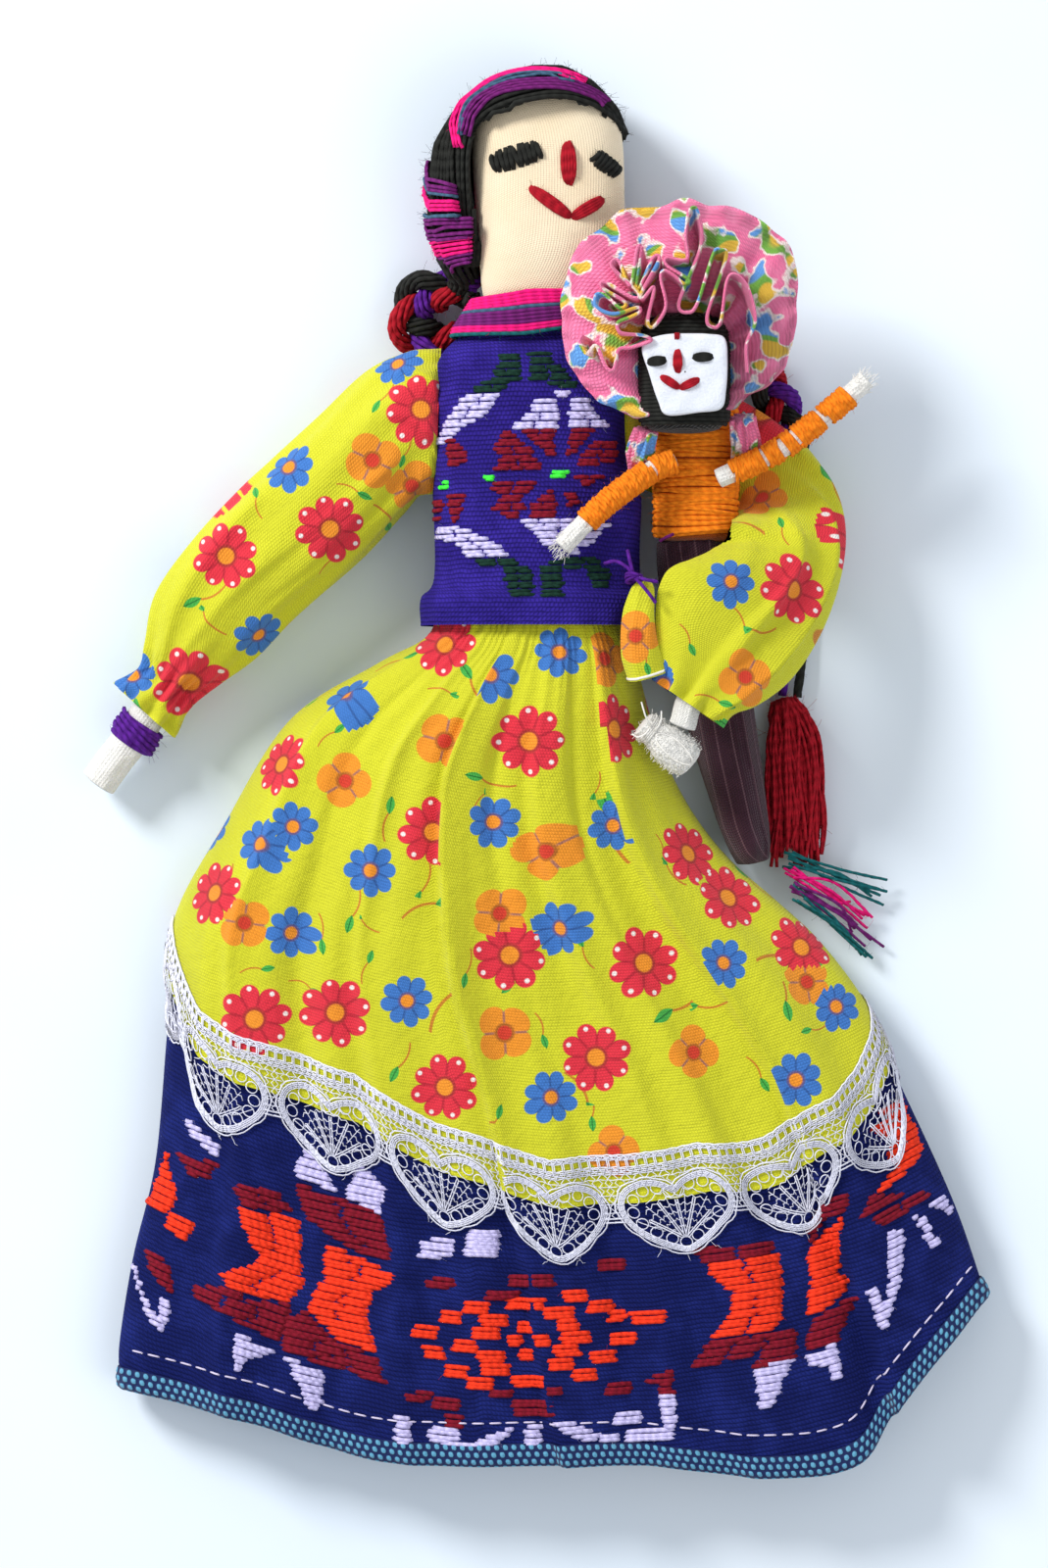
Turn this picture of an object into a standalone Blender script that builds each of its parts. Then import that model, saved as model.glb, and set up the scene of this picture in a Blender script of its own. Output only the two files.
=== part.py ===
# A rag doll that lies on its back and holds a baby doll, modelled for Blender 4.5.
# The doll's length runs along Y with the head at +Y, and its face looks up along +Z.
# The origin is on the flat of the blouse's back, which lies on the ground, above its waist.
import math

import bmesh
import bpy
import numpy as np
from mathutils import Vector
from mathutils.bvhtree import BVHTree

# Every length below is in millimetres, and MM turns it into Blender's metres.
MM = 0.001
ORIGIN_Y = 12.0  # the origin lies this far above the blouse's lower edge, where y is 0 below
GAP = 0.35  # clearance between two pieces that touch
CLOTH = 0.8  # printed cotton of the sleeves and the overskirt
WOOL = 1.0  # handwoven wool of the blouse and the underskirt

# The stuffed body, as stations along the doll's length
TORSO_LENGTH = 58.0
TORSO_HALF_WIDTH = 18.2
TORSO_DEPTH = 24.4
HIP_LENGTH = 20.0
WAIST_HALF_WIDTH = 16.4
BLOUSE_FLARE = 4.4  # how far the blouse's lower edge stands off the body, over the skirts
FLATTENED = 1.5  # how much of a round section the doll's weight presses flat
NECK_BACK = 9.6  # height of the back of the neck, which the braid passes under

# The head, a stuffed pillow that leans a little to the doll's left
HEAD_CENTRE_X = 3.8
HEAD_HALF_WIDTH = 15.1
HEAD_LENGTH = 47.5
HEAD_DEPTH = 22.0
HAIR_THICK = 3.6
HAIR_SIDE = 9.0  # the mass of hair on the doll's right side, beside the face

# Limbs
ARM_RADIUS = 3.9
LEG_RADIUS = 5.4
LEG_LENGTH = 128.0
LEG_SPREAD = 9.5
YARN = 0.9  # radius of one strand of tassel yarn

# Skirts
SKIRT_LENGTH = 168.0
SKIRT_TOP_Y = 3.0
SKIRT_RISE = 27.0  # height of the front of the skirts over the thighs
HEM_RISE = 15.0  # height of the front of the skirts at the hem
SIDE_HEIGHT = 5.5  # height at which front and back meet along the skirts' sides
COLUMNS = 46  # points round each layer of skirt
# How far down the skirt the overskirt reaches, as shares of the way from waist to hem
OVERSKIRT_FRONT, OVERSKIRT_BACK = 0.715, 0.60
OVERSKIRT_RIGHT, OVERSKIRT_LEFT = 0.52, 0.66
LACE_DROP = 0.125  # the lace's width, as a share of the way from waist to hem
LACE = 0.7
SCALLOPS = 13
BINDING_RADIUS = 1.5

# Plaits
STRAND_RADIUS = 1.2
PLAIT_HALF_WIDTH = 2.9
PLAIT_HALF_DEPTH = 2.1
PLAITED_SHARE = 0.39  # of the long plait. The rest of its yarn runs on flat under the sleeve

# The baby
BABY_X = 33.6
BABY_WAIST_Y = 18.2
BABY_TORSO_LENGTH = 26.0
BABY_HALF_WIDTH = 8.6
BABY_BACK = 9.2
BABY_DEPTH = 12.4
BABY_HEAD_X = 31.0
BABY_HEAD_Y = 50.6
BABY_HEAD_HALF_WIDTH = 8.9
BABY_HEAD_HALF_LENGTH = 10.6
BABY_HEAD_DEPTH = 12.0
BABY_SKIRT_LENGTH = 66.4
BABY_ARM_RADIUS = 2.6
BABY_HAND_RADIUS = 1.9
BRIM_RADIUS = 24.0
BRIM_HEIGHT = 28.9
RUFFLE_HEIGHT = 7.0
RUFFLE_LOOPS = 8

MATERIALS = {
    "muslin": ((0.93, 0.90, 0.84), 0.95),
    "face_cloth": ((0.95, 0.78, 0.58), 0.9),
    "black_wool": ((0.012, 0.012, 0.014), 0.95),
    "magenta_yarn": ((0.80, 0.01, 0.22), 0.9),
    "purple_yarn": ((0.10, 0.015, 0.25), 0.9),
    "red_yarn": ((0.55, 0.01, 0.02), 0.9),
    "teal_yarn": ((0.01, 0.16, 0.17), 0.9),
    "orange_yarn": ((0.90, 0.25, 0.02), 0.9),
    "yellow_print": ((0.68, 0.70, 0.05), 0.85),
    "navy_wool": ((0.012, 0.03, 0.16), 0.95),
    "blouse_wool": ((0.03, 0.015, 0.17), 0.95),
    "white_lace": ((0.88, 0.86, 0.95), 0.8),
    "teal_binding": ((0.05, 0.22, 0.36), 0.85),
    "pink_print": ((0.88, 0.22, 0.42), 0.85),
    "maroon_cloth": ((0.045, 0.015, 0.025), 0.9),
    "white_thread": ((0.9, 0.9, 0.88), 0.85),
}


# Meshes from rings, grids and tubes

def material(name):
    found = bpy.data.materials.get(name)
    if found:
        return found
    colour, roughness = MATERIALS[name]
    made = bpy.data.materials.new(name)
    made.use_nodes = True
    shader = made.node_tree.nodes["Principled BSDF"]
    shader.inputs["Base Color"].default_value = (*colour, 1.0)
    shader.inputs["Roughness"].default_value = roughness
    shader.inputs["Metallic"].default_value = 0.0
    return made


def add_object(name, points, faces, material_name):
    """One closed mesh from points in millimetres, with its faces turned outwards."""
    mesh = bpy.data.meshes.new(name)
    placed = [(Vector(p) - Vector((0, ORIGIN_Y, 0))) * MM for p in points]
    mesh.from_pydata(placed, [], [tuple(f) for f in faces])
    work = bmesh.new()
    work.from_mesh(mesh)
    bmesh.ops.recalc_face_normals(work, faces=work.faces)
    work.to_mesh(mesh)
    work.free()
    mesh.shade_smooth()
    mesh.materials.append(material(material_name))
    obj = bpy.data.objects.new(name, mesh)
    bpy.context.scene.collection.objects.link(obj)
    return obj


def ring_faces(rows, columns, first=0):
    """The quads between rows of closed rings that follow each other."""
    faces = []
    for i in range(rows - 1):
        for j in range(columns):
            a = first + i * columns + j
            b = first + i * columns + (j + 1) % columns
            faces.append((a, b, b + columns, a + columns))
    return faces


def solid(name, rings, material_name):
    """A solid through closed rings, with a domed point in the middle of each end."""
    rings = [np.asarray(r, float) for r in rings]
    rows, columns = len(rings), len(rings[0])
    points = [p for r in rings for p in r]
    faces = ring_faces(rows, columns)
    for row in (0, rows - 1):
        middle = len(points)
        points.append(rings[row].mean(axis=0))
        start = row * columns
        faces += [(start + j, start + (j + 1) % columns, middle) for j in range(columns)]
    return add_object(name, points, faces, material_name)


def shell(name, outer, inner, material_name):
    """A wall between two stacks of rings, open at both ends."""
    rows, columns = len(outer), len(outer[0])
    points = [p for r in outer for p in r] + [p for r in inner for p in r]
    count = rows * columns
    faces = ring_faces(rows, columns) + ring_faces(rows, columns, count)
    for row in (0, rows - 1):
        for j in range(columns):
            a, b = row * columns + j, row * columns + (j + 1) % columns
            faces.append((a, b, b + count, a + count))
    return add_object(name, points, faces, material_name)


def smooth_path(points, count):
    """Points along a Catmull-Rom curve through the points given."""
    knots = np.asarray(points, float)
    padded = np.vstack([2 * knots[0] - knots[1], knots, 2 * knots[-1] - knots[-2]])
    out = []
    for t in np.linspace(0, len(knots) - 1, count):
        i = min(int(t), len(knots) - 2)
        f = t - i
        a, b, c, d = padded[i : i + 4]
        out.append(
            0.5 * (2 * b + (c - a) * f + (2 * a - 5 * b + 4 * c - d) * f**2
                   + (3 * b - a - 3 * c + d) * f**3)
        )
    return np.array(out)


def frames_along(path):
    """For each point of a path, its direction, the side that lies level, and the way up."""
    ahead = np.gradient(path, axis=0)
    ahead /= np.linalg.norm(ahead, axis=1)[:, None]
    side = np.cross(ahead, (0.0, 0.0, 1.0))
    side /= np.linalg.norm(side, axis=1)[:, None]
    return ahead, side, np.cross(side, ahead)


def tube_rings(path, half_widths, half_heights, sides, tilt=0.0):
    """Rings round a path. Tilt, in degrees, rolls every ring about the path."""
    path = np.asarray(path, float)
    _, side, up = frames_along(path)
    angles = np.linspace(0, 2 * math.pi, sides, endpoint=False)
    half_widths = np.broadcast_to(half_widths, len(path))
    half_heights = np.broadcast_to(half_heights, len(path))
    roll = np.radians(np.broadcast_to(tilt, len(path)))
    rings = []
    for p, s, u, w, h, r in zip(path, side, up, half_widths, half_heights, roll):
        across, lift = s * math.cos(r) + u * math.sin(r), u * math.cos(r) - s * math.sin(r)
        rings.append([p + across * w * math.cos(a) + lift * h * math.sin(a) for a in angles])
    return rings


def tube(name, points, radius, material_name, sides=8, count=None):
    path = smooth_path(points, count) if count else np.asarray(points, float)
    return solid(name, tube_rings(path, radius, radius, sides), material_name)


def signed_power(value, power):
    return math.copysign(abs(value) ** power, value)


def section(y, left, right, low, high, sides, power=2.4, flat=FLATTENED):
    """A round section across the doll's length, pressed flat underneath."""
    cx, cz = (left + right) / 2, (low - flat + high) / 2
    wide, deep = (right - left) / 2, (high - low + flat) / 2
    ring = []
    for a in np.linspace(0, 2 * math.pi, sides, endpoint=False):
        x = cx + wide * signed_power(math.cos(a), 2 / power)
        z = cz + deep * signed_power(math.sin(a), 2 / power)
        ring.append((x, y, max(z, low)))
    return ring


def grown(stations, by):
    """Sections moved outwards by a distance, one for all of them or one each."""
    by = np.broadcast_to(by, len(stations))
    return [(y, left - d, right + d, low - d, high + d)
            for (y, left, right, low, high), d in zip(stations, by)]


def sections(stations, sides, power=2.4):
    return [section(*s, sides, power) for s in stations]


def surface_of(obj):
    """The object's surface as evaluated, for laying things on it."""
    graph = bpy.context.evaluated_depsgraph_get()
    return BVHTree.FromObject(obj, graph)


def on_surface(tree, point, direction=(0, 0, -1)):
    """Where a ray from far off, through the point, meets the surface, and its normal there."""
    far = 200.0
    direction = Vector(direction).normalized()
    origin = Vector((0, ORIGIN_Y, 0))
    start = Vector(point) - origin - direction * far
    place, normal, _, _ = tree.ray_cast(start * MM, direction)
    if place is None:
        place, normal, _, _ = tree.find_nearest((Vector(point) - origin) * MM)
    return np.array(place / MM + origin), np.array(normal)


def strip_on(name, tree, route, half_width, thick, material_name, count, direction=(0, 0, -1)):
    """A flat strip of yarn that lies on a surface, seen along a direction."""
    rings = []
    path = smooth_path(route, count)
    ahead = np.gradient(path, axis=0)
    for p, a in zip(path, ahead):
        place, normal = on_surface(tree, p, direction)
        side = np.cross(a, normal)
        side *= half_width / np.linalg.norm(side)
        base, top = place + normal * 2 * GAP, place + normal * (2 * GAP + thick)
        rings.append([base - side, base + side, top + side * 0.6, top - side * 0.6])
    return solid(name, rings, material_name)


def stitch(name, tree, start, end, half_width, thick, material_name):
    """A padded bar of embroidery between two points, seen from above."""
    rings, steps = [], 7
    ahead = np.subtract(end, start)
    across = np.array((-ahead[1], ahead[0])) / np.linalg.norm(ahead)
    for t in np.linspace(0, 1, steps):
        fullness = math.sin(math.pi * (0.12 + 0.76 * t)) ** 0.5
        middle = np.asarray(start) + ahead * t
        place, normal = on_surface(tree, (*middle, 0.0))
        side = np.array((*across, 0.0)) * half_width * fullness
        base = place + normal * 2 * GAP
        rings.append([
            base - side,
            base + side,
            base + side * 0.6 + normal * thick * fullness,
            base - side * 0.6 + normal * thick * fullness,
        ])
    return solid(name, rings, material_name)


# The body

def torso_stations():
    """The stuffed body from the hips to the neck: y, left, right, low, high."""
    back = WOOL + GAP
    front = back + TORSO_DEPTH
    wide, waist = TORSO_HALF_WIDTH, WAIST_HALF_WIDTH
    waist_back, waist_front = WOOL + BLOUSE_FLARE, front - 2.4
    return [
        (-HIP_LENGTH, -waist * 0.6, waist * 0.6, waist_back + 4, waist_front - 4),
        (-HIP_LENGTH * 0.6, -waist * 0.95, waist * 0.95, waist_back + 0.6, waist_front - 0.6),
        (-2, -waist, waist, waist_back, waist_front),
        (SKIRT_TOP_Y + 2.4, -waist, waist, waist_back, waist_front),
        (SKIRT_TOP_Y + 7, -waist - 1, waist + 1, back + 0.4, front - 0.4),
        (TORSO_LENGTH * 0.5, -wide, wide, back, front),
        (TORSO_LENGTH * 0.8, -wide, wide, back, front),
        (TORSO_LENGTH * 0.93, -wide + 1.4, wide - 0.6, NECK_BACK - 2.4, front - 1),
        (TORSO_LENGTH, -wide + 5.2, wide - 1.6, NECK_BACK + 1.4, front - 3.4),
        (TORSO_LENGTH + 3, -wide + 10, wide - 5, NECK_BACK + 2.6, front - 5),
    ]


def head_stations():
    """The head from the neck to the crown."""
    c, w = HEAD_CENTRE_X, HEAD_HALF_WIDTH
    base = TORSO_LENGTH + 3 + GAP
    back = HAIR_THICK + GAP
    front = back + HEAD_DEPTH
    return [
        (base, c - w * 0.74, c + w * 0.70, NECK_BACK + 1.6, front - 4.4),
        (base + HEAD_LENGTH * 0.12, c - w * 0.86, c + w * 0.86, NECK_BACK, front - 2.2),
        (base + HEAD_LENGTH * 0.3, c - w * 0.91, c + w, back + 2, front - 0.6),
        (base + HEAD_LENGTH * 0.55, c - w * 0.97, c + w, back, front),
        (base + HEAD_LENGTH * 0.75, c - w, c + w * 0.98, back, front),
        (base + HEAD_LENGTH * 0.88, c - w * 0.95, c + w * 0.9, back + 1, front - 1),
        (base + HEAD_LENGTH * 0.96, c - w * 0.72, c + w * 0.7, back + 3.6, front - 3.2),
        (base + HEAD_LENGTH, c - w * 0.4, c + w * 0.4, back + 7, front - 7),
    ]


def hair_stations():
    """The hair: a cap over the crown and the back of the head, fuller on the doll's right."""
    c, w = HEAD_CENTRE_X, HEAD_HALF_WIDTH
    base = TORSO_LENGTH + 3 + GAP
    crown = base + HEAD_LENGTH
    top = HAIR_THICK + HEAD_DEPTH + 2.6
    left, right = c - w - HAIR_SIDE, c + w
    return [
        (base + 9, left + 8, right - 10, NECK_BACK - 1.0, top - 11),
        (base + 12, left + 3.4, right - 3, 1.2, top - 7),
        (base + 19, left + 0.2, right - 0.6, 0, top - 4.6),
        (base + 28, left, right + 0.8, 0, top - 2),
        (base + 36, left + 1.4, right + 1.4, 0, top),
        (base + 43, left + 5.4, right - 1.2, 0, top + 0.6),
        (crown + 0.8, left + 12, right - 6, 1.4, top - 1.6),
        (crown + HAIR_THICK, left + 19, right - 11, 6, top - 7),
    ]


def cutter(name, points, faces):
    obj = add_object(name, points, faces, "muslin")
    obj.hide_render = True
    obj.display_type = "WIRE"
    return obj


def cut(obj, tool):
    modifier = obj.modifiers.new("cut_" + tool.name, "BOOLEAN")
    modifier.operation = "DIFFERENCE"
    modifier.object = tool
    modifier.solver = "EXACT"


def make_torso():
    solid("torso_core", sections(torso_stations(), 20), "muslin")


def blouse_stations():
    """Where the blouse runs: over the body from the waist to the foot of the collar."""
    stations = torso_stations()[2:9]
    return [(0, *stations[0][1:])] + stations[1:]


def make_blouse():
    stations = blouse_stations()
    stand_off = [BLOUSE_FLARE, BLOUSE_FLARE, GAP + 0.4, GAP, GAP, GAP, GAP]
    outer = sections(grown(stations, [d + WOOL for d in stand_off]), 24)
    inner = sections(grown(stations, stand_off), 24)
    shell("blouse", outer, inner, "blouse_wool")


def collar_stations():
    """The striped band from the shoulders up round the neck."""
    torso, head = torso_stations(), head_stations()
    _, left, right, low, high = torso[8]
    _, neck_left, neck_right, neck_low, neck_high = head[1]
    clear = WOOL + 2 * GAP
    foot, top = TORSO_LENGTH + GAP, head[1][0] + 0.4
    middle = (foot + top) / 2
    return [
        (foot, left - clear - 0.4, right + clear + 0.4, low - clear, high + clear + 1.0),
        (foot + 1.6, left - clear, right + clear, low - clear, high + clear + 0.8),
        (middle, (left + neck_left) / 2 - clear, (right + neck_right) / 2 + clear,
         neck_low - clear + 0.2, (high + neck_high) / 2 + clear + 0.4),
        (top, neck_left - 2 * GAP, neck_right + 2 * GAP, neck_low - 2 * GAP, neck_high + 2 * GAP),
    ]


def make_collar():
    stations = collar_stations()
    shell("collar", sections(grown(stations, WOOL), 24), sections(stations, 24), "magenta_yarn")


def make_head():
    return solid("head", sections(head_stations(), 22), "face_cloth")


HAIRLINE = [(-0.5, 34), (0.4, 37.6), (4.4, 41), (12.4, 43.4), (19, 43.8), (25, 42), (30, 38)]


def make_hair():
    """The hair is cut to the head with a clearance, and open over the face below the hairline."""
    hair = solid("hair", sections(hair_stations(), 22), "black_wool")
    head = sections(grown(head_stations(), GAP), 22)
    count, columns = len(head), len(head[0])
    points = [p for r in head for p in r]
    faces = ring_faces(count, columns)
    faces += [tuple(range(columns)), tuple(range((count - 1) * columns, count * columns))]
    cut(hair, cutter("head_clearance", points, faces))
    left = HEAD_CENTRE_X - HEAD_HALF_WIDTH
    base = TORSO_LENGTH + 3 + GAP
    outline = [(left, base - 6)] + [(left + x, base + y) for x, y in HAIRLINE]
    outline += [(left + 46, base + 36), (left + 46, base - 6)]
    n = len(outline)
    low, high = HAIR_THICK + 2.2, 60.0
    points = [(x, y, low) for x, y in outline] + [(x, y, high) for x, y in outline]
    faces = [tuple(range(n)), tuple(range(n, 2 * n))]
    faces += [(i, (i + 1) % n, n + (i + 1) % n, n + i) for i in range(n)]
    cut(hair, cutter("face_opening", points, faces))
    return hair


def make_hair_ribbons(hair):
    """Coloured yarn laid round the hair: three rows over the crown and turns at the side."""
    tree = surface_of(hair)
    base = TORSO_LENGTH + 3 + GAP
    rows = [
        ("magenta", 1.0, [(-14, 37.05), (-13.6, 43.25), (-10, 47.65), (-4.6, 49.85), (3, 50.25),
                          (7.6, 49.45)]),
        ("teal", 0.55, [(-10.6, 44.65), (-6.4, 47.15), (-1.4, 48.05), (4, 48.05)]),
        ("purple", 0.9, [(-11.6, 38.25), (-9.4, 42.85), (-3.2, 45.85), (5, 46.25), (13, 44.25)]),
    ]
    above = HEAD_DEPTH + 2
    for colour, half, route in rows:
        points = [(x, base + y, above) for x, y in route]
        strip_on("hair_ribbon_" + colour, tree, points, half, 0.8, colour + "_yarn", 12,
                 direction=(0, -0.4, -1))
    turns = [("side_turn_magenta_upper", 25.05, 1.1, "magenta_yarn"),
             ("side_turn_purple", 19.25, 1.2, "purple_yarn"),
             ("side_turn_magenta_lower", 15.45, 1.2, "magenta_yarn")]
    for name, up, half, colour in turns:
        y = base + up
        route = [(-12.6, y - 0.6, 0), (-15.4, y - 0.2, 0), (-18.2, y + 0.8, 0)]
        strip_on(name, tree, route, half, 0.8, colour, 6)


def make_face(head):
    """Embroidered eyes, nose, mouth and the red stitch at the parting."""
    tree = surface_of(head)
    c, y = HEAD_CENTRE_X, TORSO_LENGTH + 3 + GAP
    bars = [
        ("right_eye", (-7.2, 31.6), (2.0, 33.8), 1.7, "black_wool"),
        ("left_eye", (13.4, 32.6), (17.6, 30.0), 1.2, "black_wool"),
        ("nose", (7.9, 35.2), (8.0, 27.2), 1.35, "red_yarn"),
        ("mouth_right", (0.4, 26.0), (8.2, 20.6), 0.95, "red_yarn"),
        ("mouth_left", (9.6, 20.7), (14.6, 24.2), 0.95, "red_yarn"),
    ]
    for name, start, end, half, colour in bars:
        a = (start[0] + c - 3.8, start[1] + y)
        b = (end[0] + c - 3.8, end[1] + y)
        stitch(name, tree, a, b, half, 0.8, colour)


def plait(name, route, colours, count, turns, share=1.0):
    """Three strands that cross over. Past a share of the route they run on flat, side by side."""
    path = smooth_path(route, count)
    _, side, up = frames_along(path)
    run = np.concatenate([[0], np.cumsum(np.linalg.norm(np.diff(path, axis=0), axis=1))])
    for k, colour in enumerate(colours):
        strand = []
        lane = (0.0, 3.1, -3.1)[k]
        for p, s, u, r in zip(path, side, up, run / run[-1]):
            phase = 2 * math.pi * (turns * min(r / share, 1.0) + k / 3)
            flat = eased((r - share) * 8)
            sway = PLAIT_HALF_WIDTH * math.sin(phase)
            lift = PLAIT_HALF_DEPTH * math.sin(2 * phase)
            strand.append(p + s * (sway + (lane - sway) * flat) + u * lift * (1 - flat))
        rings = tube_rings(strand, STRAND_RADIUS, STRAND_RADIUS, 6)
        solid(f"{name}_{colour}", rings, colour + ("_wool" if colour == "black" else "_yarn"))


def make_plaits():
    floor = PLAIT_HALF_DEPTH + STRAND_RADIUS + 0.1
    right_side = [(-15.5, 67.5, 5.2), (-20, 68.6, floor + 0.6), (-25.4, 66.2, floor),
                  (-25.6, 60.5, floor), (-19, 57.4, floor), (-6, 59.2, floor),
                  (10, 60.0, floor), (24, 60, floor)]
    plait("right_plait", right_side, ("purple", "red", "black"), 46, turns=3)
    flat = STRAND_RADIUS + 0.1
    left_side = [(29, 65.4, floor), (38.5, 59.6, floor), (47.4, 50.6, floor), (52.4, 41.4, 2.6),
                 (52.6, 30, flat), (53, 15, flat), (53, 0, flat), (51.6, -14, flat)]
    plait("left_plait", left_side, ("purple", "red", "black"), 52, turns=2, share=PLAITED_SHARE)


def make_tassels():
    """The loose ends of the plaits: a red bundle, and thinner strands that fan out."""
    red = [(51.8, -15.9, 2.6), (54, -22, 4.2), (56, -36, 4.4), (56.5, -47, 3.2)]
    path = smooth_path(red, 9)
    widths = np.array([2.2, 3.4, 4.4, 4.8, 4.6, 4.2, 3.6, 3.0, 2.0])
    solid("red_tassel", tube_rings(path, widths, np.minimum(widths, 3.0), 10), "red_yarn")
    ends = [("teal", (73.2, -55.0)), ("magenta", (70.0, -59.8)), ("purple", (70.4, -64.0)),
            ("teal", (70.6, -68.2))]
    for k, (colour, end) in enumerate(ends):
        start = (52.2 + 0.6 * k, -47.4 - 2.4 * k, 6.4 + 0.5 * k)
        middle = ((start[0] + end[0]) / 2, (start[1] + end[1]) / 2 + 0.8, 5.6)
        tube(f"tassel_strand_{k + 1}_{colour}", [start, middle, (*end, YARN + 0.2)], YARN,
             colour + "_yarn", sides=5, count=6)


# Skirts

LEFT_EDGE = [(-16.8, 0.6), (-17.8, -2.2), (-21, -5.4), (-30, -10), (-47, -21), (-60, -42),
             (-70, -61), (-72.5, -82), (-75, -110), (-79.6, -130), (-82.4, -148), (-82, -155)]
RIGHT_EDGE = [(16.8, 0), (18.8, -6), (22.4, -20), (26.8, -32), (32.5, -42), (39.5, -50.5),
              (48.5, -58.5), (57.5, -67), (67, -80), (76, -98), (85.4, -119), (91.6, -137)]
HEM = [(-82, -155), (-58, -161), (-28, -169.6), (20, -170), (48, -172.6), (66, -170),
       (75, -157), (91.6, -137)]
# Each pleat: where it crosses the front at the waist and at the hem, its height, its width
PLEATS = [(0.40, 0.47, 2.2, 0.055), (0.80, 0.84, 2.6, 0.06), (0.16, 0.24, -1.6, 0.08),
          (0.60, 0.66, 1.0, 0.07)]


def along(points, t):
    """The point a share t of the way along a chain of points, by length."""
    chain = np.asarray(points, float)
    run = np.concatenate([[0], np.cumsum(np.linalg.norm(np.diff(chain, axis=0), axis=1))])
    return np.array([np.interp(t * run[-1], run, chain[:, k]) for k in range(2)])


def skirt_plan(across, down):
    """The plan position of a point of the skirts, from the waist, sides and hem."""
    half = WAIST_HALF_WIDTH + GAP
    waist = np.array((half * (2 * across - 1), SKIRT_TOP_Y))
    left = along([(-half, SKIRT_TOP_Y)] + LEFT_EDGE, down)
    right = along([(half, SKIRT_TOP_Y)] + RIGHT_EDGE, down)
    hem = along(HEM, across)
    corners = (
        (1 - across) * (1 - down) * np.array((-half, SKIRT_TOP_Y))
        + across * (1 - down) * np.array((half, SKIRT_TOP_Y))
        + (1 - across) * down * np.array(HEM[0])
        + across * down * np.array(HEM[-1])
    )
    plan = (1 - down) * waist + down * hem + (1 - across) * left + across * right - corners
    plan[1] = SKIRT_TOP_Y + (plan[1] - SKIRT_TOP_Y) * SKIRT_LENGTH / 170.0
    return plan


def pleat_height(across, down):
    total = 0.0
    grow = min(1.0, down / 0.25)
    for top, hem, height, width in PLEATS:
        off = (across - (top + (hem - top) * down)) / width
        if off >= 0:
            total += height * math.exp(-off * 0.7)
        else:
            total += height * math.exp(-(off * 3.2) ** 2)
    return grow * total


def eased(share):
    share = min(1.0, max(0.0, share))
    return share * share * (3 - 2 * share)


def skirt_point(angle, down):
    """A point of the skirts' inmost surface. Angle 0 is the doll's left side, 90 the front."""
    cosine, sine = math.cos(angle), math.sin(angle)
    x, y = skirt_plan((1 + signed_power(cosine, 0.92)) / 2, down)
    _, _, _, low, high = grown(torso_stations(), GAP)[2]
    middle = (low - FLATTENED + high) / 2
    waist = max(low, middle + (high - middle) * signed_power(sine, 2 / 2.4))
    spread = eased(down / 0.14)
    floor = WOOL + CLOTH + LACE + 6 * GAP
    floor += (1.5 - floor) * eased((down - 0.70) / 0.12)
    front = SKIRT_RISE + (HEM_RISE - SKIRT_RISE) * max(0.0, down - 0.12) / 0.88
    if sine >= 0:
        height = SIDE_HEIGHT + (front + pleat_height((1 + cosine) / 2, down) - SIDE_HEIGHT) * sine**0.72
    else:
        height = SIDE_HEIGHT - (SIDE_HEIGHT - floor) * (-sine) ** 0.4
    return (x, y, waist + (height - waist) * spread)


def hem_share(angle):
    """How far down the overskirt's cloth reaches, which is less at its right side."""
    side_reach = OVERSKIRT_RIGHT if math.cos(angle) < 0 else OVERSKIRT_LEFT
    if math.sin(angle) > 0:
        return side_reach + (OVERSKIRT_FRONT - side_reach) * math.sin(angle) ** 0.5
    return side_reach + (OVERSKIRT_BACK - side_reach) * abs(math.sin(angle)) ** 0.7


def offset(grid, by):
    """The grid moved out along its own normals."""
    around = np.roll(grid, -1, axis=1) - np.roll(grid, 1, axis=1)
    downward = np.gradient(grid, axis=0)
    normal = np.cross(around, downward)
    normal[0, :, 1] = 0.0
    normal /= np.linalg.norm(normal, axis=2)[:, :, None]
    return grid + normal * by


def skirt_grid(shares):
    """A grid of skirt points. Shares gives, for each row, a function of the angle."""
    angles = np.linspace(0, 2 * math.pi, COLUMNS, endpoint=False)
    return np.array([[skirt_point(a, share(a)) for a in angles] for share in shares])


UPPER_ROWS = [0.0, 0.05, 0.12, 0.21, 0.31]
LOWER_ROWS = [0.36, 0.42, 0.52, 0.63, 0.75, 0.88, 1.0]


def make_underskirt():
    base = skirt_grid([lambda a, v=v: v for v in UPPER_ROWS + LOWER_ROWS])
    shell("underskirt", offset(base, WOOL), base, "navy_wool")


def make_overskirt():
    last = UPPER_ROWS[-1]
    rows = [lambda a, v=v: v for v in UPPER_ROWS]
    rows += [lambda a, t=t: last + (hem_share(a) - last) * t for t in (0.26, 0.5, 0.75, 1.0)]
    base = skirt_grid(rows)
    lift = WOOL + 1.76 * GAP
    shell("overskirt", offset(base, lift + CLOTH), offset(base, lift), "yellow_print")


def lace_edge(angle):
    """The lace's scalloped lower edge, as a share of the way to the hem."""
    wave = abs(math.cos(SCALLOPS * angle / 2))
    return hem_share(angle) + LACE_DROP * (0.42 + 0.25 * wave)


def make_lace():
    """A scalloped edging sewn on the front of the overskirt's hem."""
    shares = [lambda a: hem_share(a) - LACE_DROP * 0.42, lambda a: hem_share(a) + 0.01,
              lambda a: (hem_share(a) + lace_edge(a)) / 2, lace_edge]
    base = skirt_grid(shares)
    lift = WOOL + 5.6 * GAP + CLOTH
    shell("lace_trim", offset(base, lift + LACE), offset(base, lift), "white_lace")


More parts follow.
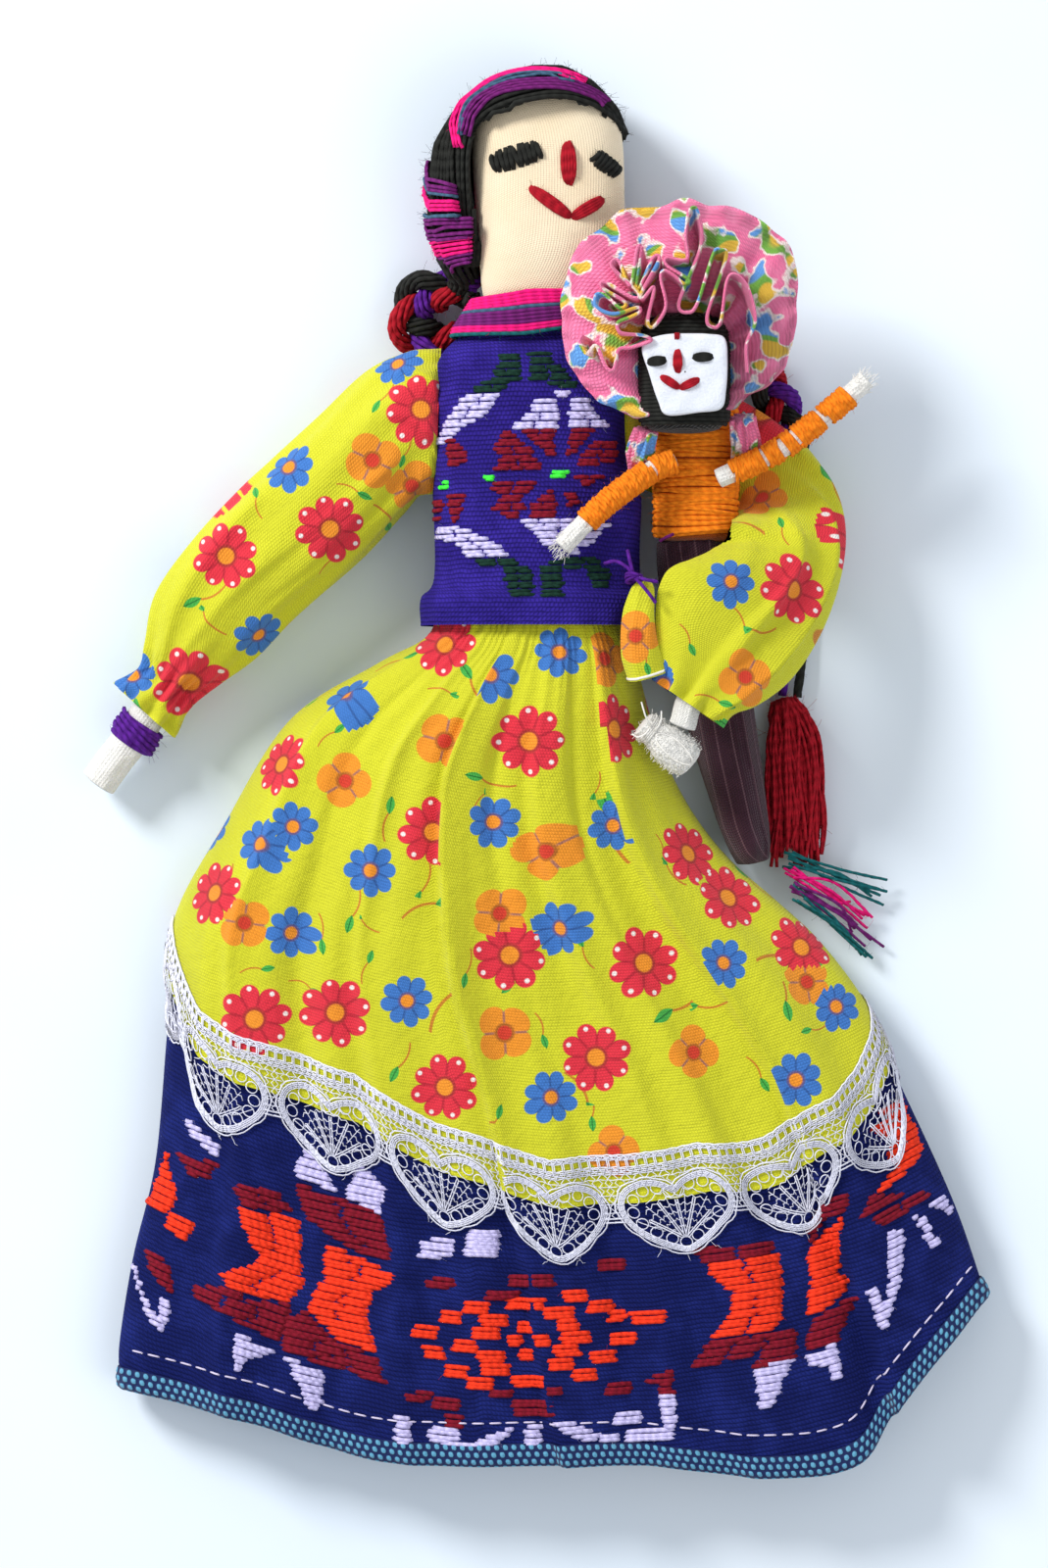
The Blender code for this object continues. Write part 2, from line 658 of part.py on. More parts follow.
def make_binding():
    """The woven edging that runs round the underskirt's hem."""
    edge = skirt_grid([lambda a: 0.985, lambda a: 1.0])
    middle = offset(edge, WOOL / 2)[1]
    outward = middle - offset(edge, WOOL / 2)[0]
    outward /= np.linalg.norm(outward, axis=1)[:, None]
    middle = middle + outward * (BINDING_RADIUS + GAP)
    middle[:, 2] = np.maximum(middle[:, 2], BINDING_RADIUS)
    across = np.cross(np.roll(middle, -1, axis=0) - np.roll(middle, 1, axis=0), outward)
    across /= np.linalg.norm(across, axis=1)[:, None]
    sides = 6
    points, faces = [], []
    for k in range(sides):
        turn = 2 * math.pi * k / sides
        points += list(middle + BINDING_RADIUS * (math.cos(turn) * outward
                                                  + math.sin(turn) * across))
    for k in range(sides):
        for j in range(COLUMNS):
            a, b = k * COLUMNS + j, k * COLUMNS + (j + 1) % COLUMNS
            c, d = ((k + 1) % sides) * COLUMNS + (j + 1) % COLUMNS, ((k + 1) % sides) * COLUMNS + j
            faces.append((a, b, c, d))
    add_object("hem_binding", points, faces, "teal_binding")


def make_legs():
    middle = (WOOL + CLOTH + 3 * GAP) + LEG_RADIUS + 1.4
    for name, side in (("right_leg", -1), ("left_leg", 1)):
        start = -HIP_LENGTH - GAP
        path = [(side * LEG_SPREAD, start, middle + 1.5),
                (side * (LEG_SPREAD + 2), start - LEG_LENGTH / 2, middle + 0.4),
                (side * (LEG_SPREAD + 5), start - LEG_LENGTH, middle - 0.6)]
        tube(name, path, LEG_RADIUS, "muslin", sides=10, count=4)


# Arms and sleeves

# Each sleeve station: x, y, z of its middle, half width, half height, heading, roll in degrees
RIGHT_SLEEVE = [
    (-20.4, 41.4, 12.5, 14.8, 9.0, 180, 0),
    (-23.2, 41.0, 12.4, 14.8, 9.6, 187, 0),
    (-27.6, 38.8, 12.2, 14.0, 10.0, 201, 0),
    (-33.6, 32.8, 11.4, 13.2, 10.0, 217, 0),
    (-42.0, 24.6, 10.8, 13.6, 10.0, 224, 0),
    (-49.4, 18.0, 10.4, 13.8, 9.6, 225, 0),
    (-58.2, 9.8, 9.8, 13.2, 9.2, 228, 0),
    (-66.0, 0.4, 8.8, 12.2, 8.0, 236, 0),
    (-70.6, -7.2, 7.8, 8.8, 6.9, 240, 0),
    (-73.4, -11.6, 7.2, 6.6, 5.9, 234, 0),
    (-76.4, -15.2, 7.0, 7.6, 6.3, 230, 0),
    (-78.2, -17.2, 7.0, 7.8, 6.4, 228, 0),
]
LEFT_SLEEVE = [
    (20.4, 41.0, 9.6, 13.0, 7.4, 0, 0),
    (24.6, 40.2, 4.7, 12.8, 4.0, -4, 0),
    (34.0, 37.0, 4.5, 12.4, 3.8, -16, 0),
    (42.6, 33.0, 5.5, 11.6, 4.1, -34, -8),
    (48.8, 29.0, 8.4, 10.6, 4.9, -50, -4),
    (53.0, 23.6, 11.8, 10.2, 6.0, -70, 14),
    (53.6, 15.4, 16.6, 11.2, 6.4, -92, 32),
    (49.0, 6.4, 21.8, 13.4, 5.8, -116, 26),
    (42.4, -1.4, 25.2, 14.6, 5.6, -130, 12),
    (37.0, -8.0, 26.6, 12.6, 5.4, -132, 4),
    (33.4, -13.0, 26.8, 9.4, 5.0, -126, 0),
    (31.6, -15.8, 26.6, 8.6, 5.0, -124, 0),
]


def sleeve_rings(stations, smaller, sides):
    """Upright rings round a sleeve, each turned to its own heading and then rolled."""
    rings = []
    for x, y, z, wide, high, heading, roll in stations:
        turn, lean = math.radians(heading), math.radians(roll)
        level = np.array((math.sin(turn), -math.cos(turn), 0.0))
        side = level * math.cos(lean) + np.array((0, 0, math.sin(lean)))
        up = np.array((0, 0, math.cos(lean))) - level * math.sin(lean)
        angles = np.linspace(0, 2 * math.pi, sides, endpoint=False)
        rings.append([np.array((x, y, z)) + side * (wide - smaller) * math.cos(a)
                      + up * (high - smaller) * math.sin(a) for a in angles])
    return rings


def sleeve(name, stations, sides=18):
    outer = sleeve_rings(stations, 0.0, sides)
    return shell(name, outer, sleeve_rings(stations, CLOTH, sides), "yellow_print")


def make_right_arm():
    """The arm that hangs free, a roll of cloth that ends in the hand."""
    reach = [s[:3] for s in RIGHT_SLEEVE]
    path = [(-21.4, 41.5, 12.4), reach[2], reach[3], reach[6], reach[9], (-79.0, -20.0, 6.6),
            (-87.6, -31.6, 5.2)]
    tube("right_arm", path, ARM_RADIUS, "muslin", sides=10, count=13)
    wrist = [(-79.2, -20.8, 6.5), (-80.4, -22.3, 6.3), (-81.6, -23.8, 6.1)]
    outer = tube_rings(wrist, ARM_RADIUS + GAP + 0.9, ARM_RADIUS + GAP + 0.9, 12)
    inner = tube_rings(wrist, ARM_RADIUS + GAP, ARM_RADIUS + GAP, 12)
    shell("right_wrist_yarn", outer, inner, "purple_yarn")
    sleeve("right_sleeve", RIGHT_SLEEVE)


def make_left_arm():
    """The arm that is folded round the baby, with its hand on the baby's skirt."""
    reach = [s[:3] for s in LEFT_SLEEVE]
    route = reach[1:11] + [(30.6, -20.2, 26.2)]
    tube("left_arm", route, ARM_RADIUS - 1.1, "muslin", sides=10, count=14)
    hand = [(23.4, -20.4, 26.4), (28.2, -24.4, 25.6), (33.6, -28.8, 23.8)]
    tube("left_hand", hand, ARM_RADIUS - 0.1, "white_thread", sides=10, count=5)
    tie = [(23.7, -20.7, 26.3), (24.5, -21.4, 26.2)]
    outer = tube_rings(tie, ARM_RADIUS + 0.9, ARM_RADIUS + 0.9, 12)
    inner = tube_rings(tie, ARM_RADIUS + GAP, ARM_RADIUS + GAP, 12)
    shell("left_wrist_thread", outer, inner, "white_thread")
    sleeve("left_sleeve", LEFT_SLEEVE)
    cuff = [(24.8, 8.6, 29.6), (22.4, 3.4, 30.0), (21.6, -3.0, 29.8), (23.2, -9.6, 29.0)]
    tube("cuff_fold", cuff, np.array([1.8, 2.9, 3.2, 2.6]), "yellow_print", sides=10)
    knot = [(19.2, 8.2, 29.9), (20.4, 9.2, 30.4), (22.2, 9.6, 31.2)]
    tube("cuff_knot", knot, 0.8, "purple_yarn", sides=6)


# The baby

def make_baby_torso():
    """A body wound with yarn: shallow ridges run round it."""
    rings, rows = [], 13
    low, high = BABY_BACK, BABY_BACK + BABY_DEPTH
    for i, t in enumerate(np.linspace(0, 1, rows)):
        ridge = 0.25 * (i % 2)
        ends = 1.0 if 0 < i < rows - 1 else 2.2
        half = BABY_HALF_WIDTH - ridge - (ends - 1)
        rings.append(section(BABY_WAIST_Y + BABY_TORSO_LENGTH * t, BABY_X - half, BABY_X + half,
                             low + ridge + ends - 1, high - ridge - ends + 1, 14, 2.2))
    solid("baby_torso", rings, "orange_yarn")


def make_baby_skirt():
    top, low, high = BABY_WAIST_Y - GAP, 2.6, BABY_BACK + BABY_DEPTH - 1.4
    stations = [
        (top, BABY_X - 8.4, BABY_X + 8.4, BABY_BACK + 0.8, high),
        (top - 6, BABY_X - 8.4, BABY_X + 8.4, BABY_BACK - 2, high - 1.4),
        (top - 22, BABY_X - 6.0, BABY_X + 10.4, low + 1, high - 4),
        (top - 44, BABY_X - 0.2, BABY_X + 13.4, low, high - 5),
        (top - 59, BABY_X + 4.6, BABY_X + 15.2, low, high - 5.6),
        (top - BABY_SKIRT_LENGTH + 2, BABY_X + 7.2, BABY_X + 15.4, low + 0.6, high - 6.4),
        (top - BABY_SKIRT_LENGTH, BABY_X + 8.6, BABY_X + 13.8, low + 3, high - 9),
    ]
    solid("baby_skirt", sections(stations, 16, 2.3), "maroon_cloth")


def make_baby_head():
    x, y, w, h = BABY_HEAD_X, BABY_HEAD_Y, BABY_HEAD_HALF_WIDTH, BABY_HEAD_HALF_LENGTH
    low = BABY_BACK + BABY_DEPTH + GAP
    high = low + BABY_HEAD_DEPTH
    stations = [
        (y - h, x - w * 0.7, x + w * 0.7, low + 2.4, high - 1.6),
        (y - h + 1.4, x - w * 0.92, x + w * 0.92, low + 0.2, high - 0.2),
        (y - h * 0.4, x - w, x + w, low, high),
        (y + h * 0.45, x - w, x + w, low, high),
        (y + h * 0.85, x - w * 0.8, x + w * 0.8, low + 1, high - 1),
        (y + h, x - w * 0.5, x + w * 0.5, low + 3, high - 3.4),
    ]
    solid("baby_hair", sections(stations, 16, 3.0), "black_wool")
    base = high + GAP
    face = [
        (y - h + 2.0, x - 7.0, x + 7.0, base, base + 1.2),
        (y - h + 3.2, x - 8.0, x + 8.0, base, base + 2.2),
        (y - 1.0, x - 8.4, x + 8.4, base, base + 2.8),
        (y + 5.4, x - 8.2, x + 8.2, base, base + 2.4),
        (y + 7.4, x - 7.0, x + 7.0, base, base + 1.2),
    ]
    patch = solid("baby_face", sections(face, 16, 3.4), "white_thread")
    tree = surface_of(patch)
    bars = [
        ("baby_right_eye", (-6.6, 3.4), (-3.6, 4.0), 0.75, "black_wool"),
        ("baby_left_eye", (2.6, 4.2), (5.8, 4.2), 0.75, "black_wool"),
        ("baby_nose", (-0.9, 5.0), (-0.9, 0.8), 0.7, "red_yarn"),
        ("baby_mouth_right", (-4.6, -0.4), (-1.2, -2.4), 0.55, "red_yarn"),
        ("baby_mouth_left", (-0.2, -2.3), (3.0, -0.6), 0.55, "red_yarn"),
    ]
    for name, start, end, half, colour in bars:
        stitch(name, tree, (x + start[0], y + start[1]), (x + end[0], y + end[1]), half, 0.5, colour)


def make_bonnet():
    """A frilled bonnet: a gathered brim round the head, and a ruffle that stands on it."""
    hole_w, hole_h = BABY_HEAD_HALF_WIDTH + 1.0, BABY_HEAD_HALF_LENGTH + 1.0
    centre_y = BABY_HEAD_Y + BRIM_RADIUS - hole_h - 1.0
    columns, rows, thick = 40, [0.0, 0.35, 0.7, 1.0], 0.8
    outer, inner = [], []
    for t in rows:
        upper, lower = [], []
        for a in np.linspace(0, 2 * math.pi, columns, endpoint=False):
            near = np.array((BABY_HEAD_X + hole_w * signed_power(math.cos(a), 0.62),
                             BABY_HEAD_Y + hole_h * signed_power(math.sin(a), 0.62)))
            reach = BRIM_RADIUS * (1 + 0.018 * math.sin(7 * a))
            far = np.array((BABY_HEAD_X - 1 + reach * math.cos(a), centre_y + reach * math.sin(a)))
            x, y = near + (far - near) * t
            wave = 0.9 * math.sin(10 * a) * t * min(1.0, 0.15 + np.linalg.norm(far - near) / 20)
            upper.append((x, y, BRIM_HEIGHT + thick + wave))
            lower.append((x, y, BRIM_HEIGHT + wave))
        outer.append(upper)
        inner.append(lower)
    shell("bonnet_brim", outer, inner, "pink_print")
    make_ruffle()


def make_ruffle():
    """The ruffle's gathered loops, as a wall that winds to and fro round the face."""
    base = BRIM_HEIGHT + 1.6
    steps = RUFFLE_LOOPS * 8
    middle = []
    for i in range(steps + 1):
        turn = math.pi * (1.12 - 1.24 * i / steps)
        phase = 2 * math.pi * RUFFLE_LOOPS * i / steps
        sway = 15.0 + 3.2 * math.sin(phase)
        slant = turn + 0.06 * math.sin(2 * phase)
        middle.append((BABY_HEAD_X + sway * math.cos(slant),
                       BABY_HEAD_Y + 1.0 + sway * math.sin(slant), base))
    middle = np.array(middle)
    _, side, _ = frames_along(middle)
    half = 0.45
    rings = []
    for p, s in zip(middle, side):
        lift = np.array((0, 0, RUFFLE_HEIGHT))
        rings.append([p - s * half, p + s * half, p + s * half + lift, p - s * half + lift])
    solid("bonnet_ruffle", rings, "pink_print")


def make_baby_arms():
    over_torso = BABY_BACK + BABY_DEPTH + GAP + BABY_ARM_RADIUS
    arms = [
        ("baby_right_arm", [(30.5, 33.4, over_torso), (24.5, 31.0, over_torso + 1.0),
                            (16.5, 25.2, over_torso + 4.0), (11.4, 20.6, over_torso + 4.4)],
         (7.4, 16.4, over_torso + 4.6)),
        ("baby_left_arm", [(38.0, 29.4, over_torso - 0.6), (49.5, 34.8, over_torso),
                           (57.5, 40.6, over_torso), (63.6, 45.6, over_torso)],
         (66.8, 48.4, over_torso)),
    ]
    for name, route, hand in arms:
        path = smooth_path(route, 7)
        outer = tube_rings(path, BABY_ARM_RADIUS, BABY_ARM_RADIUS, 10)
        inner = tube_rings(path, BABY_HAND_RADIUS + 0.2, BABY_HAND_RADIUS + 0.2, 10)
        shell(name + "_yarn", outer, inner, "orange_yarn")
        direction = (path[0] - path[1]) / np.linalg.norm(path[0] - path[1])
        core = [path[0] + direction * 1.5] + list(path) + [np.array(hand)]
        tube(name + "_roll", core, BABY_HAND_RADIUS, "white_thread", sides=8)


def make_bonnet_ties():
    """Pink gathers that come out under the baby's chin, one at each shoulder."""
    right = [(22.8, 32.0, 21.6), (22.4, 35.4, 23.6), (23.4, 38.6, 26.2)]
    tube("bonnet_tie_right", right, np.array([1.3, 1.9, 1.3]), "pink_print", sides=8)
    left = [(43.5, 34.6, 17.5), (43.6, 38.0, 20.5), (42.6, 40.2, 25.0)]
    tube("bonnet_tie_left", left, np.array([1.3, 1.9, 1.4]), "pink_print", sides=8)


def main():
    for obj in list(bpy.data.objects):
        bpy.data.objects.remove(obj)
    make_torso()
    make_blouse()
    make_collar()
    head = make_head()
    hair = make_hair()
    make_hair_ribbons(hair)
    make_face(head)
    make_plaits()
    make_tassels()
    make_underskirt()
    make_overskirt()
    make_lace()
    make_binding()
    make_legs()
    make_right_arm()
    make_left_arm()
    make_baby_torso()
    make_baby_skirt()
    make_baby_head()
    make_bonnet()
    make_baby_arms()
    make_bonnet_ties()


main()
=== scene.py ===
"""A rag doll that holds a baby doll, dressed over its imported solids."""

import math

import bpy
import numpy as np
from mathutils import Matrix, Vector
from mathutils.bvhtree import BVHTree


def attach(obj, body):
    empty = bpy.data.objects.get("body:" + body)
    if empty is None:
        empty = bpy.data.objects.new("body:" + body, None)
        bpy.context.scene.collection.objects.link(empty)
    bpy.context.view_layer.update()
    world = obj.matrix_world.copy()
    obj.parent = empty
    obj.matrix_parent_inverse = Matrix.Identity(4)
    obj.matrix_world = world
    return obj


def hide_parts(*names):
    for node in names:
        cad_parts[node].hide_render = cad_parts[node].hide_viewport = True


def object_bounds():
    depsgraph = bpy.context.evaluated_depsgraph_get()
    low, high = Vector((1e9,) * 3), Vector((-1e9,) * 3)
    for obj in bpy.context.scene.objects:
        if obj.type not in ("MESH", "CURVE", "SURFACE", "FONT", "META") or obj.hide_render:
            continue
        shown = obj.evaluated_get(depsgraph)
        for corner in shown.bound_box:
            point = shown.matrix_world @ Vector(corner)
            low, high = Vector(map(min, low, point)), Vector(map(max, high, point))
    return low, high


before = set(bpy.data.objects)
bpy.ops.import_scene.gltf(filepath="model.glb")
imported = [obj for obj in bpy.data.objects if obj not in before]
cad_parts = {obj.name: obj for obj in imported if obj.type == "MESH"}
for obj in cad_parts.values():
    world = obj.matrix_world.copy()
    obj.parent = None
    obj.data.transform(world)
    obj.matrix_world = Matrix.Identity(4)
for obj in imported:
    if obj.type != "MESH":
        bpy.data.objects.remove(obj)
cad_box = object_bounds()

# Lengths are in millimetres, in the doll's own frame: y is 0 at the blouse's lower edge.
MM = 0.001
ORIGIN_Y = 12.0
TURN = 2 * math.pi
rng = np.random.default_rng(7)

# The pixel of the photograph that lies at x = 0, y = 0, and how many pixels make a millimetre
PICTURE_ZERO, PIXELS_PER_MM = (540, 640), 5.0


def at(px, py):
    """A point of the photograph's plane, from its place in the picture."""
    return (px - PICTURE_ZERO[0]) / PIXELS_PER_MM, (PICTURE_ZERO[1] - py) / PIXELS_PER_MM


def placed(points):
    return (np.asarray(points, float).reshape(-1, 3) - (0, ORIGIN_Y, 0)) * MM


# Objects

def link(name, mesh, material, replaces):
    """Puts a mesh in the scene as one piece that rides on the root body."""
    mesh.shade_smooth()
    mesh.materials.append(material)
    obj = bpy.data.objects.new(name, mesh)
    bpy.context.scene.collection.objects.link(obj)
    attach(obj, "root")
    if replaces:
        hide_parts(*replaces)
    return obj


def make(name, points, faces, material, replaces=(), uvs=None):
    """One piece from points in millimetres. uvs maps a name to two values for each corner."""
    mesh = bpy.data.meshes.new(name)
    mesh.from_pydata(placed(points).tolist(), [], np.asarray(faces).tolist())
    for layer, values in (uvs or {}).items():
        uv = mesh.uv_layers.new(name=layer)
        uv.data.foreach_set("uv", np.asarray(values, np.float32).reshape(-1))
    return link(name, mesh, material, replaces)


def grid_faces(rows, columns, closed=False):
    i, j = np.meshgrid(np.arange(rows - 1), np.arange(columns - (not closed)), indexing="ij")
    k = (j + 1) % columns
    quads = np.stack([i * columns + j, i * columns + k, (i + 1) * columns + k,
                      (i + 1) * columns + j], -1)
    return quads.reshape(-1, 4)


def grid_uv(u, v, rows, columns, closed=False):
    """Corner values for grid_faces, from a value at each row and column edge."""
    i, j = np.meshgrid(np.arange(rows - 1), np.arange(columns - (not closed)), indexing="ij")
    us = np.stack([u[i, j], u[i, j + 1], u[i + 1, j + 1], u[i + 1, j]], -1)
    vs = np.stack([v[i, j], v[i, j + 1], v[i + 1, j + 1], v[i + 1, j]], -1)
    return np.stack([us, vs], -1).reshape(-1, 2)


def unit(vectors):
    return vectors / np.maximum(np.linalg.norm(vectors, axis=-1, keepdims=True), 1e-9)


def ring_angles(count):
    """Angles once round, without a last one on top of the first."""
    return np.linspace(0, TURN, count, endpoint=False)


def run_along(path):
    """How far along a path each of its points is."""
    return np.concatenate([[0], np.cumsum(np.linalg.norm(np.diff(path, axis=0), axis=1))])


def smooth_path(points, count):
    knots = np.asarray(points, float)
    padded = np.vstack([2 * knots[0] - knots[1], knots, 2 * knots[-1] - knots[-2]])
    t = np.linspace(0, len(knots) - 1, count)
    i = np.minimum(t.astype(int), len(knots) - 2)
    f = (t - i)[:, None]
    a, b, c, d = padded[i], padded[i + 1], padded[i + 2], padded[i + 3]
    return 0.5 * (2 * b + (c - a) * f + (2 * a - 5 * b + 4 * c - d) * f**2
                  + (3 * b - a - 3 * c + d) * f**3)


class Strands:
    """Many tubes of yarn or thread, gathered into one mesh."""

    def __init__(self, sides=5, spacing=1.9):
        self.sides, self.spacing, self.count = sides, spacing, 0
        self.points, self.faces, self.caps, self.uvs = [], [], [], []

    def add(self, path, radius, flat=1.0, up=(0, 0, 1), sides=None):
        """up is the way the strand's flat side faces, one vector or one for each point."""
        path = np.asarray(path, float)
        # Points closer together than the spacing are left out.
        step = np.linalg.norm(np.diff(path, axis=0), axis=1).mean()
        every = max(1, int(self.spacing / max(step, 1e-6)))
        if every > 1 and len(path) > 3 * every:
            keep = np.unique(np.append(np.arange(0, len(path), every), len(path) - 1))
            radius = np.broadcast_to(np.asarray(radius, float), (len(path),))[keep]
            if np.ndim(up) > 1:
                up = np.asarray(up)[keep]
            path = path[keep]
        n, s = len(path), sides or self.sides
        ahead = unit(np.gradient(path, axis=0))
        up = np.broadcast_to(np.asarray(up, float), path.shape)
        side = np.cross(ahead, up)
        weak = np.linalg.norm(side, axis=1) < 0.05
        side[weak] = np.cross(ahead[weak], (0.3, 1.0, 0.1))
        side = unit(side)
        lift = np.cross(side, ahead)
        radius = np.broadcast_to(np.asarray(radius, float), (n,))
        a = ring_angles(s)
        rings = (path[:, None] + side[:, None] * (radius[:, None] * np.cos(a))[:, :, None]
                 + lift[:, None] * (radius[:, None] * flat * np.sin(a))[:, :, None])
        u = np.broadcast_to(run_along(path)[:, None], (n, s + 1))
        v = np.broadcast_to(np.arange(s + 1) / s, (n, s + 1))
        self.uvs.append(grid_uv(u, v, n, s, closed=True))
        self.faces.append(grid_faces(n, s, closed=True) + self.count)
        self.points.append(rings.reshape(-1, 3))
        self.points += [path[:1], path[-1:]]
        last, tip = self.count + (n - 1) * s, self.count + n * s
        j = np.arange(s)
        k = (j + 1) % s
        self.caps += [np.stack([self.count + k, self.count + j, np.full(s, tip)], -1),
                      np.stack([last + j, last + k, np.full(s, tip + 1)], -1)]
        self.count += n * s + 2

    def build(self, name, material, slot, replaces=()):
        quads = np.concatenate(self.faces).tolist()
        caps = np.concatenate(self.caps).tolist()
        uv = np.concatenate(self.uvs)
        uv = np.concatenate([uv, np.zeros((len(caps) * 3, 2))])
        mesh = bpy.data.meshes.new(name)
        mesh.from_pydata(placed(np.concatenate(self.points)).tolist(), [], quads + caps)
        layer = mesh.uv_layers.new(name="run")
        layer.data.foreach_set("uv", uv.astype(np.float32).reshape(-1))
        return link(name, mesh, material, replaces)


ABOVE_ALL = 200.0


class Surface:
    """Finds where rays meet a piece, in millimetres."""

    def __init__(self, obj):
        mesh = obj.data
        places = np.empty(len(mesh.vertices) * 3, np.float32)
        mesh.vertices.foreach_get("co", places)
        polygons = [tuple(p.vertices) for p in mesh.polygons]
        self.tree = BVHTree.FromPolygons(places.reshape(-1, 3).tolist(), polygons)

    def cast(self, start, way):
        """The first point that a ray meets, and the normal there."""
        origin = Vector((start[0], start[1] - ORIGIN_Y, start[2])) * MM
        place, normal, _, _ = self.tree.ray_cast(origin, Vector(way))
        if place is None:
            return None, None
        place = np.array(place) / MM
        place[1] += ORIGIN_Y
        return place, np.array(normal)

    def hit(self, x, y):
        """The highest point over (x, y), and the normal there, turned upwards."""
        place, normal = self.cast((x, y, ABOVE_ALL), (0, 0, -1))
        if place is None:
            return None
        return place, -normal if normal[2] < 0 else normal


# Materials

class Nodes:
    """A material's node tree, with short calls for what its surface is worked out from."""

    def __init__(self, name, roughness=0.85, sheen=0.25, sheen_tint=None, specular=0.25):
        self.material = bpy.data.materials.new(name)
        self.material.use_nodes = True
        self.tree = self.material.node_tree
        self.shader = self.tree.nodes["Principled BSDF"]
        self.shader.inputs["Roughness"].default_value = roughness
        self.shader.inputs["Sheen Weight"].default_value = sheen
        self.shader.inputs["Sheen Roughness"].default_value = 0.5
        if sheen_tint:
            self.shader.inputs["Sheen Tint"].default_value = (*sheen_tint, 1.0)
        self.shader.inputs["Specular IOR Level"].default_value = specular

    def node(self, kind, **values):
        made = self.tree.nodes.new(kind)
        for key, value in values.items():
            setattr(made, key, value)
        return made

    def join(self, value, socket):
        if isinstance(value, (int, float, tuple)):
            socket.default_value = value
        else:
            self.tree.links.new(value, socket)

    def math(self, operation, *values, clamp=False):
        made = self.node("ShaderNodeMath", operation=operation, use_clamp=clamp)
        for value, socket in zip(values, made.inputs):
            self.join(value, socket)
        return made.outputs[0]

    def times(self, a, b):
        return self.math("MULTIPLY", a, b)

    def over(self, a, b):
        return self.math("DIVIDE", a, b)

    def plus(self, a, b):
        return self.math("ADD", a, b)

    def minus(self, a, b):
        return self.math("SUBTRACT", a, b)

    def scaled(self, value, scale, offset, clamp=False):
        """The value times the scale, plus the offset."""
        return self.math("MULTIPLY_ADD", value, scale, offset, clamp=clamp)

    def sine(self, value):
        return self.math("SINE", value)

    def cosine(self, value):
        return self.math("COSINE", value)

    def size(self, value):
        return self.math("ABSOLUTE", value)

    def wave(self, value, scale):
        """Arches of a sine, all of them above zero."""
        return self.size(self.sine(self.times(value, scale)))

    def uv(self, name):
        made = self.node("ShaderNodeUVMap", uv_map=name)
        split = self.node("ShaderNodeSeparateXYZ")
        self.tree.links.new(made.outputs[0], split.inputs[0])
        return split.outputs[0], split.outputs[1]

    def vector(self, x, y, z=0.0):
        made = self.node("ShaderNodeCombineXYZ")
        for value, socket in zip((x, y, z), made.inputs):
            self.join(value, socket)
        return made.outputs[0]

    def place(self):
        """The point's own coordinates, in millimetres."""
        made = self.node("ShaderNodeTexCoord")
        scaled = self.node("ShaderNodeVectorMath", operation="SCALE")
        scaled.inputs["Scale"].default_value = 1 / MM
        self.tree.links.new(made.outputs["Object"], scaled.inputs[0])
        return scaled.outputs[0]

    def noise(self, vector, scale, detail=2.0, roughness=0.5):
        made = self.node("ShaderNodeTexNoise")
        self.tree.links.new(vector, made.inputs["Vector"])
        made.inputs["Scale"].default_value = scale
        made.inputs["Detail"].default_value = detail
        made.inputs["Roughness"].default_value = roughness
        return made.outputs["Fac"]

    def mix(self, share, a, b, blend="MIX"):
        made = self.node("ShaderNodeMix", data_type="RGBA", blend_type=blend)
        self.join(share, made.inputs["Factor"])
        for value, socket in ((a, made.inputs["A"]), (b, made.inputs["B"])):
            self.join((*value, 1.0) if isinstance(value, tuple) else value, socket)
        return made.outputs["Result"]

    def between(self, value, low, high):
        """0 at low, 1 at high, and eased between them."""
        made = self.node("ShaderNodeMapRange", interpolation_type="SMOOTHSTEP")
        self.join(value, made.inputs["Value"])
        made.inputs["From Min"].default_value = low
        made.inputs["From Max"].default_value = high
        return made.outputs["Result"]

    # Multiplies a colour by a factor: the cloths use it for painted shade in the hollows of their weave,
    # with tone that differs at random.
    def shaded(self, base, shade):
        return self.mix(1.0, base, self.vector(shade, shade, shade), blend="MULTIPLY")

    def below(self, value, low, high):
        """1 at low, 0 at high, and eased between them."""
        return self.minus(1.0, self.between(value, low, high))

    def bump(self, height, distance):
        made = self.node("ShaderNodeBump")
        made.inputs["Distance"].default_value = distance
        made.inputs["Strength"].default_value = 1.0
        self.tree.links.new(height, made.inputs["Height"])
        self.tree.links.new(made.outputs["Normal"], self.shader.inputs["Normal"])

    def colour(self, value):
        self.join((*value, 1.0) if isinstance(value, tuple) else value,
                  self.shader.inputs["Base Color"])


def srgb(r, g, b):
    """A colour as the eye reads it, from 0 to 255, as linear light."""
    return tuple(((c / 255 + 0.055) / 1.055) ** 2.4 if c > 10 else c / 255 / 12.92
                 for c in (r, g, b))


def darker(colour, by):
    return tuple(c * by for c in colour)


def lighter(colour, by):
    return tuple(min(1.0, c * by) for c in colour)


def yarn(name, colour, pitch, depth, fuzz):
    """Wool that is spun round: slanting plies, with painted shade in the grooves between them and a
    painted highlight on their crests.
    """
    n = Nodes(name, roughness=0.9, sheen=fuzz, sheen_tint=colour)
    u, v = n.uv("run")
    turn = n.times(n.plus(n.over(u, pitch), v), TURN)
    ply = n.scaled(n.sine(turn), 0.5, 0.5)
    fibre = n.noise(n.place(), 2.2, 3.0, 0.7)
    # Painted shade in the ply's grooves and a painted highlight on its crests; the fibre noise is the
    # wool's own uneven tone.
    shade = n.scaled(ply, 0.55, n.times(fibre, 0.9), clamp=True)
    n.colour(n.mix(shade, darker(colour, 1 - depth * 0.62), lighter(colour, 1.12)))
    n.bump(n.plus(ply, n.times(fibre, 0.8)), 0.00022)
    return n.material


def weave_height(n, u, v, pitch):
    """A plain weave: threads that pass over and under each other. u and v are millimetres."""
    return n.times(n.wave(u, math.pi / pitch), n.wave(v, math.pi / pitch))


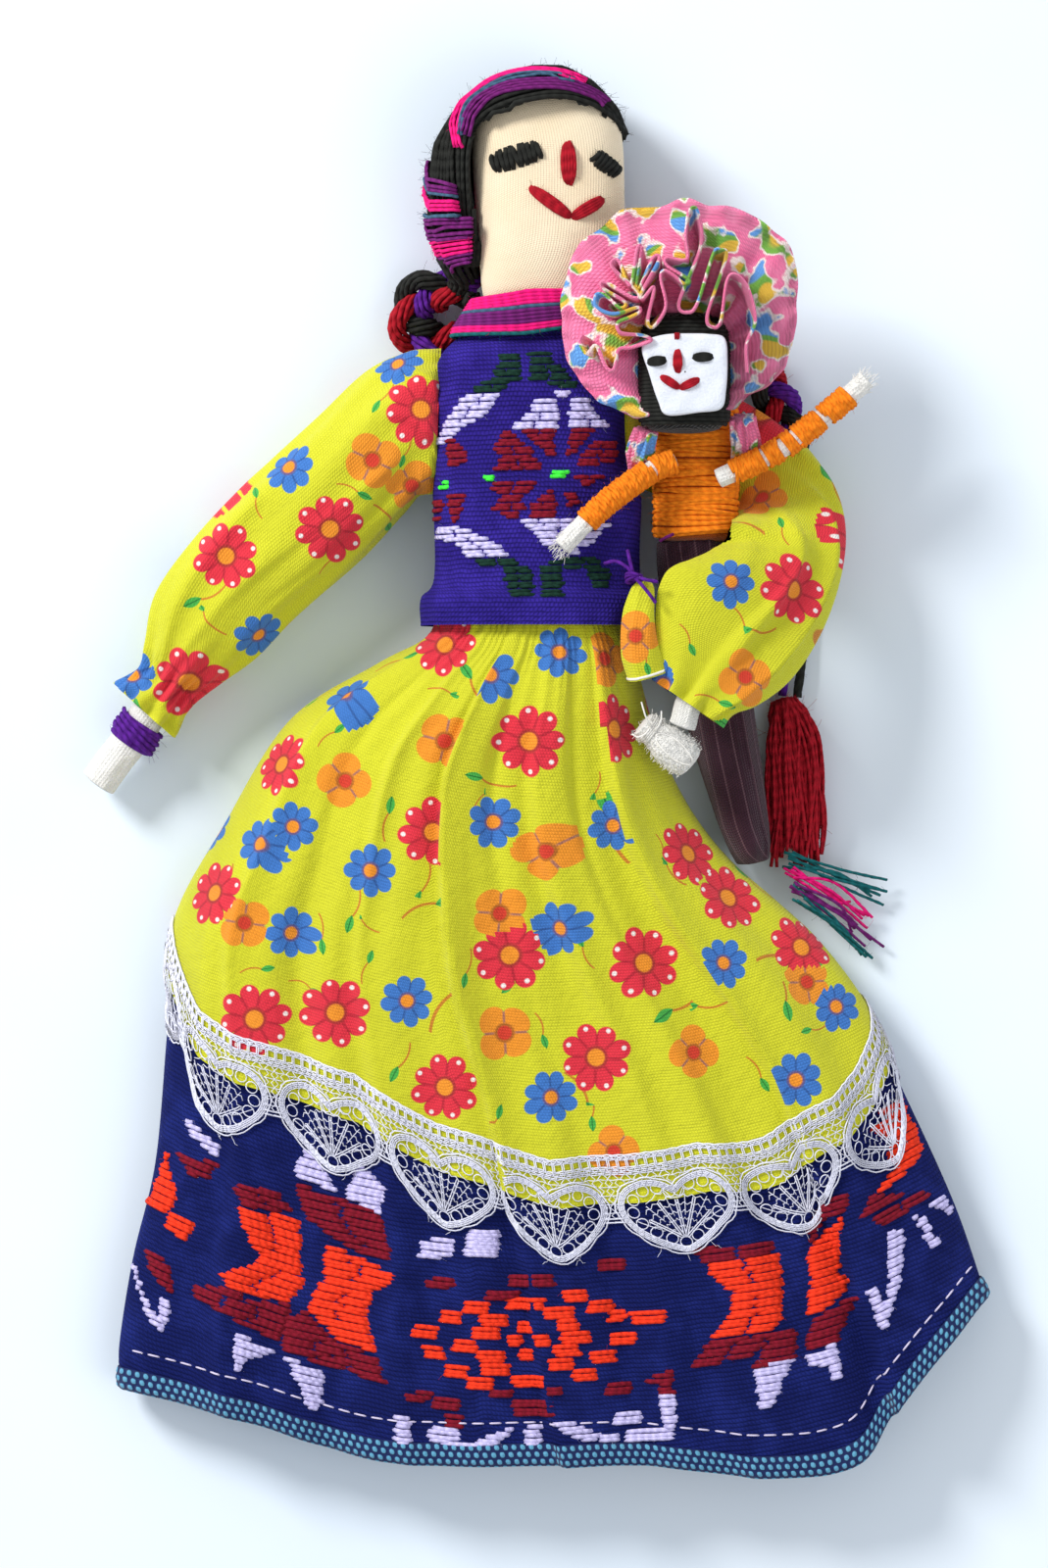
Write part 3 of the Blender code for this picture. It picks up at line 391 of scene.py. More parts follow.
def plain_cloth(name, colour, pitch, distance):
    """Woven cloth in one colour, with a little unevenness and painted shade in the hollows of its weave.
    """
    n = Nodes(name, roughness=0.88, sheen=0.2)
    u, v = n.uv("weave")
    height = weave_height(n, u, v, pitch)
    place = n.place()
    uneven = n.scaled(n.noise(place, 0.25, 3.0), 0.24, 0.88)
    # Painted shade in the weave's hollows, times the cloth's own uneven tone.
    n.colour(n.shaded(colour, n.times(n.scaled(height, 0.3, 0.7), uneven)))
    n.bump(n.plus(height, n.times(n.noise(place, 1.6, 3.0, 0.7), 0.6)), distance)
    return n.material


RED, BLUE, ORANGE = 1.0, 2.0, 3.0
YELLOW = srgb(214, 214, 40)


def floral(name, ground):
    """Yellow voile with small flowers. Each corner knows its place in the nearest flower."""
    n = Nodes(name, roughness=0.8, sheen=0.12)
    x, y = n.uv("flower")
    kind, seed = n.uv("kind")
    red, orange = n.math("LESS_THAN", kind, 1.5), n.math("GREATER_THAN", kind, 2.5)
    r = n.math("SQRT", n.scaled(x, x, n.times(y, y)))
    theta = n.math("ARCTAN2", y, x)
    # Eight petals, or four on an orange flower. part is the angle from the middle of the petal.
    petals = n.minus(8.0, n.times(orange, 4.0))
    half = n.over(math.pi, petals)
    part = n.minus(n.math("FLOORED_MODULO", n.plus(theta, half), n.times(half, 2.0)), half)
    lobe = n.math("POWER", n.size(n.cosine(n.times(n.times(theta, petals), 0.5))), 0.55)
    wobble = n.times(n.sine(n.scaled(theta, 3.0, seed)), 0.035)
    edge = n.plus(n.scaled(lobe, 0.3, 0.66), wobble)
    inside = n.between(n.minus(edge, r), 0.0, 0.05)
    petal = n.mix(red, srgb(62, 120, 198), srgb(228, 48, 66))
    petal = n.mix(orange, petal, srgb(242, 150, 38))
    # A darker crease between neighbouring petals, a dark rim round the middle, and pale dots
    crease = n.times(r, n.sine(n.minus(half, n.size(part))))
    line = n.times(n.below(crease, 0.015, 0.06), n.between(r, 0.25, 0.4))
    petal = n.mix(n.times(line, 0.55), petal, n.mix(red, srgb(30, 60, 120), srgb(150, 20, 40)))
    petal = n.mix(n.times(n.below(r, 0.27, 0.36), 0.6), petal, srgb(120, 50, 30))
    middle = n.mix(orange, srgb(245, 150, 40), srgb(214, 60, 40))
    petal = n.mix(n.below(r, 0.2, 0.26), petal, middle)
    along, aside = n.times(r, n.cosine(part)), n.times(r, n.sine(part))
    dot = n.plus(n.math("POWER", n.minus(along, 0.8), 2.0), n.math("POWER", aside, 2.0))
    dot = n.times(n.below(n.math("SQRT", dot), 0.045, 0.08), red)
    petal = n.mix(dot, petal, srgb(250, 240, 235))
    # Sprigs: a curved stem from (-1, 0) to (0.25, 0) and a leaf from there to (1, 0)
    sx, sy = n.uv("sprig")
    stem_there, _ = n.uv("stem")
    bend = n.times(n.times(n.plus(sx, 1.0), n.minus(0.3, sx)), 0.4)
    stem = n.below(n.size(n.minus(sy, bend)), 0.03, 0.06)
    stem = n.times(stem, n.math("LESS_THAN", sx, 0.3))
    stem = n.times(stem, n.math("GREATER_THAN", sx, -1.0))
    stem = n.times(stem, stem_there)
    leaf_x = n.over(n.minus(sx, 0.6), 0.42)
    width = n.times(n.minus(1.0, n.times(leaf_x, leaf_x)), 0.2)
    leaf = n.between(n.minus(width, n.size(sy)), 0.0, 0.03)
    green = n.mix(n.below(n.size(sy), 0.012, 0.035), srgb(72, 178, 74), srgb(34, 120, 50))
    place = n.place()
    base = n.mix(n.noise(place, 0.06, 2.0), darker(ground, 0.93), lighter(ground, 1.05))
    base = n.mix(stem, base, srgb(205, 130, 40))
    base = n.mix(leaf, base, green)
    base = n.mix(inside, base, petal)
    # The voile's fine weave, with an uneven thread here and there, painted shade in the hollows between
    # its threads, and soft wrinkles
    u, v = n.uv("weave")
    height = weave_height(n, u, v, 0.62)
    slub = n.noise(n.vector(n.times(u, 0.35), n.times(v, 3.0)), 1.0, 2.0)
    shade = n.times(n.scaled(height, 0.2, 0.84), n.scaled(slub, 0.12, 0.94))
    n.colour(n.shaded(base, shade))
    wrinkle = n.times(n.noise(place, 0.35, 3.0, 0.6), 3.0)
    n.bump(n.plus(n.times(height, 0.7), wrinkle), 0.00016)
    return n.material


def wool_ground(name, colour, light, twill, depth, rib=0.95):
    """Handwoven wool: rows of weft, each thread a little different, with painted shade in the gap between
    them.
    """
    n = Nodes(name, roughness=0.95, sheen=0.12, sheen_tint=light, specular=0.12)
    u, v = n.uv("weave")
    place = n.place()
    row = n.over(n.plus(v, n.times(n.noise(place, 0.5, 2.0), 0.5)), rib)
    across = n.plus(n.over(u, rib * 0.9), n.times(row, twill))
    step = n.times(n.math("FLOOR", row), 0.5)
    beside = n.wave(n.plus(across, step), math.pi)
    height = n.times(n.math("POWER", n.wave(row, math.pi), 0.6), n.scaled(beside, 0.6, 0.4))
    speck = n.noise(place, 3.0, 3.0, 0.7)
    patch = n.noise(place, 0.12, 3.0, 0.6)
    # Painted shade in the gaps between the threads, times the wool's own specks.
    shade = n.times(n.scaled(height, depth, 1 - depth), n.scaled(speck, 0.8, 0.6))
    n.colour(n.shaded(n.mix(n.times(n.between(patch, 0.4, 0.7), 0.5), colour, light), shade))
    n.bump(n.plus(height, n.times(speck, 0.5)), 0.0003)
    return n.material


# The skirts' shape, the same as the solids', with the cloth's folds on it

GAP, WOOL, CLOTH = 0.35, 1.0, 0.8
SKIRT_TOP_Y, SKIRT_LENGTH, SIDE_HEIGHT = 3.0, 168.0, 5.5
SKIRT_RISE, HEM_RISE, FLATTENED = 27.0, 15.0, 1.5
WAIST_HALF, WAIST_LOW, WAIST_HIGH = 16.4, 5.3, 23.35
LEFT_EDGE = [(-16.75, 3), (-16.8, 0.6), (-17.8, -2.2), (-21, -5.4), (-30, -10), (-47, -21),
             (-60, -42), (-70, -61), (-72.5, -82), (-75, -110), (-79.6, -130), (-82.4, -148),
             (-82, -155)]
RIGHT_EDGE = [(16.75, 3), (16.8, 0), (18.8, -6), (22.4, -20), (26.8, -32), (32.5, -42),
              (39.5, -50.5), (48.5, -58.5), (57.5, -67), (67, -80), (76, -98), (85.4, -119),
              (91.6, -137)]
HEM = [(-82, -155), (-58, -161), (-28, -169.6), (20, -170), (48, -172.6), (66, -170),
       (75, -157), (91.6, -137)]


def rounded_chain(points, count=240):
    chain = smooth_path(points, count)
    run = run_along(chain)
    return run / run[-1], chain


CHAINS = {k: rounded_chain(v) for k, v in
          (("left", LEFT_EDGE), ("right", RIGHT_EDGE), ("hem", HEM))}


def along(name, t):
    run, chain = CHAINS[name]
    return np.stack([np.interp(t, run, chain[:, 0]), np.interp(t, run, chain[:, 1])], -1)


def eased(t):
    t = np.clip(t, 0, 1)
    return t * t * (3 - 2 * t)


def powered(value, power):
    return np.sign(value) * np.abs(value) ** power


def skirt_base(angle, down):
    cosine, sine = np.cos(angle), np.sin(angle)
    sine = np.where(np.abs(sine) < 1e-9, 0.0, sine)
    s = ((1 + powered(cosine, 0.92)) / 2)[..., None]
    d = down[..., None]
    half = WAIST_HALF + GAP
    a, b = np.array((-half, SKIRT_TOP_Y)), np.array((half, SKIRT_TOP_Y))
    h0, h1 = np.array(HEM[0], float), np.array(HEM[-1], float)
    waist = a + (b - a) * s
    corners = (1 - s) * (1 - d) * a + s * (1 - d) * b + (1 - s) * d * h0 + s * d * h1
    plan = ((1 - d) * waist + d * along("hem", s[..., 0]) + (1 - s) * along("left", down)
            + s * along("right", down) - corners)
    y = SKIRT_TOP_Y + (plan[..., 1] - SKIRT_TOP_Y) * SKIRT_LENGTH / 170.0
    low, high = WAIST_LOW - GAP, WAIST_HIGH + GAP
    middle = (low - FLATTENED + high) / 2
    top = np.maximum(low, middle + (high - middle) * powered(sine, 2 / 2.4))
    spread = eased(down / 0.14)
    floor = WOOL + CLOTH + 0.7 + 6 * GAP
    floor = floor + (1.5 - floor) * eased((down - 0.70) / 0.12)
    front = SKIRT_RISE + (HEM_RISE - SKIRT_RISE) * np.maximum(0.0, down - 0.12) / 0.88
    upper = SIDE_HEIGHT + (front - SIDE_HEIGHT) * np.abs(sine) ** 0.72
    lower = SIDE_HEIGHT - (SIDE_HEIGHT - floor) * np.abs(sine) ** 0.4
    z = top + (np.where(sine >= 0, upper, lower) - top) * spread
    return np.stack([plan[..., 0], y, z], -1)


def skirt_normal(angle, down):
    e = 0.012
    around = skirt_base(angle + e, down) - skirt_base(angle - e, down)
    d0, d1 = np.maximum(down - e, 0), np.minimum(down + e, 1.0)
    downward = skirt_base(angle, d1) - skirt_base(angle, d0)
    normal = unit(np.cross(around, downward))
    flip = (normal[..., 2] * np.where(np.sin(angle) >= 0, 1, -1) < 0) & (np.abs(np.sin(angle)) > 0.2)
    return np.where(flip[..., None], -normal, normal)


# Pleats on the front: across at the waist and at the hem, height, tail width
PLEATS = [(0.395, 0.478, 3.3, 0.06), (0.80, 0.84, 3.6, 0.065), (0.16, 0.24, -2.2, 0.08),
          (0.60, 0.66, 2.1, 0.06), (0.27, 0.33, 2.2, 0.05), (0.50, 0.555, -1.7, 0.05),
          (0.07, 0.12, 1.7, 0.04), (0.70, 0.75, -1.5, 0.05)]


def pleat_line(k, down):
    top, hem, _, _ = PLEATS[k]
    return top + (hem - top) * down


def folds(angle, down):
    """How far the folds lift the cloth, in millimetres."""
    across, front = (1 + np.cos(angle)) / 2, np.sin(angle) > 0
    total = np.zeros_like(across * down)
    for k, (_, _, height, width) in enumerate(PLEATS):
        off = (across - pleat_line(k, down)) / width
        steep = 14.0 if height > 3 else 3.0
        total += height * np.where(off >= 0, np.exp(-off * 0.8), np.exp(-((off * steep) ** 2)))
    total = total * np.minimum(1, down / 0.2)
    wide = 0.75 * np.sin(TURN * (across * 6.3 - down * 0.5))
    wide += 0.5 * np.sin(TURN * (across * 10.7 + down * 0.9) + 1)
    wide *= np.minimum(1.0, down * 2.2)
    gather = 0.38 * np.sin(across * 150 + 2.5 * np.sin(across * 37))
    gather *= np.exp(-down / 0.055)
    return np.where(front, total + wide + gather, 0.4 * wide + gather) * np.minimum(1, down / 0.02)


def skirt(angle, down, lift):
    """Points of one layer of skirt, lift millimetres out from the inmost surface."""
    angle, down = np.broadcast_arrays(angle, down)
    fade = np.abs(np.sin(angle)) ** 0.5
    out = lift + folds(angle, down) * np.where(np.sin(angle) > 0, 1.12, 0.35) * fade
    return skirt_base(angle, down) + skirt_normal(angle, down) * out[..., None]


# Where the overskirt's cloth ends: degrees round from the doll's left, and share of the way down
CLOTH_ENDS = [(0, 0.65), (14, 0.69), (27, 0.7135), (38, 0.7195), (54, 0.7), (68.5, 0.695), (80, 0.7165),
              (90, 0.7275), (99, 0.7), (104.5, 0.6895), (112, 0.6615), (117, 0.6455), (127, 0.6405),
              (142, 0.6375), (154, 0.6185), (162, 0.5845), (172, 0.545), (180, 0.525)]


def hem_share(angle):
    degrees = np.degrees(np.mod(angle, TURN))
    front = np.interp(degrees, *np.transpose(CLOTH_ENDS))
    side = np.where(np.cos(angle) < 0, 0.525, 0.65)
    back = side + (0.60 - side) * np.abs(np.sin(angle)) ** 0.7
    return np.where(np.sin(angle) > 0, front, back)


def round_angles(front, back):
    """Angles once round from the left side, closer together over the front."""
    return np.concatenate([np.linspace(0, math.pi, front, endpoint=False),
                           np.linspace(math.pi, TURN, back, endpoint=False)])


def run_lengths(grid):
    """For each grid point, how far round and how far down the cloth it is, in millimetres."""
    step = np.linalg.norm(np.diff(grid, axis=1, append=grid[:, :1]), axis=2)
    u = np.concatenate([np.zeros((len(grid), 1)), np.cumsum(step, axis=1)], axis=1)
    drop = np.linalg.norm(np.diff(grid, axis=0), axis=2)
    v = np.vstack([np.zeros(grid.shape[1]), np.cumsum(drop, axis=0)])
    return u, np.concatenate([v, v[:, :1]], axis=1)


# The print: flowers and sprigs are laid on a cloth, each known to the faces that it covers

def print_layers(points, faces, flowers, sprigs, regions=None, region_of=None):
    """Corner values for the floral cloth. flowers: (point, normal, radius, kind, turn);
    sprigs: (point, normal, half length, turn, with stem)."""
    points = np.asarray(points).reshape(-1, 3)
    corners = points[faces]
    middle = corners.mean(axis=1)
    count = len(faces)
    layers = {"flower": np.full((count, 4, 2), 9.0), "kind": np.ones((count, 4, 2)),
              "sprig": np.full((count, 4, 2), 9.0), "stem": np.zeros((count, 4, 2))}
    best = {"flower": np.full(count, 1.35), "sprig": np.full(count, 1.35)}

    def lay(layer, centre, normal, size, turn):
        first = np.array((math.cos(turn), math.sin(turn), 0.0))
        first = unit(first - normal * first.dot(normal))
        second = np.cross(normal, first)
        far = np.linalg.norm(middle - centre, axis=1) / size
        mine = far < best[layer]
        if regions is not None:
            mine &= regions == region_of(centre)
        best[layer][mine] = far[mine]
        off = corners[mine] - centre
        layers[layer][mine] = np.stack([off @ first, off @ second], -1) / size
        return mine

    for centre, normal, size, kind, turn in flowers:
        mine = lay("flower", centre, normal, size, turn)
        layers["kind"][mine] = (kind, turn * 5.0)
    for centre, normal, size, turn, stem in sprigs:
        mine = lay("sprig", centre, normal, size, turn)
        layers["stem"][mine] = (float(stem), 0.0)
    return {k: v.reshape(-1, 2) for k, v in layers.items()}


def scatter(points, normals, keep, spacing, taken, tries=500):
    """Places for more of the print where the photograph shows none."""
    out = []
    for i in rng.permutation(np.flatnonzero(keep))[:tries]:
        if all(np.linalg.norm(points[i] - t) > spacing for t in taken):
            taken.append(points[i])
            out.append((points[i], normals[i]))
    return out


def grid_normals(grid):
    around = np.roll(grid, -1, axis=1) - np.roll(grid, 1, axis=1)
    return unit(np.cross(around, np.gradient(grid, axis=0)))


# Flowers: place in the picture, and kind
OVERSKIRT_FLOWERS = [
    (455, 660, RED), (540, 757, RED), (443, 848, RED), (222, 910, RED), (263, 1037, RED),
    (345, 1030, RED), (455, 1105, RED), (655, 980, RED), (607, 1075, RED), (700, 870, RED),
    (690, 760, RED), (740, 915, RED), (815, 965, RED), (290, 780, RED), (520, 972, RED),
    (626, 745, RED),
    (570, 668, BLUE), (500, 690, BLUE), (380, 887, BLUE), (300, 950, BLUE), (302, 843, BLUE),
    (268, 860, BLUE), (417, 1018, BLUE), (624, 842, BLUE), (571, 945, BLUE), (503, 838, BLUE),
    (735, 980, BLUE), (808, 1098, BLUE), (562, 1115, BLUE), (850, 1025, BLUE), (400, 650, BLUE),
    (455, 757, ORANGE), (355, 797, ORANGE), (253, 940, ORANGE), (555, 868, ORANGE),
    (510, 930, ORANGE), (705, 1070, ORANGE), (515, 1050, ORANGE), (616, 674, ORANGE),
    (820, 1000, ORANGE), (625, 1170, ORANGE),
]
# Sprigs: from the stem's foot to the leaf's tip in the picture
OVERSKIRT_SPRIGS = [
    (500, 722, 470, 676), (443, 705, 470, 712), (520, 800, 474, 790), (482, 828, 504, 800),
    (395, 858, 402, 812), (412, 935, 468, 912), (440, 880, 425, 925), (388, 948, 362, 928),
    (370, 905, 356, 950), (326, 930, 334, 972), (372, 1000, 382, 968), (482, 965, 472, 1005),
    (440, 1050, 482, 985), (500, 1160, 514, 1122), (610, 790, 602, 820), (640, 880, 610, 800),
    (668, 850, 678, 885), (606, 985, 586, 950), (700, 900, 664, 870), (716, 1006, 662, 1040),
    (740, 1018, 690, 1026), (600, 1110, 604, 1150), (575, 1090, 612, 1140), (758, 1075, 782, 1110),
    (762, 985, 842, 975), (842, 1040, 812, 1052), (280, 870, 322, 842), (240, 880, 222, 928),
    (300, 1000, 332, 1010), (330, 760, 352, 742), (420, 1060, 400, 1100), (545, 1030, 558, 1066),
    (660, 700, 652, 742), (540, 985, 512, 1010), (792, 985, 800, 1040), (250, 990, 282, 985),
]


FLOWER_SIZES = {RED: 7.5, BLUE: 5.7, ORANGE: 6.0}


def from_picture(surface, flowers, sprigs):
    """The print's flowers and sprigs, laid where the picture has them."""
    out = []
    for k, (px, py, kind) in enumerate(flowers):
        x, y = at(px, py)
        spot = surface.hit(x, y)
        if spot is not None:
            size = FLOWER_SIZES[kind] * (0.94 + 0.12 * ((k * 37) % 10) / 10)
            out.append((spot[0], spot[1], size, kind, k * 2.4))
    stems = []
    for ax, ay, bx, by in sprigs:
        (x0, y0), (x1, y1) = at(ax, ay), at(bx, by)
        spot = surface.hit((x0 + x1) / 2, (y0 + y1) / 2)
        if spot is not None:
            half = math.hypot(x1 - x0, y1 - y0) / 2
            stems.append((spot[0], spot[1], max(half, 3.6), math.atan2(y1 - y0, x1 - x0), 1.0))
    return out, stems


def fill_print(points, normals, keep, flowers, sprigs):
    """More of the same print on the sides and the back."""
    taken = [f[0] for f in flowers]
    for k, (point, normal) in enumerate(scatter(points, normals, keep, 16.5, taken)):
        kind = (RED, BLUE, ORANGE, BLUE, RED)[k % 5]
        flowers.append((point, normal, FLOWER_SIZES[kind], kind, rng.uniform(0, 6.3)))
    taken = [f[0] for f in flowers] + [s[0] for s in sprigs]
    for point, normal in scatter(points, normals, keep, 9.4, taken):
        sprigs.append((point, normal, rng.uniform(4.2, 6.0), rng.uniform(0, 6.3), 1.0))


def printed_cloth(name, grid, node, picture, regions=None, region_of=None):
    """A yellow cloth with the print on it, from a grid of points."""
    rows, columns = grid.shape[:2]
    faces = grid_faces(rows, columns, True)
    probe = make(name + "_probe", grid, faces, FLORAL)
    flowers, sprigs = from_picture(Surface(probe), *picture)
    bpy.data.objects.remove(probe)
    flat, normals = grid.reshape(-1, 3), grid_normals(grid).reshape(-1, 3)
    # The normals point outwards if the highest point's one points up.
    if normals[flat[:, 2].argmax(), 2] < 0:
        normals = -normals
    seen = normals[:, 2] > 0.25
    fill_print(flat, normals, ~seen, flowers, sprigs)
    uvs = print_layers(grid, faces, flowers, sprigs, regions, region_of)
    uvs["weave"] = grid_uv(*run_lengths(grid), rows, columns, True)
    return make(name, grid, faces, FLORAL, (node,), uvs)


def plain_grid(name, grid, material, replaces=()):
    """A piece from rings of points, with its cloth's own lengths as its map."""
    rows, columns = grid.shape[:2]
    return make(name, grid, grid_faces(rows, columns, True), material, replaces,
                {"weave": grid_uv(*run_lengths(grid), rows, columns, True)})


FLORAL = floral("yellow_floral_cloth", YELLOW)
NAVY, NAVY_LIGHT = srgb(20, 30, 96), srgb(38, 52, 140)


def make_skirts():
    angles = round_angles(220, 60)
    material = wool_ground("navy_wool", NAVY, NAVY_LIGHT, twill=0.35, depth=0.45)
    grid = skirt(angles[None, :], np.linspace(0, 1, 96)[:, None], WOOL)
    under = plain_grid("underskirt_wool", grid, material, ("underskirt",))
    shares = np.linspace(0, 1, 108)[:, None] * hem_share(angles)[None, :]
    grid = skirt(angles[None, :], shares, WOOL + 1.76 * GAP + CLOTH)
    # A flower that meets one of the two sharp pleats is cut off there, as the folded cloth shows.
    across = (1 + np.cos(angles))[None, :] / 2 + 0 * shares
    side = (np.where(np.sin(angles) > 0, 1, 0)[None, :]
            * (1 + (across > pleat_line(0, shares)) + (across > pleat_line(1, shares))))
    flat, side_flat = grid.reshape(-1, 3), side.reshape(-1)

    def region_of(point):
        return side_flat[np.linalg.norm(flat - point, axis=1).argmin()]

    over = printed_cloth("overskirt_floral", grid, "overskirt", (OVERSKIRT_FLOWERS, OVERSKIRT_SPRIGS),
                         side[:-1].reshape(-1), region_of)
    return under, over


# Sleeves: the solids' stations, with the cloth's folds on them. A station is x, y, z, half its
# width, half its height, the way the sleeve runs there and its lean, both in degrees.

RIGHT_SLEEVE = [
    (-18.4, 41.4, 12.5, 14.6, 7.6, 178, 0), (-20.0, 41.4, 12.5, 14.8, 9.0, 180, 0),
    (-23.2, 41.0, 12.4, 14.8, 9.6, 187, 0), (-27.6, 38.8, 12.2, 14.0, 10.0, 201, 0),
    (-33.6, 32.8, 11.4, 13.2, 10.0, 217, 0), (-42.0, 24.6, 10.8, 13.6, 10.0, 224, 0),
    (-49.4, 18.0, 10.4, 13.8, 9.6, 225, 0), (-58.2, 9.8, 9.8, 13.2, 9.2, 228, 0),
    (-66.0, 0.4, 8.8, 12.2, 8.0, 236, 0), (-70.6, -7.2, 7.8, 8.8, 6.9, 240, 0),
    (-73.4, -11.6, 7.2, 6.6, 5.9, 234, 0), (-76.4, -15.2, 7.0, 7.6, 6.3, 230, 0),
    (-78.2, -17.2, 7.0, 7.8, 6.4, 228, 0),
]
LEFT_SLEEVE = [
    (18.4, 41.0, 10.0, 12.8, 6.4, 0, 0), (20.2, 41.0, 9.6, 13.0, 7.4, 0, 0),
    (24.6, 40.2, 4.7, 12.8, 4.0, -4, 0), (34.0, 37.0, 4.5, 12.4, 3.8, -16, 0),
    (42.6, 33.0, 5.5, 11.6, 4.1, -34, -8), (48.8, 29.0, 8.4, 10.6, 4.9, -50, -4),
    (53.0, 23.6, 11.8, 10.2, 6.0, -70, 14), (53.6, 15.4, 16.6, 11.2, 6.4, -92, 32),
    (49.0, 6.4, 21.8, 13.4, 5.8, -116, 26), (42.4, -1.4, 25.2, 14.6, 5.6, -130, 12),
    (37.0, -8.0, 26.6, 12.6, 5.4, -132, 4), (33.4, -13.0, 26.8, 9.4, 5.0, -126, 0),
    (31.6, -15.8, 26.6, 8.6, 5.0, -124, 0),
]


def sleeve_grid(stations, rows, columns, lift):
    """Rings down a sleeve. lift(t, a) is how far the cloth stands out, t from 0 to 1."""
    knots = smooth_path(np.array(stations, float), rows)
    a = ring_angles(columns)
    t = np.linspace(0, 1, rows)
    turn, lean = np.radians(knots[:, 5]), np.radians(knots[:, 6])
    level = np.stack([np.sin(turn), -np.cos(turn), 0 * turn], -1)
    rise = np.array((0, 0, 1.0))
    side = level * np.cos(lean)[:, None] + rise * np.sin(lean)[:, None]
    up = rise * np.cos(lean)[:, None] - level * np.sin(lean)[:, None]
    out = lift(t[:, None], a[None, :])
    wide, high = knots[:, 3][:, None] - 0.3 + out, knots[:, 4][:, None] - 0.3 + out
    return (knots[:, None, :3] + side[:, None] * (wide * np.cos(a))[..., None]
            + up[:, None] * (high * np.sin(a))[..., None])


def crease(t, a, t0, a0, t1, a1, depth, width):
    """A fold that runs from one place on a sleeve to another, raised on one side."""
    dt, da = t1 - t0, a1 - a0
    length = math.hypot(dt * 6, da)
    along_it = ((t - t0) * dt * 36 + (a - a0) * da) / length**2
    off = ((t - t0) * 6 * da - (a - a0) * dt * 6) / length
    ends = eased((along_it + 0.12) / 0.2) * eased((1.12 - along_it) / 0.2)
    return depth * ends * np.where(off > 0, np.exp(-off / width), np.exp(-((off / width * 3) ** 2)))


def right_folds(t, a):
    out = 0.45 * np.sin(5 * a + 7 * t) * np.sin(math.pi * t) + 0.3 * np.sin(9 * a - 11 * t)
    # Gathers at the shoulder seam and over the wrist yarn
    out += 0.7 * np.sin(15 * a + 1.2 * np.sin(3 * a)) * np.exp(-((t - 0.83) / 0.07) ** 2)
    out += 0.35 * np.sin(19 * a) * np.exp(-t / 0.05)
    out += 0.8 * np.sin(9 * a + 2 * t) * np.exp(-((1 - t) / 0.08) ** 2)
    out += crease(t, a, 0.02, 1.2, 0.2, 0.75, 1.5, 0.2) + crease(t, a, 0.02, 2.0, 0.24, 1.35, 1.0, 0.2)
    out += crease(t, a, 0.3, 1.9, 0.75, 1.5, 0.9, 0.3) - crease(t, a, 0.2, 2.4, 0.6, 2.2, 0.8, 0.3)
    out += crease(t, a, 0.5, 0.9, 0.82, 1.2, 0.8, 0.2)
    return out


def left_folds(t, a):
    out = 0.35 * np.sin(4 * a + 6 * t) + 0.25 * np.sin(9 * a - 8 * t)
    shown = eased((t - 0.35) / 0.1)
    out += shown * (crease(t, a, 0.42, 1.1, 0.8, 1.7, 1.3, 0.22)
                    + crease(t, a, 0.5, 2.1, 0.95, 2.3, 1.6, 0.2)
                    + crease(t, a, 0.45, 0.6, 0.7, 1.0, 1.0, 0.2)
                    - crease(t, a, 0.6, 1.35, 0.97, 1.5, 1.2, 0.25))
    out += 0.7 * np.sin(11 * a + 2) * np.exp(-((1 - t) / 0.1) ** 2)
    return out * np.minimum(1, 0.3 + shown)


RIGHT_SLEEVE_PRINT = (
    [(407, 376, BLUE), (297, 480, BLUE), (266, 649, BLUE), (138, 690, BLUE), (431, 423, RED),
     (339, 543, RED), (234, 570, RED), (196, 697, RED), (382, 474, ORANGE), (422, 500, ORANGE)],
    [(400, 392, 384, 428), (346, 498, 380, 512), (236, 600, 190, 620), (228, 646, 200, 612),
     (130, 700, 150, 722), (330, 590, 352, 560), (270, 530, 262, 500), (418, 452, 412, 478)],
)
LEFT_SLEEVE_PRINT = (
    [(742, 597, BLUE), (669, 704, BLUE), (805, 605, RED), (718, 534, RED), (714, 755, RED),
     (775, 511, ORANGE), (756, 693, ORANGE), (650, 655, ORANGE)],
    [(742, 622, 762, 655), (790, 640, 745, 648), (706, 712, 744, 722), (690, 560, 668, 575),
     (800, 560, 792, 530), (690, 640, 706, 672)],
)


def make_sleeves():
    rows, right_columns, left_columns = 125, 120, 110
    grid = sleeve_grid(RIGHT_SLEEVE, rows, right_columns, right_folds)
    right = printed_cloth("right_sleeve_floral", grid, "right_sleeve", RIGHT_SLEEVE_PRINT)
    grid = sleeve_grid(LEFT_SLEEVE, rows, left_columns, left_folds)
    # The loose cloth of the sleeve lies over the baby's lap.
    a = ring_angles(left_columns)[None, :]
    t = np.linspace(0, 1, rows)[:, None]
    reach = np.interp(t, (0.36, 0.45, 0.52, 0.6, 0.7, 0.8, 0.88, 0.95), (0, 3, 7, 9.5, 8.5, 6, 2.5, 0))
    share = np.exp(-((np.mod(a - 0.45 + math.pi, TURN) - math.pi) / 0.5) ** 2) * reach
    grid[..., 0] -= share * np.interp(t, (0.4, 0.6, 0.8), (0.75, 0.95, 0.75))
    grid[..., 1] += share * np.interp(t, (0.4, 0.6, 0.8), (-0.5, 0.1, 0.65))
    lap_height = 23.6
    grid[..., 2] += eased(share / 5) * np.maximum(0, lap_height - grid[..., 2])
    return right, printed_cloth("left_sleeve_floral", grid, "left_sleeve", LEFT_SLEEVE_PRINT)


# The blouse

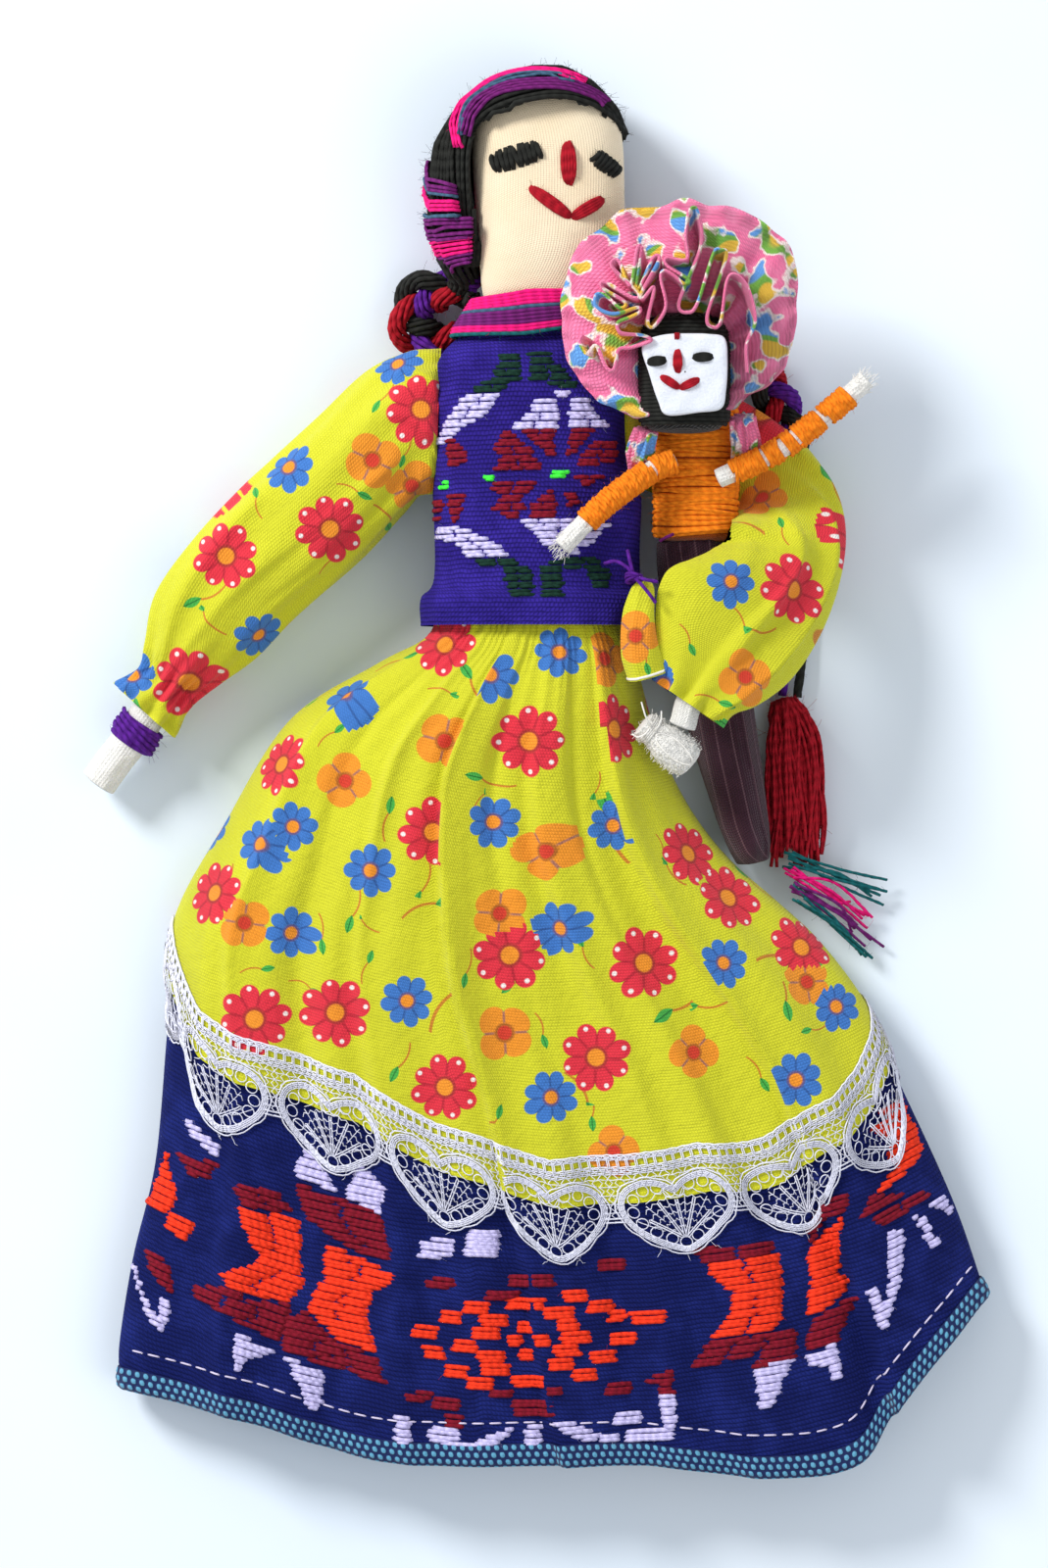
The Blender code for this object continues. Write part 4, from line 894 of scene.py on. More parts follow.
TORSO = [(0, 16.4, 16.4, 5.3, 23.35), (5.4, 16.4, 16.4, 5.3, 23.35), (10, 17.4, 17.4, 1.75, 25.35),
         (29, 18.2, 18.2, 1.35, 25.75), (46.4, 18.2, 18.2, 1.35, 25.75),
         (53.94, 16.8, 17.6, 7.2, 24.75), (58, 13.0, 16.6, 11.0, 22.35), (60, 10.6, 14.9, 11.6, 21.55)]
STAND_OFF = [4.4, 4.4, 0.75, 0.35, 0.35, 0.35, 0.35, 0.35]


def section_grid(stations, rows, columns, power=2.4, flat=FLATTENED):
    """Rings across the doll's length. A station is y, left, right, low, high."""
    knots = smooth_path(np.array(stations, float), rows)
    a = ring_angles(columns)
    y, left, right, low, high = (knots[:, k][:, None] for k in range(5))
    wide, deep = (right - left) / 2, (high - low + flat) / 2
    x = (left + right) / 2 + wide * powered(np.cos(a), 2 / power)
    z = (low - flat + high) / 2 + deep * powered(np.sin(a), 2 / power)
    return np.stack([x, y + 0 * x, np.maximum(z, low)], -1)


def make_blouse():
    stations = [(y, -l - d - WOOL, r + d + WOOL, low - d - WOOL, high + d + WOOL)
                for (y, l, r, low, high), d in zip(TORSO, STAND_OFF)]
    rows, columns = 90, 150
    grid = section_grid(stations, rows, columns)
    a = ring_angles(columns)[None, :]
    t = np.linspace(0, 1, rows)[:, None]
    pucker = 0.25 * np.sin(a * 13 + 4 * t) * np.exp(-t / 0.12) + 0.18 * np.sin(a * 5 + 9 * t)
    grid += grid_normals(grid) * -np.abs(pucker[..., None]) * np.where(grid[..., 2:] > 3, 1, 0)
    # Its left side bulges under the baby.
    bulge = eased((33 - grid[..., 1]) / 8) * eased((grid[..., 1] + 3) / 8) * np.maximum(np.cos(a), 0) ** 2
    grid[..., 0] += 3.2 * bulge
    material = wool_ground("blouse_wool", srgb(46, 32, 132), srgb(70, 52, 180), twill=0.0, depth=0.55)
    return plain_grid("blouse_wool", grid, material, ("blouse",))


# Yarn

def frames(path):
    """A side and an up vector for each point of a path, turned as little as can be."""
    ahead = unit(np.gradient(path, axis=0))
    side = np.cross(ahead[0], (0, 0, 1.0))
    if np.linalg.norm(side) < 0.1:
        side = np.array((1.0, 0, 0))
    sides = np.empty_like(path)
    for k, forward in enumerate(ahead):
        side = side - forward * side.dot(forward)
        side = side / np.linalg.norm(side)
        sides[k] = side
    return sides, np.cross(sides, ahead)


def bundle(strands, path, radius, count, thread, twist=0.0, flat=1.0, stray=0.12, low=None):
    """A bundle of yarns round a path, one in the middle where there are more than four."""
    path = np.asarray(path, float)
    side, up = frames(path)
    run = run_along(path)
    radius = np.broadcast_to(np.asarray(radius, float), len(path))
    inner = 1 if count > 4 else 0
    if count > 11:
        inner = count // 3
    for k in range(count):
        if k < inner:
            share, a0 = (0.0 if inner == 1 else 0.45), TURN * k / max(inner, 1)
        else:
            share, a0 = 1.0, TURN * (k - inner) / (count - inner)
        a = a0 + twist * run
        reach = np.maximum(radius - thread, 0) * share
        wave = stray * np.sin(run * rng.uniform(0.3, 0.9) + rng.uniform(0, 6.3))
        off = side * ((reach + wave) * np.cos(a))[:, None] + up * (reach * flat * np.sin(a))[:, None]
        points = path + off
        if low is not None:
            points[:, 2] = np.maximum(points[:, 2], low)
        strands.add(points, thread * rng.uniform(0.92, 1.08))


def fuzz(strands, count, length, thin=0.03, low=0.1):
    """Short loose fibres that stand out from the strands added so far."""
    rings = [p.reshape(-1, strands.sides, 3) for p in strands.points if len(p) > 1]
    share = np.array([len(r) for r in rings], float)
    for k in rng.choice(len(rings), count, p=share / share.sum()):
        ring = rings[k][rng.integers(len(rings[k]))]
        root = ring[rng.integers(strands.sides)]
        out = unit(root - ring.mean(axis=0))
        aside = unit(rng.normal(size=3))
        size = length * rng.uniform(0.4, 1.5)
        t = np.linspace(0, 1, 3)[:, None]
        path = root + out * size * 0.6 * t + aside * size * 0.65 * t**1.6
        path[:, 2] = np.maximum(path[:, 2], low)
        strands.add(path, thin, sides=3)


BLACK, MAGENTA = srgb(34, 35, 32), srgb(236, 22, 124)
PURPLE, SLATE = srgb(112, 28, 108), srgb(66, 98, 124)
VIOLET, SCARLET, TEAL = srgb(88, 28, 140), srgb(166, 16, 34), srgb(16, 98, 102)
# depth: how strongly painted shade darkens the grooves between the plies
WOOLS = {name: yarn(name + "_wool_yarn", colour, pitch, depth, sheen)
         for name, colour, pitch, depth, sheen in (
             ("black", BLACK, 2.2, 0.9, 0.3), ("magenta", MAGENTA, 2.2, 0.5, 0.3),
             ("purple", PURPLE, 2.2, 0.7, 0.35), ("slate", SLATE, 2.0, 0.7, 0.3),
             ("violet", VIOLET, 2.2, 0.75, 0.4), ("red", SCARLET, 2.2, 0.6, 0.35),
             ("teal", TEAL, 2.0, 0.6, 0.3))}

# Head

HEAD_BASE, HEAD_X, HEAD_HALF = 61.35, 3.8, 15.4
HEAD = [(0, 0.74, 0.70, 11.2, 21.55), (5.7, 0.86, 0.86, 9.6, 23.75), (14.25, 0.91, 1.0, 5.95, 25.35),
        (26.15, 0.97, 1.0, 3.95, 25.95), (35.65, 1.0, 0.98, 3.95, 25.95),
        (41.8, 0.95, 0.9, 4.95, 24.95), (45.6, 0.72, 0.7, 7.55, 22.75), (47.5, 0.4, 0.4, 10.95, 18.95)]


def rounded_ends(grid, steps=6):
    """Closes both ends of a stack of rings with rings that shrink to a point."""
    def end(ring, towards):
        middle = ring.mean(axis=0)
        shares = np.cos(np.linspace(0, math.pi / 2, steps + 1)[1:])
        rise = np.sin(np.linspace(0, math.pi / 2, steps + 1)[1:])
        out = unit(middle - towards) * np.linalg.norm(ring[0] - middle) * 0.18
        return np.stack([middle + (ring - middle) * max(s, 0.002) + out * r
                         for s, r in zip(shares, rise)])
    first, last = grid[1].mean(axis=0), grid[-2].mean(axis=0)
    return np.concatenate([end(grid[0], first)[::-1], grid, end(grid[-1], last)])


def jersey(name, colour):
    """Fine knitted cotton: columns of small loops, with painted shade between them."""
    n = Nodes(name, roughness=0.9, sheen=0.15)
    u, v = n.uv("weave")
    column = n.wave(u, math.pi / 0.56)
    slant = n.scaled(column, 0.6, n.times(v, TURN / 0.42))
    height = n.times(n.math("POWER", column, 0.5), n.scaled(n.sine(slant), 0.25, 0.75))
    place = n.place()
    base = n.mix(n.noise(place, 0.07, 3.0), srgb(238, 214, 176), colour)
    # Painted shade in the hollows between the loops.
    n.colour(n.shaded(base, n.scaled(height, 0.14, 0.88)))
    n.bump(n.plus(height, n.times(n.noise(place, 0.3, 3.0), 1.6)), 0.00012)
    return n.material


def make_head():
    stations = [(HEAD_BASE + y, HEAD_X - HEAD_HALF * l, HEAD_X + HEAD_HALF * r, low, high)
                for y, l, r, low, high in HEAD]
    grid = rounded_ends(section_grid(stations, 84, 130, power=3.0))
    return plain_grid("head_cloth", grid, jersey("cream_jersey", srgb(255, 240, 212)),
                      ("head",))


def satin(strands, surface, start, end, half, thread, spacing, bulge, across=True):
    """Threads side by side over a bar on a surface, across it or along it."""
    a, b = np.array(start, float), np.array(end, float)
    length = np.linalg.norm(b - a)
    ahead = (b - a) / length
    side = np.array((-ahead[1], ahead[0]))
    if across:
        count = max(2, round(length / spacing))
        rows = [(a + ahead * length * (k + 0.5) / count, side,
                 half * (1 - 0.35 * abs(2 * (k + 0.5) / count - 1) ** 3)) for k in range(count)]
    else:
        count = max(2, round(2 * half / spacing))
        rows = [((a + b) / 2 + side * half * (2 * (k + 0.5) / count - 1), ahead,
                 length / 2 * (1 - 0.12 * abs(2 * (k + 0.5) / count - 1) ** 2)) for k in range(count)]
    for centre, way, reach in rows:
        reach *= rng.uniform(0.95, 1.06)
        tilt = way + (0.12 * rng.normal() * ahead if across else 0.0)
        inward = ((a + b) / 2 - centre) * (0.0 if across else 0.55)
        t = np.linspace(-1, 1, 13)
        path = []
        for s in t:
            spot = surface.hit(*(centre + tilt * reach * s + inward * abs(s) ** 2.5))
            if spot is not None:
                rise = -thread * 0.5 + (bulge + thread * 0.5) * (1 - abs(s) ** 3)
                path.append(spot[0] + spot[1] * rise)
        if len(path) > 4:
            strands.add(path, thread)


def make_face(surface):
    y = HEAD_BASE
    for name, start, end, half, thread, colour, slot, across in (
            ("right_eye", (-7.6, 31.3), (2.2, 34.0), 2.1, 0.62, "black", "black_wool", True),
            ("left_eye", (12.9, 33.0), (17.7, 29.7), 1.5, 0.55, "black", "black_wool", True),
            ("nose", (7.7, 35.6), (8.0, 27.0), 1.45, 0.5, "red", "red_yarn", False),
            ("mouth_right", (0.2, 26.4), (8.3, 20.6), 1.15, 0.5, "red", "red_yarn", False),
            ("mouth_left", (8.6, 20.4), (14.8, 24.3), 1.15, 0.5, "red", "red_yarn", False)):
        strands = Strands()
        satin(strands, surface, (start[0], start[1] + y), (end[0], end[1] + y), half, thread,
              1.45 * thread if across else 0.62, 0.75, across)
        fuzz(strands, 26, 0.8)
        strands.build(name + "_stitches", WOOLS[colour], slot, (name,))


# Hair. The outline of the hair and its edge on the face, from the left side of the neck round.

HAIR_OUTLINE = [(-16.9, 73.4), (-20.1, 80.4), (-20.3, 89.4), (-18.9, 97.4), (-14.9, 104.4),
                (-8.3, 109.6), (0.4, 112.2), (7.9, 112.2), (12.9, 109.6), (17.7, 104.4),
                (20.3, 97.4), (19.7, 89.4), (18.3, 80.4)]
HAIR_EDGE = [(-11.3, 72.4), (-11.5, 80.4), (-11.8, 89.4), (-11.7, 95.4), (-10.6, 98.9), (-6.9, 102.4),
             (1.1, 104.8), (7.7, 105.2), (13.7, 103.4), (17.4, 100.4), (19.0, 96.5), (19.0, 89.4),
             (17.6, 80.4)]
HAIR_MIDDLE = [(-6, 74), (-8, 80), (-8, 86), (-6, 92), (-4, 96), (-1, 99), (2, 100), (5, 100),
               (8, 98), (9, 95), (9, 90), (9, 85), (7, 79)]
HAIR_HEIGHT = 13.0
HAIR_LINES = [smooth_path(chain, 241) for chain in (HAIR_EDGE, HAIR_OUTLINE, HAIR_MIDDLE)]


def cap_place(surface, t, s, lift, fit=False):
    """A place on the hair. t runs round the face; s is 0 at the face's edge, 1 at the outline
    and 2 at the middle of the back."""
    i = np.clip(t * 240, 0, 239.999)
    k, f = int(i), i - int(i)
    e, o, m = (line[k] * (1 - f) + line[k + 1] * f for line in HAIR_LINES)
    inner = e + (o - e) * 0.75
    target = e + (inner - e) * s if s <= 1 else inner + (m - inner) * (s - 1)
    away = unit(o - m)
    a = math.pi / 2 * s
    way = np.array((away[0] * math.sin(a), away[1] * math.sin(a), math.cos(a)))
    goal = np.array((target[0], target[1], HAIR_HEIGHT))
    start = goal + way * 40
    place, normal = surface.cast(start, -way)
    if place is None or np.linalg.norm(place - goal) > 17:
        return None
    if normal.dot(way) < 0:
        normal = -normal
    place = place + normal * lift
    if fit:
        # The hair lies against the cheek, which narrows towards the neck.
        low = np.clip((92 - place[1]) / 16, 0, 1) * np.clip((place[2] - 2) / 3, 0, 1)
        place[0] += 1.7 * low * np.clip((place[0] + 16) / 4.7, 0, 1) * (place[0] < 0)
    return place, normal


def make_hair():
    solid = Surface(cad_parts["hair"])
    rows, columns = 70, 110
    grid = np.zeros((rows, columns, 3))
    found = np.zeros((rows, columns), bool)
    for i, s in enumerate(np.linspace(-0.04, 1.98, rows)):
        for j, t in enumerate(np.linspace(0, 1, columns)):
            spot = cap_place(solid, t, s, -0.5, fit=True)
            if spot is not None:
                grid[i, j], found[i, j] = spot[0], True
    faces = grid_faces(rows, columns)
    corners = grid.reshape(-1, 3)[faces]
    size = np.linalg.norm(corners[:, 0] - corners[:, 2], axis=1)
    faces = faces[found.reshape(-1)[faces].all(axis=1) & (size < 7)]
    used, faces = np.unique(faces, return_inverse=True)
    corners = grid.reshape(-1, 3)[used]
    faces = faces.reshape(-1, 4)
    under = make("hair_under", corners, faces, WOOLS["black"], ("hair",),
                 {"run": corners[faces].reshape(-1, 3)[:, :2]})
    strands = Strands()
    smooth = Surface(under)
    lines = [(s, 0.16, 0.54) for s in np.linspace(-0.34, 1.05, 36)]
    lines += [(s, 0.2, 0.72) for s in np.linspace(1.1, 1.95, 17)]
    for s, stray, radius in lines:
        wave, turn = rng.uniform(0.02, 0.05), rng.uniform(0, 6.3)
        part = []
        for j, t in enumerate(np.linspace(0, 1, 150)):
            spot = cap_place(smooth, t, s + wave * math.sin(t * 9 + turn) * min(1, s * 6), 0.0)
            if spot is not None and (not part or np.linalg.norm(part[-1] - spot[0]) < 5):
                lift = 0.45 + stray * math.sin(t * 23 + turn * 2)
                part.append(spot[0] + spot[1] * lift)
            elif len(part) > 5:
                strands.add(part, radius)
                part = []
        if len(part) > 5:
            strands.add(part, radius)
    fuzz(strands, 900, 1.7)
    strands.build("hair_yarn", WOOLS["black"], "black_wool")
    return smooth


# Coloured turns round the tail of hair: y at the face's edge, midway and at the outline,
# the number of yarns, their colour and the node that they stand for
SIDE_TURNS = [
    ("purple", 3, (87.1, 88.0, 92.6), None), ("slate", 1, (85.9, 86.7, 89.8), None),
    ("magenta", 3, (84.7, 84.2, 87.6), "side_turn_magenta_upper"),
    ("slate", 1, (83.2, 82.2, 82.9), None), ("purple", 5, (81.0, 80.2, 80.4), "side_turn_purple"),
    ("magenta", 4, (78.4, 77.2, 76.9), "side_turn_magenta_lower"),
    ("purple", 3, (76.2, 74.7, 74.4), None),
]
# Turns over the crown, in the picture, and where their yarns spread to
CROWN_TURNS = [
    ("magenta", 3, [(472.5, 156), (469, 140), (471, 123), (482.5, 101), (505.5, 87), (532, 83.5),
                    (566.7, 86), (592, 93)], "hair_ribbon_magenta"),
    ("slate", 2, [(474.5, 146), (478.7, 119), (494, 103), (517, 93), (551, 90), (582, 94)],
     "hair_ribbon_teal"),
    ("purple", 4, [(477, 146), (486, 122), (505.5, 107), (532, 100), (570.5, 98.5), (599, 105),
                   (613, 112)], "hair_ribbon_purple"),
]


def slot_of(colour):
    return "teal_yarn" if colour == "slate" else colour + "_yarn"


def make_hair_turns(surface):
    made = {name: Strands() for name in ("purple", "slate", "magenta")}
    replaced = {name: [] for name in made}
    outline_y = HAIR_LINES[1][:90, 1]
    for colour, count, (y0, y1, y2), node in SIDE_TURNS:
        for k in range(count):
            shift = (k - (count - 1) / 2) * 0.74
            path = []
            for s in np.linspace(-0.3, 1.9, 50):
                y = np.interp(s, (-0.3, 0.5, 1.0, 1.9), (y0, y1, y2, y2 + 1)) + shift
                t = np.interp(y, outline_y, np.arange(90) / 240)
                spot = cap_place(surface, t, s, 1.6 + 0.9 * (s < 0.45) + 0.1 * math.sin(s * 7 + k))
                if spot is not None:
                    path.append(spot[0])
            made[colour].add(smooth_path(path[::3], 60), 0.42)
        if node:
            replaced[colour].append(node)
    for colour, count, route, node in CROWN_TURNS:
        for k in range(count):
            path = []
            knots = np.array([(*at(x, y), 0) for x, y in route])
            inward = unit(np.array((3.0, 92.0, 0)) - knots)
            knots = knots + inward * ((k - (count - 1) / 2) * 0.66)
            for x, y, _ in smooth_path(knots, 80):
                place, normal = surface.cast((x, y + 9.2, 64.0), unit(np.array((0, -0.4, -1.6))))
                if place is not None and place[2] > 8:
                    path.append(place + normal * math.copysign(1.35, normal[2] + 0.3 * normal[1]))
            if len(path) > 8:
                path = smooth_path(path[::4] + [path[-1]], 90)
                made[colour].add(path, 0.4)
        replaced[colour].append(node)
    for colour, strands in made.items():
        fuzz(strands, 120, 1.1)
        strands.build("hair_turns_" + colour, WOOLS[colour], slot_of(colour), tuple(replaced[colour]))


# Plaits and tassels, on the solids' routes

RIGHT_PLAIT = [(-10.4, 69.0, 10.5), (-14.8, 68.6, 7.6), (-19, 68.6, 5.2), (-23.4, 66.2, 4.2),
               (-23.8, 60.5, 3.4), (-18, 57.4, 3.4), (-6, 59.2, 3.4), (10, 60.0, 3.4), (24, 60, 3.4)]
LEFT_PLAIT = [(29, 65.4, 3.4), (38.5, 59.6, 3.4), (47.4, 50.6, 3.4), (52.4, 41.4, 2.6),
              (52.6, 30, 1.3), (53, 15, 1.3), (53, 0, 1.3), (51.6, -14, 1.3)]


def make_plait(name, route, turns, share, radius):
    path = smooth_path(route, 190)
    ahead = unit(np.gradient(path, axis=0))
    side = unit(np.cross(ahead, (0, 0, 1.0)))
    up = np.cross(side, ahead)
    run = run_along(path) / run_along(path)[-1]
    for k, (colour, wool, slot) in enumerate((("purple", "violet", "purple_yarn"),
                                              ("red", "red", "red_yarn"),
                                              ("black", "black", "black_wool"))):
        phase = TURN * (turns * np.minimum(run / share, 1.0) + k / 3)
        flat = eased((run - share) * 8)
        lane = (0.0, 3.1, -3.1)[k]
        sway = 3.0 * np.sin(phase)
        off = side * (sway + (lane - sway) * flat)[:, None]
        off += up * (2.1 * np.sin(2 * phase) * (1 - flat))[:, None]
        strands = Strands()
        thick = radius + (0.95 - radius) * flat
        bundle(strands, path + off, thick, 9, 0.5, twist=0.32, low=0.5)
        fuzz(strands, 160, 1.3)
        strands.build(f"{name}_{colour}_wool", WOOLS[wool], slot, (f"{name}_{colour}",))


HAIR_TAIL = [(-14.4, 75.2, 13.4), (-14.0, 73.0, 12.4), (-13.2, 70.6, 10.6), (-14.6, 68.4, 8.4)]
RED_TASSEL = [(51.8, -14.9, 2.6), (53.4, -22, 3.9), (54.4, -36, 4.2), (53.9, -49.0, 2.8)]
TASSEL_BINDING = np.array([(51.9, -17.2, 2.8), (52.6, -18.4, 3.0)])
# The tassel's thin strands: colour, and where each ends
TASSEL_ENDS = [("teal", (73.2, -55.0)), ("magenta", (70.0, -59.8)), ("purple", (70.4, -64.0)),
               ("teal", (70.6, -68.2))]


def make_plaits():
    tail = Strands()
    count = 40
    route = smooth_path(HAIR_TAIL, count)
    bundle(tail, route, np.linspace(4.6, 2.4, count), 20, 0.6, twist=0.06)
    fuzz(tail, 120, 1.4)
    tail.build("hair_tail", WOOLS["black"], "black_wool")
    make_plait("right_plait", RIGHT_PLAIT, 3, 1.0, 2.0)
    make_plait("left_plait", LEFT_PLAIT, 2, 0.39, 1.75)


def make_tassels():
    tassel = Strands()
    count = 40
    route = smooth_path(RED_TASSEL, count)
    widths = np.interp(np.linspace(0, 1, count), (0, 0.12, 0.4, 0.75, 1), (1.7, 3.3, 5.2, 5.6, 5.8))
    side, up = frames(route)
    for k in range(120):
        a, share = rng.uniform(0, TURN), math.sqrt(rng.uniform(0.1, 1))
        wave = rng.uniform(0.3, 1.0) * np.sin(np.linspace(0, rng.uniform(4, 11), count)
                                              + rng.uniform(0, 6))
        off = side * (widths * share * math.cos(a) + wave)[:, None]
        off += up * (np.minimum(widths, 2.9) * share * math.sin(a))[:, None]
        stop = rng.integers(30, count + 1)
        path = (route + off)[:stop]
        path[:, 2] = np.maximum(path[:, 2], 0.5)
        tassel.add(path, 0.38)
    top, foot = TASSEL_BINDING
    for k in range(4):
        a = np.linspace(0, TURN, 22)
        centre = top + (foot - top) * k / 3
        loop = centre + np.stack([2.2 * np.cos(a), 0.25 * np.cos(a), 2.1 * np.sin(a)], -1)
        loop[:, 2] = np.maximum(loop[:, 2], 0.6)
        tassel.add(loop, 0.42)
    fuzz(tassel, 420, 2.2, 0.035)
    tassel.build("red_tassel_yarn", WOOLS["red"], "red_yarn", ("red_tassel",))
    for k, (colour, end) in enumerate(TASSEL_ENDS):
        start = (52.2 + 0.6 * k, -47.4 - 2.4 * k, 6.4 + 0.5 * k)
        middle = ((start[0] + end[0]) / 2, (start[1] + end[1]) / 2 + 0.8, 5.6)
        strands = Strands(5, 0.5)
        for _ in range(6):
            apart, short = rng.normal(size=(3, 3)) * (0.7, 1.0, 0.5), rng.uniform(0.72, 1.02)
            last = np.array(start) + (np.array((*end, 1.1)) - start) * short
            knots = np.array([start, middle, last]) + apart
            knots[:, 2] = np.maximum(knots[:, 2], 0.6)
            bundle(strands, smooth_path(knots, 40), 0.34, 2, 0.3, twist=1.6, stray=0.04, low=0.4)
        fuzz(strands, 40, 1.2)
        node = f"tassel_strand_{k + 1}_{colour}"
        strands.build(node + "_yarn", WOOLS[colour], colour + "_yarn", (node,))


# Collar: rows of yarn round the neck, from the top, with the top and bottom of the rows tilted

COLLAR_ROWS = ["magenta"] * 4 + ["slate"] + ["purple"] * 4 + ["magenta"] * 2 + ["teal"]


def make_collar():
    solid = Surface(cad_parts["collar"])
    made = {}
    count = len(COLLAR_ROWS)
    for k, colour in enumerate(COLLAR_ROWS):
        path = []
        for a in np.linspace(0, TURN, 150):
            x = HEAD_X - 1.0 + 18 * math.cos(a)
            top = min(67.1, 67.9 + 0.13 * (x - HEAD_X))
            foot = max(58.5, 59.2 + 0.09 * (x - HEAD_X))
            y = top + (foot - top) * k / (count - 1)
            goal = np.array((HEAD_X - 1.0, y, 15.5))
            way = np.array((math.cos(a), 0.0, math.sin(a)))
            place, _ = solid.cast(goal + way * 45, -way)
            if place is not None:
                path.append(place - way * 0.15)
        path = smooth_path(path[::3] + [path[-1]], 150)
        made.setdefault(colour, Strands()).add(path, 0.46)
    for colour, strands in made.items():
        fuzz(strands, 160, 1.0)
        strands.build("collar_" + colour, WOOLS[colour], slot_of(colour),
                      ("collar",) if colour == "magenta" else ())


# Brocade: figures of raised wool threads, drawn by their outlines in the picture

ORANGE_RED, LILAC, MAROON = srgb(255, 58, 26), srgb(206, 198, 250), srgb(128, 12, 36)
# depth: how strongly painted shade darkens the grooves between the plies
FIGURE_WOOLS = {key: yarn(name, colour, 1.6, depth, sheen)
                for key, name, colour, depth, sheen in (
                    ("orange", "orange_red_wool", ORANGE_RED, 0.45, 0.25),
                    ("maroon", "dark_red_wool", MAROON, 0.6, 0.3),
                    ("lilac", "lilac_wool", LILAC, 0.5, 0.25),
                    ("green", "dark_green_wool", srgb(14, 50, 38), 0.6, 0.3),
                    ("neon", "bright_green_wool", srgb(70, 250, 70), 0.3, 0.2))}


def spans(polygon, level):
    """The stretches of a level line that lie inside an outline."""
    cuts = []
    for (x0, y0), (x1, y1) in zip(polygon, polygon[1:] + polygon[:1]):
        if (y0 <= level) != (y1 <= level):
            cuts.append(x0 + (x1 - x0) * (level - y0) / (y1 - y0))
    cuts.sort()
    return list(zip(cuts[::2], cuts[1::2]))


def fill_with_stitches(strands, surface, polygon, slope, pitch=0.84, thread=0.52, stitch=8.0):
    """Fills an outline with rows of stitches. slope is how far a row climbs towards the right."""
    turn = math.atan(slope)
    c, s = math.cos(turn), math.sin(turn)
    turned = [(x * c + y * s, y * c - x * s) for x, y in polygon]
    low, high = min(p[1] for p in turned), max(p[1] for p in turned)
    rows = max(1, round((high - low) / pitch))
    for row in range(rows):
        level = low + (high - low) * (row + 0.5) / rows
        for x0, x1 in spans(turned, level):
            x0, x1 = x0 - rng.uniform(-0.2, 0.8), x1 + rng.uniform(-0.2, 0.8)
            count = max(1, round((x1 - x0) / (stitch * rng.uniform(0.85, 1.15))))
            edges = np.linspace(x0, x1, count + 1)
            edges[1:-1] += rng.uniform(-0.7, 0.7, count - 1)
            for a, b in zip(edges[:-1], edges[1:]):
                path = []
                for t in np.linspace(0, 1, 6):
                    x, y = a + (b - a) * t, level + 0.14 * math.sin(t * 3.1) * (-1) ** row
                    spot = surface.hit(x * c - y * s, x * s + y * c)
                    if spot is not None:
                        path.append(spot[0] + spot[1] * (-0.3 + 0.62 * math.sin(math.pi * t) ** 0.35))
                if len(path) > 4 and np.linalg.norm(path[0] - path[-1]) < 13:
                    strands.add(path, thread, flat=0.55, up=(0, 0, 1))


def block(x0, y0, x1, y1):
    """The outline of an upright block in the picture."""
    return [(x0, y0), (x1, y0), (x1, y1), (x0, y1)]


def bars(centre, cells, half_height):
    """Short blocks about a centre in the picture: across, down and half the length of each."""
    cx, cy = centre
    return [block(cx + x - w, cy + y - half_height, cx + x + w, cy + y + half_height)
            for x, y, w in cells]


DIAMOND_CENTRE = (538, 1362)
DIAMOND = [(-2, -38, 19), (48, -46, 12), (32, -29, 15), (73, -35, 13), (40, -17, 11), (90, -25, 8),
           (122, -24, 19), (48, -4, 15), (97, -2, 11), (40, 9, 13), (77, 16, 12), (33, 23, 12),
           (57, 34, 12), (4, 41, 19), (-2, -14, 5), (-13, 0, 6), (14, -1, 7), (0, 14, 7),
           (-103, -9, 12), (-77, -24, 11), (-52, -34, 13), (-33, -21, 15), (-42, -8, 12),
           (-63, 5, 12), (-95, 12, 10), (-36, 16, 14), (-72, 31, 12), (-32, 29, 14), (-48, 43, 13)]
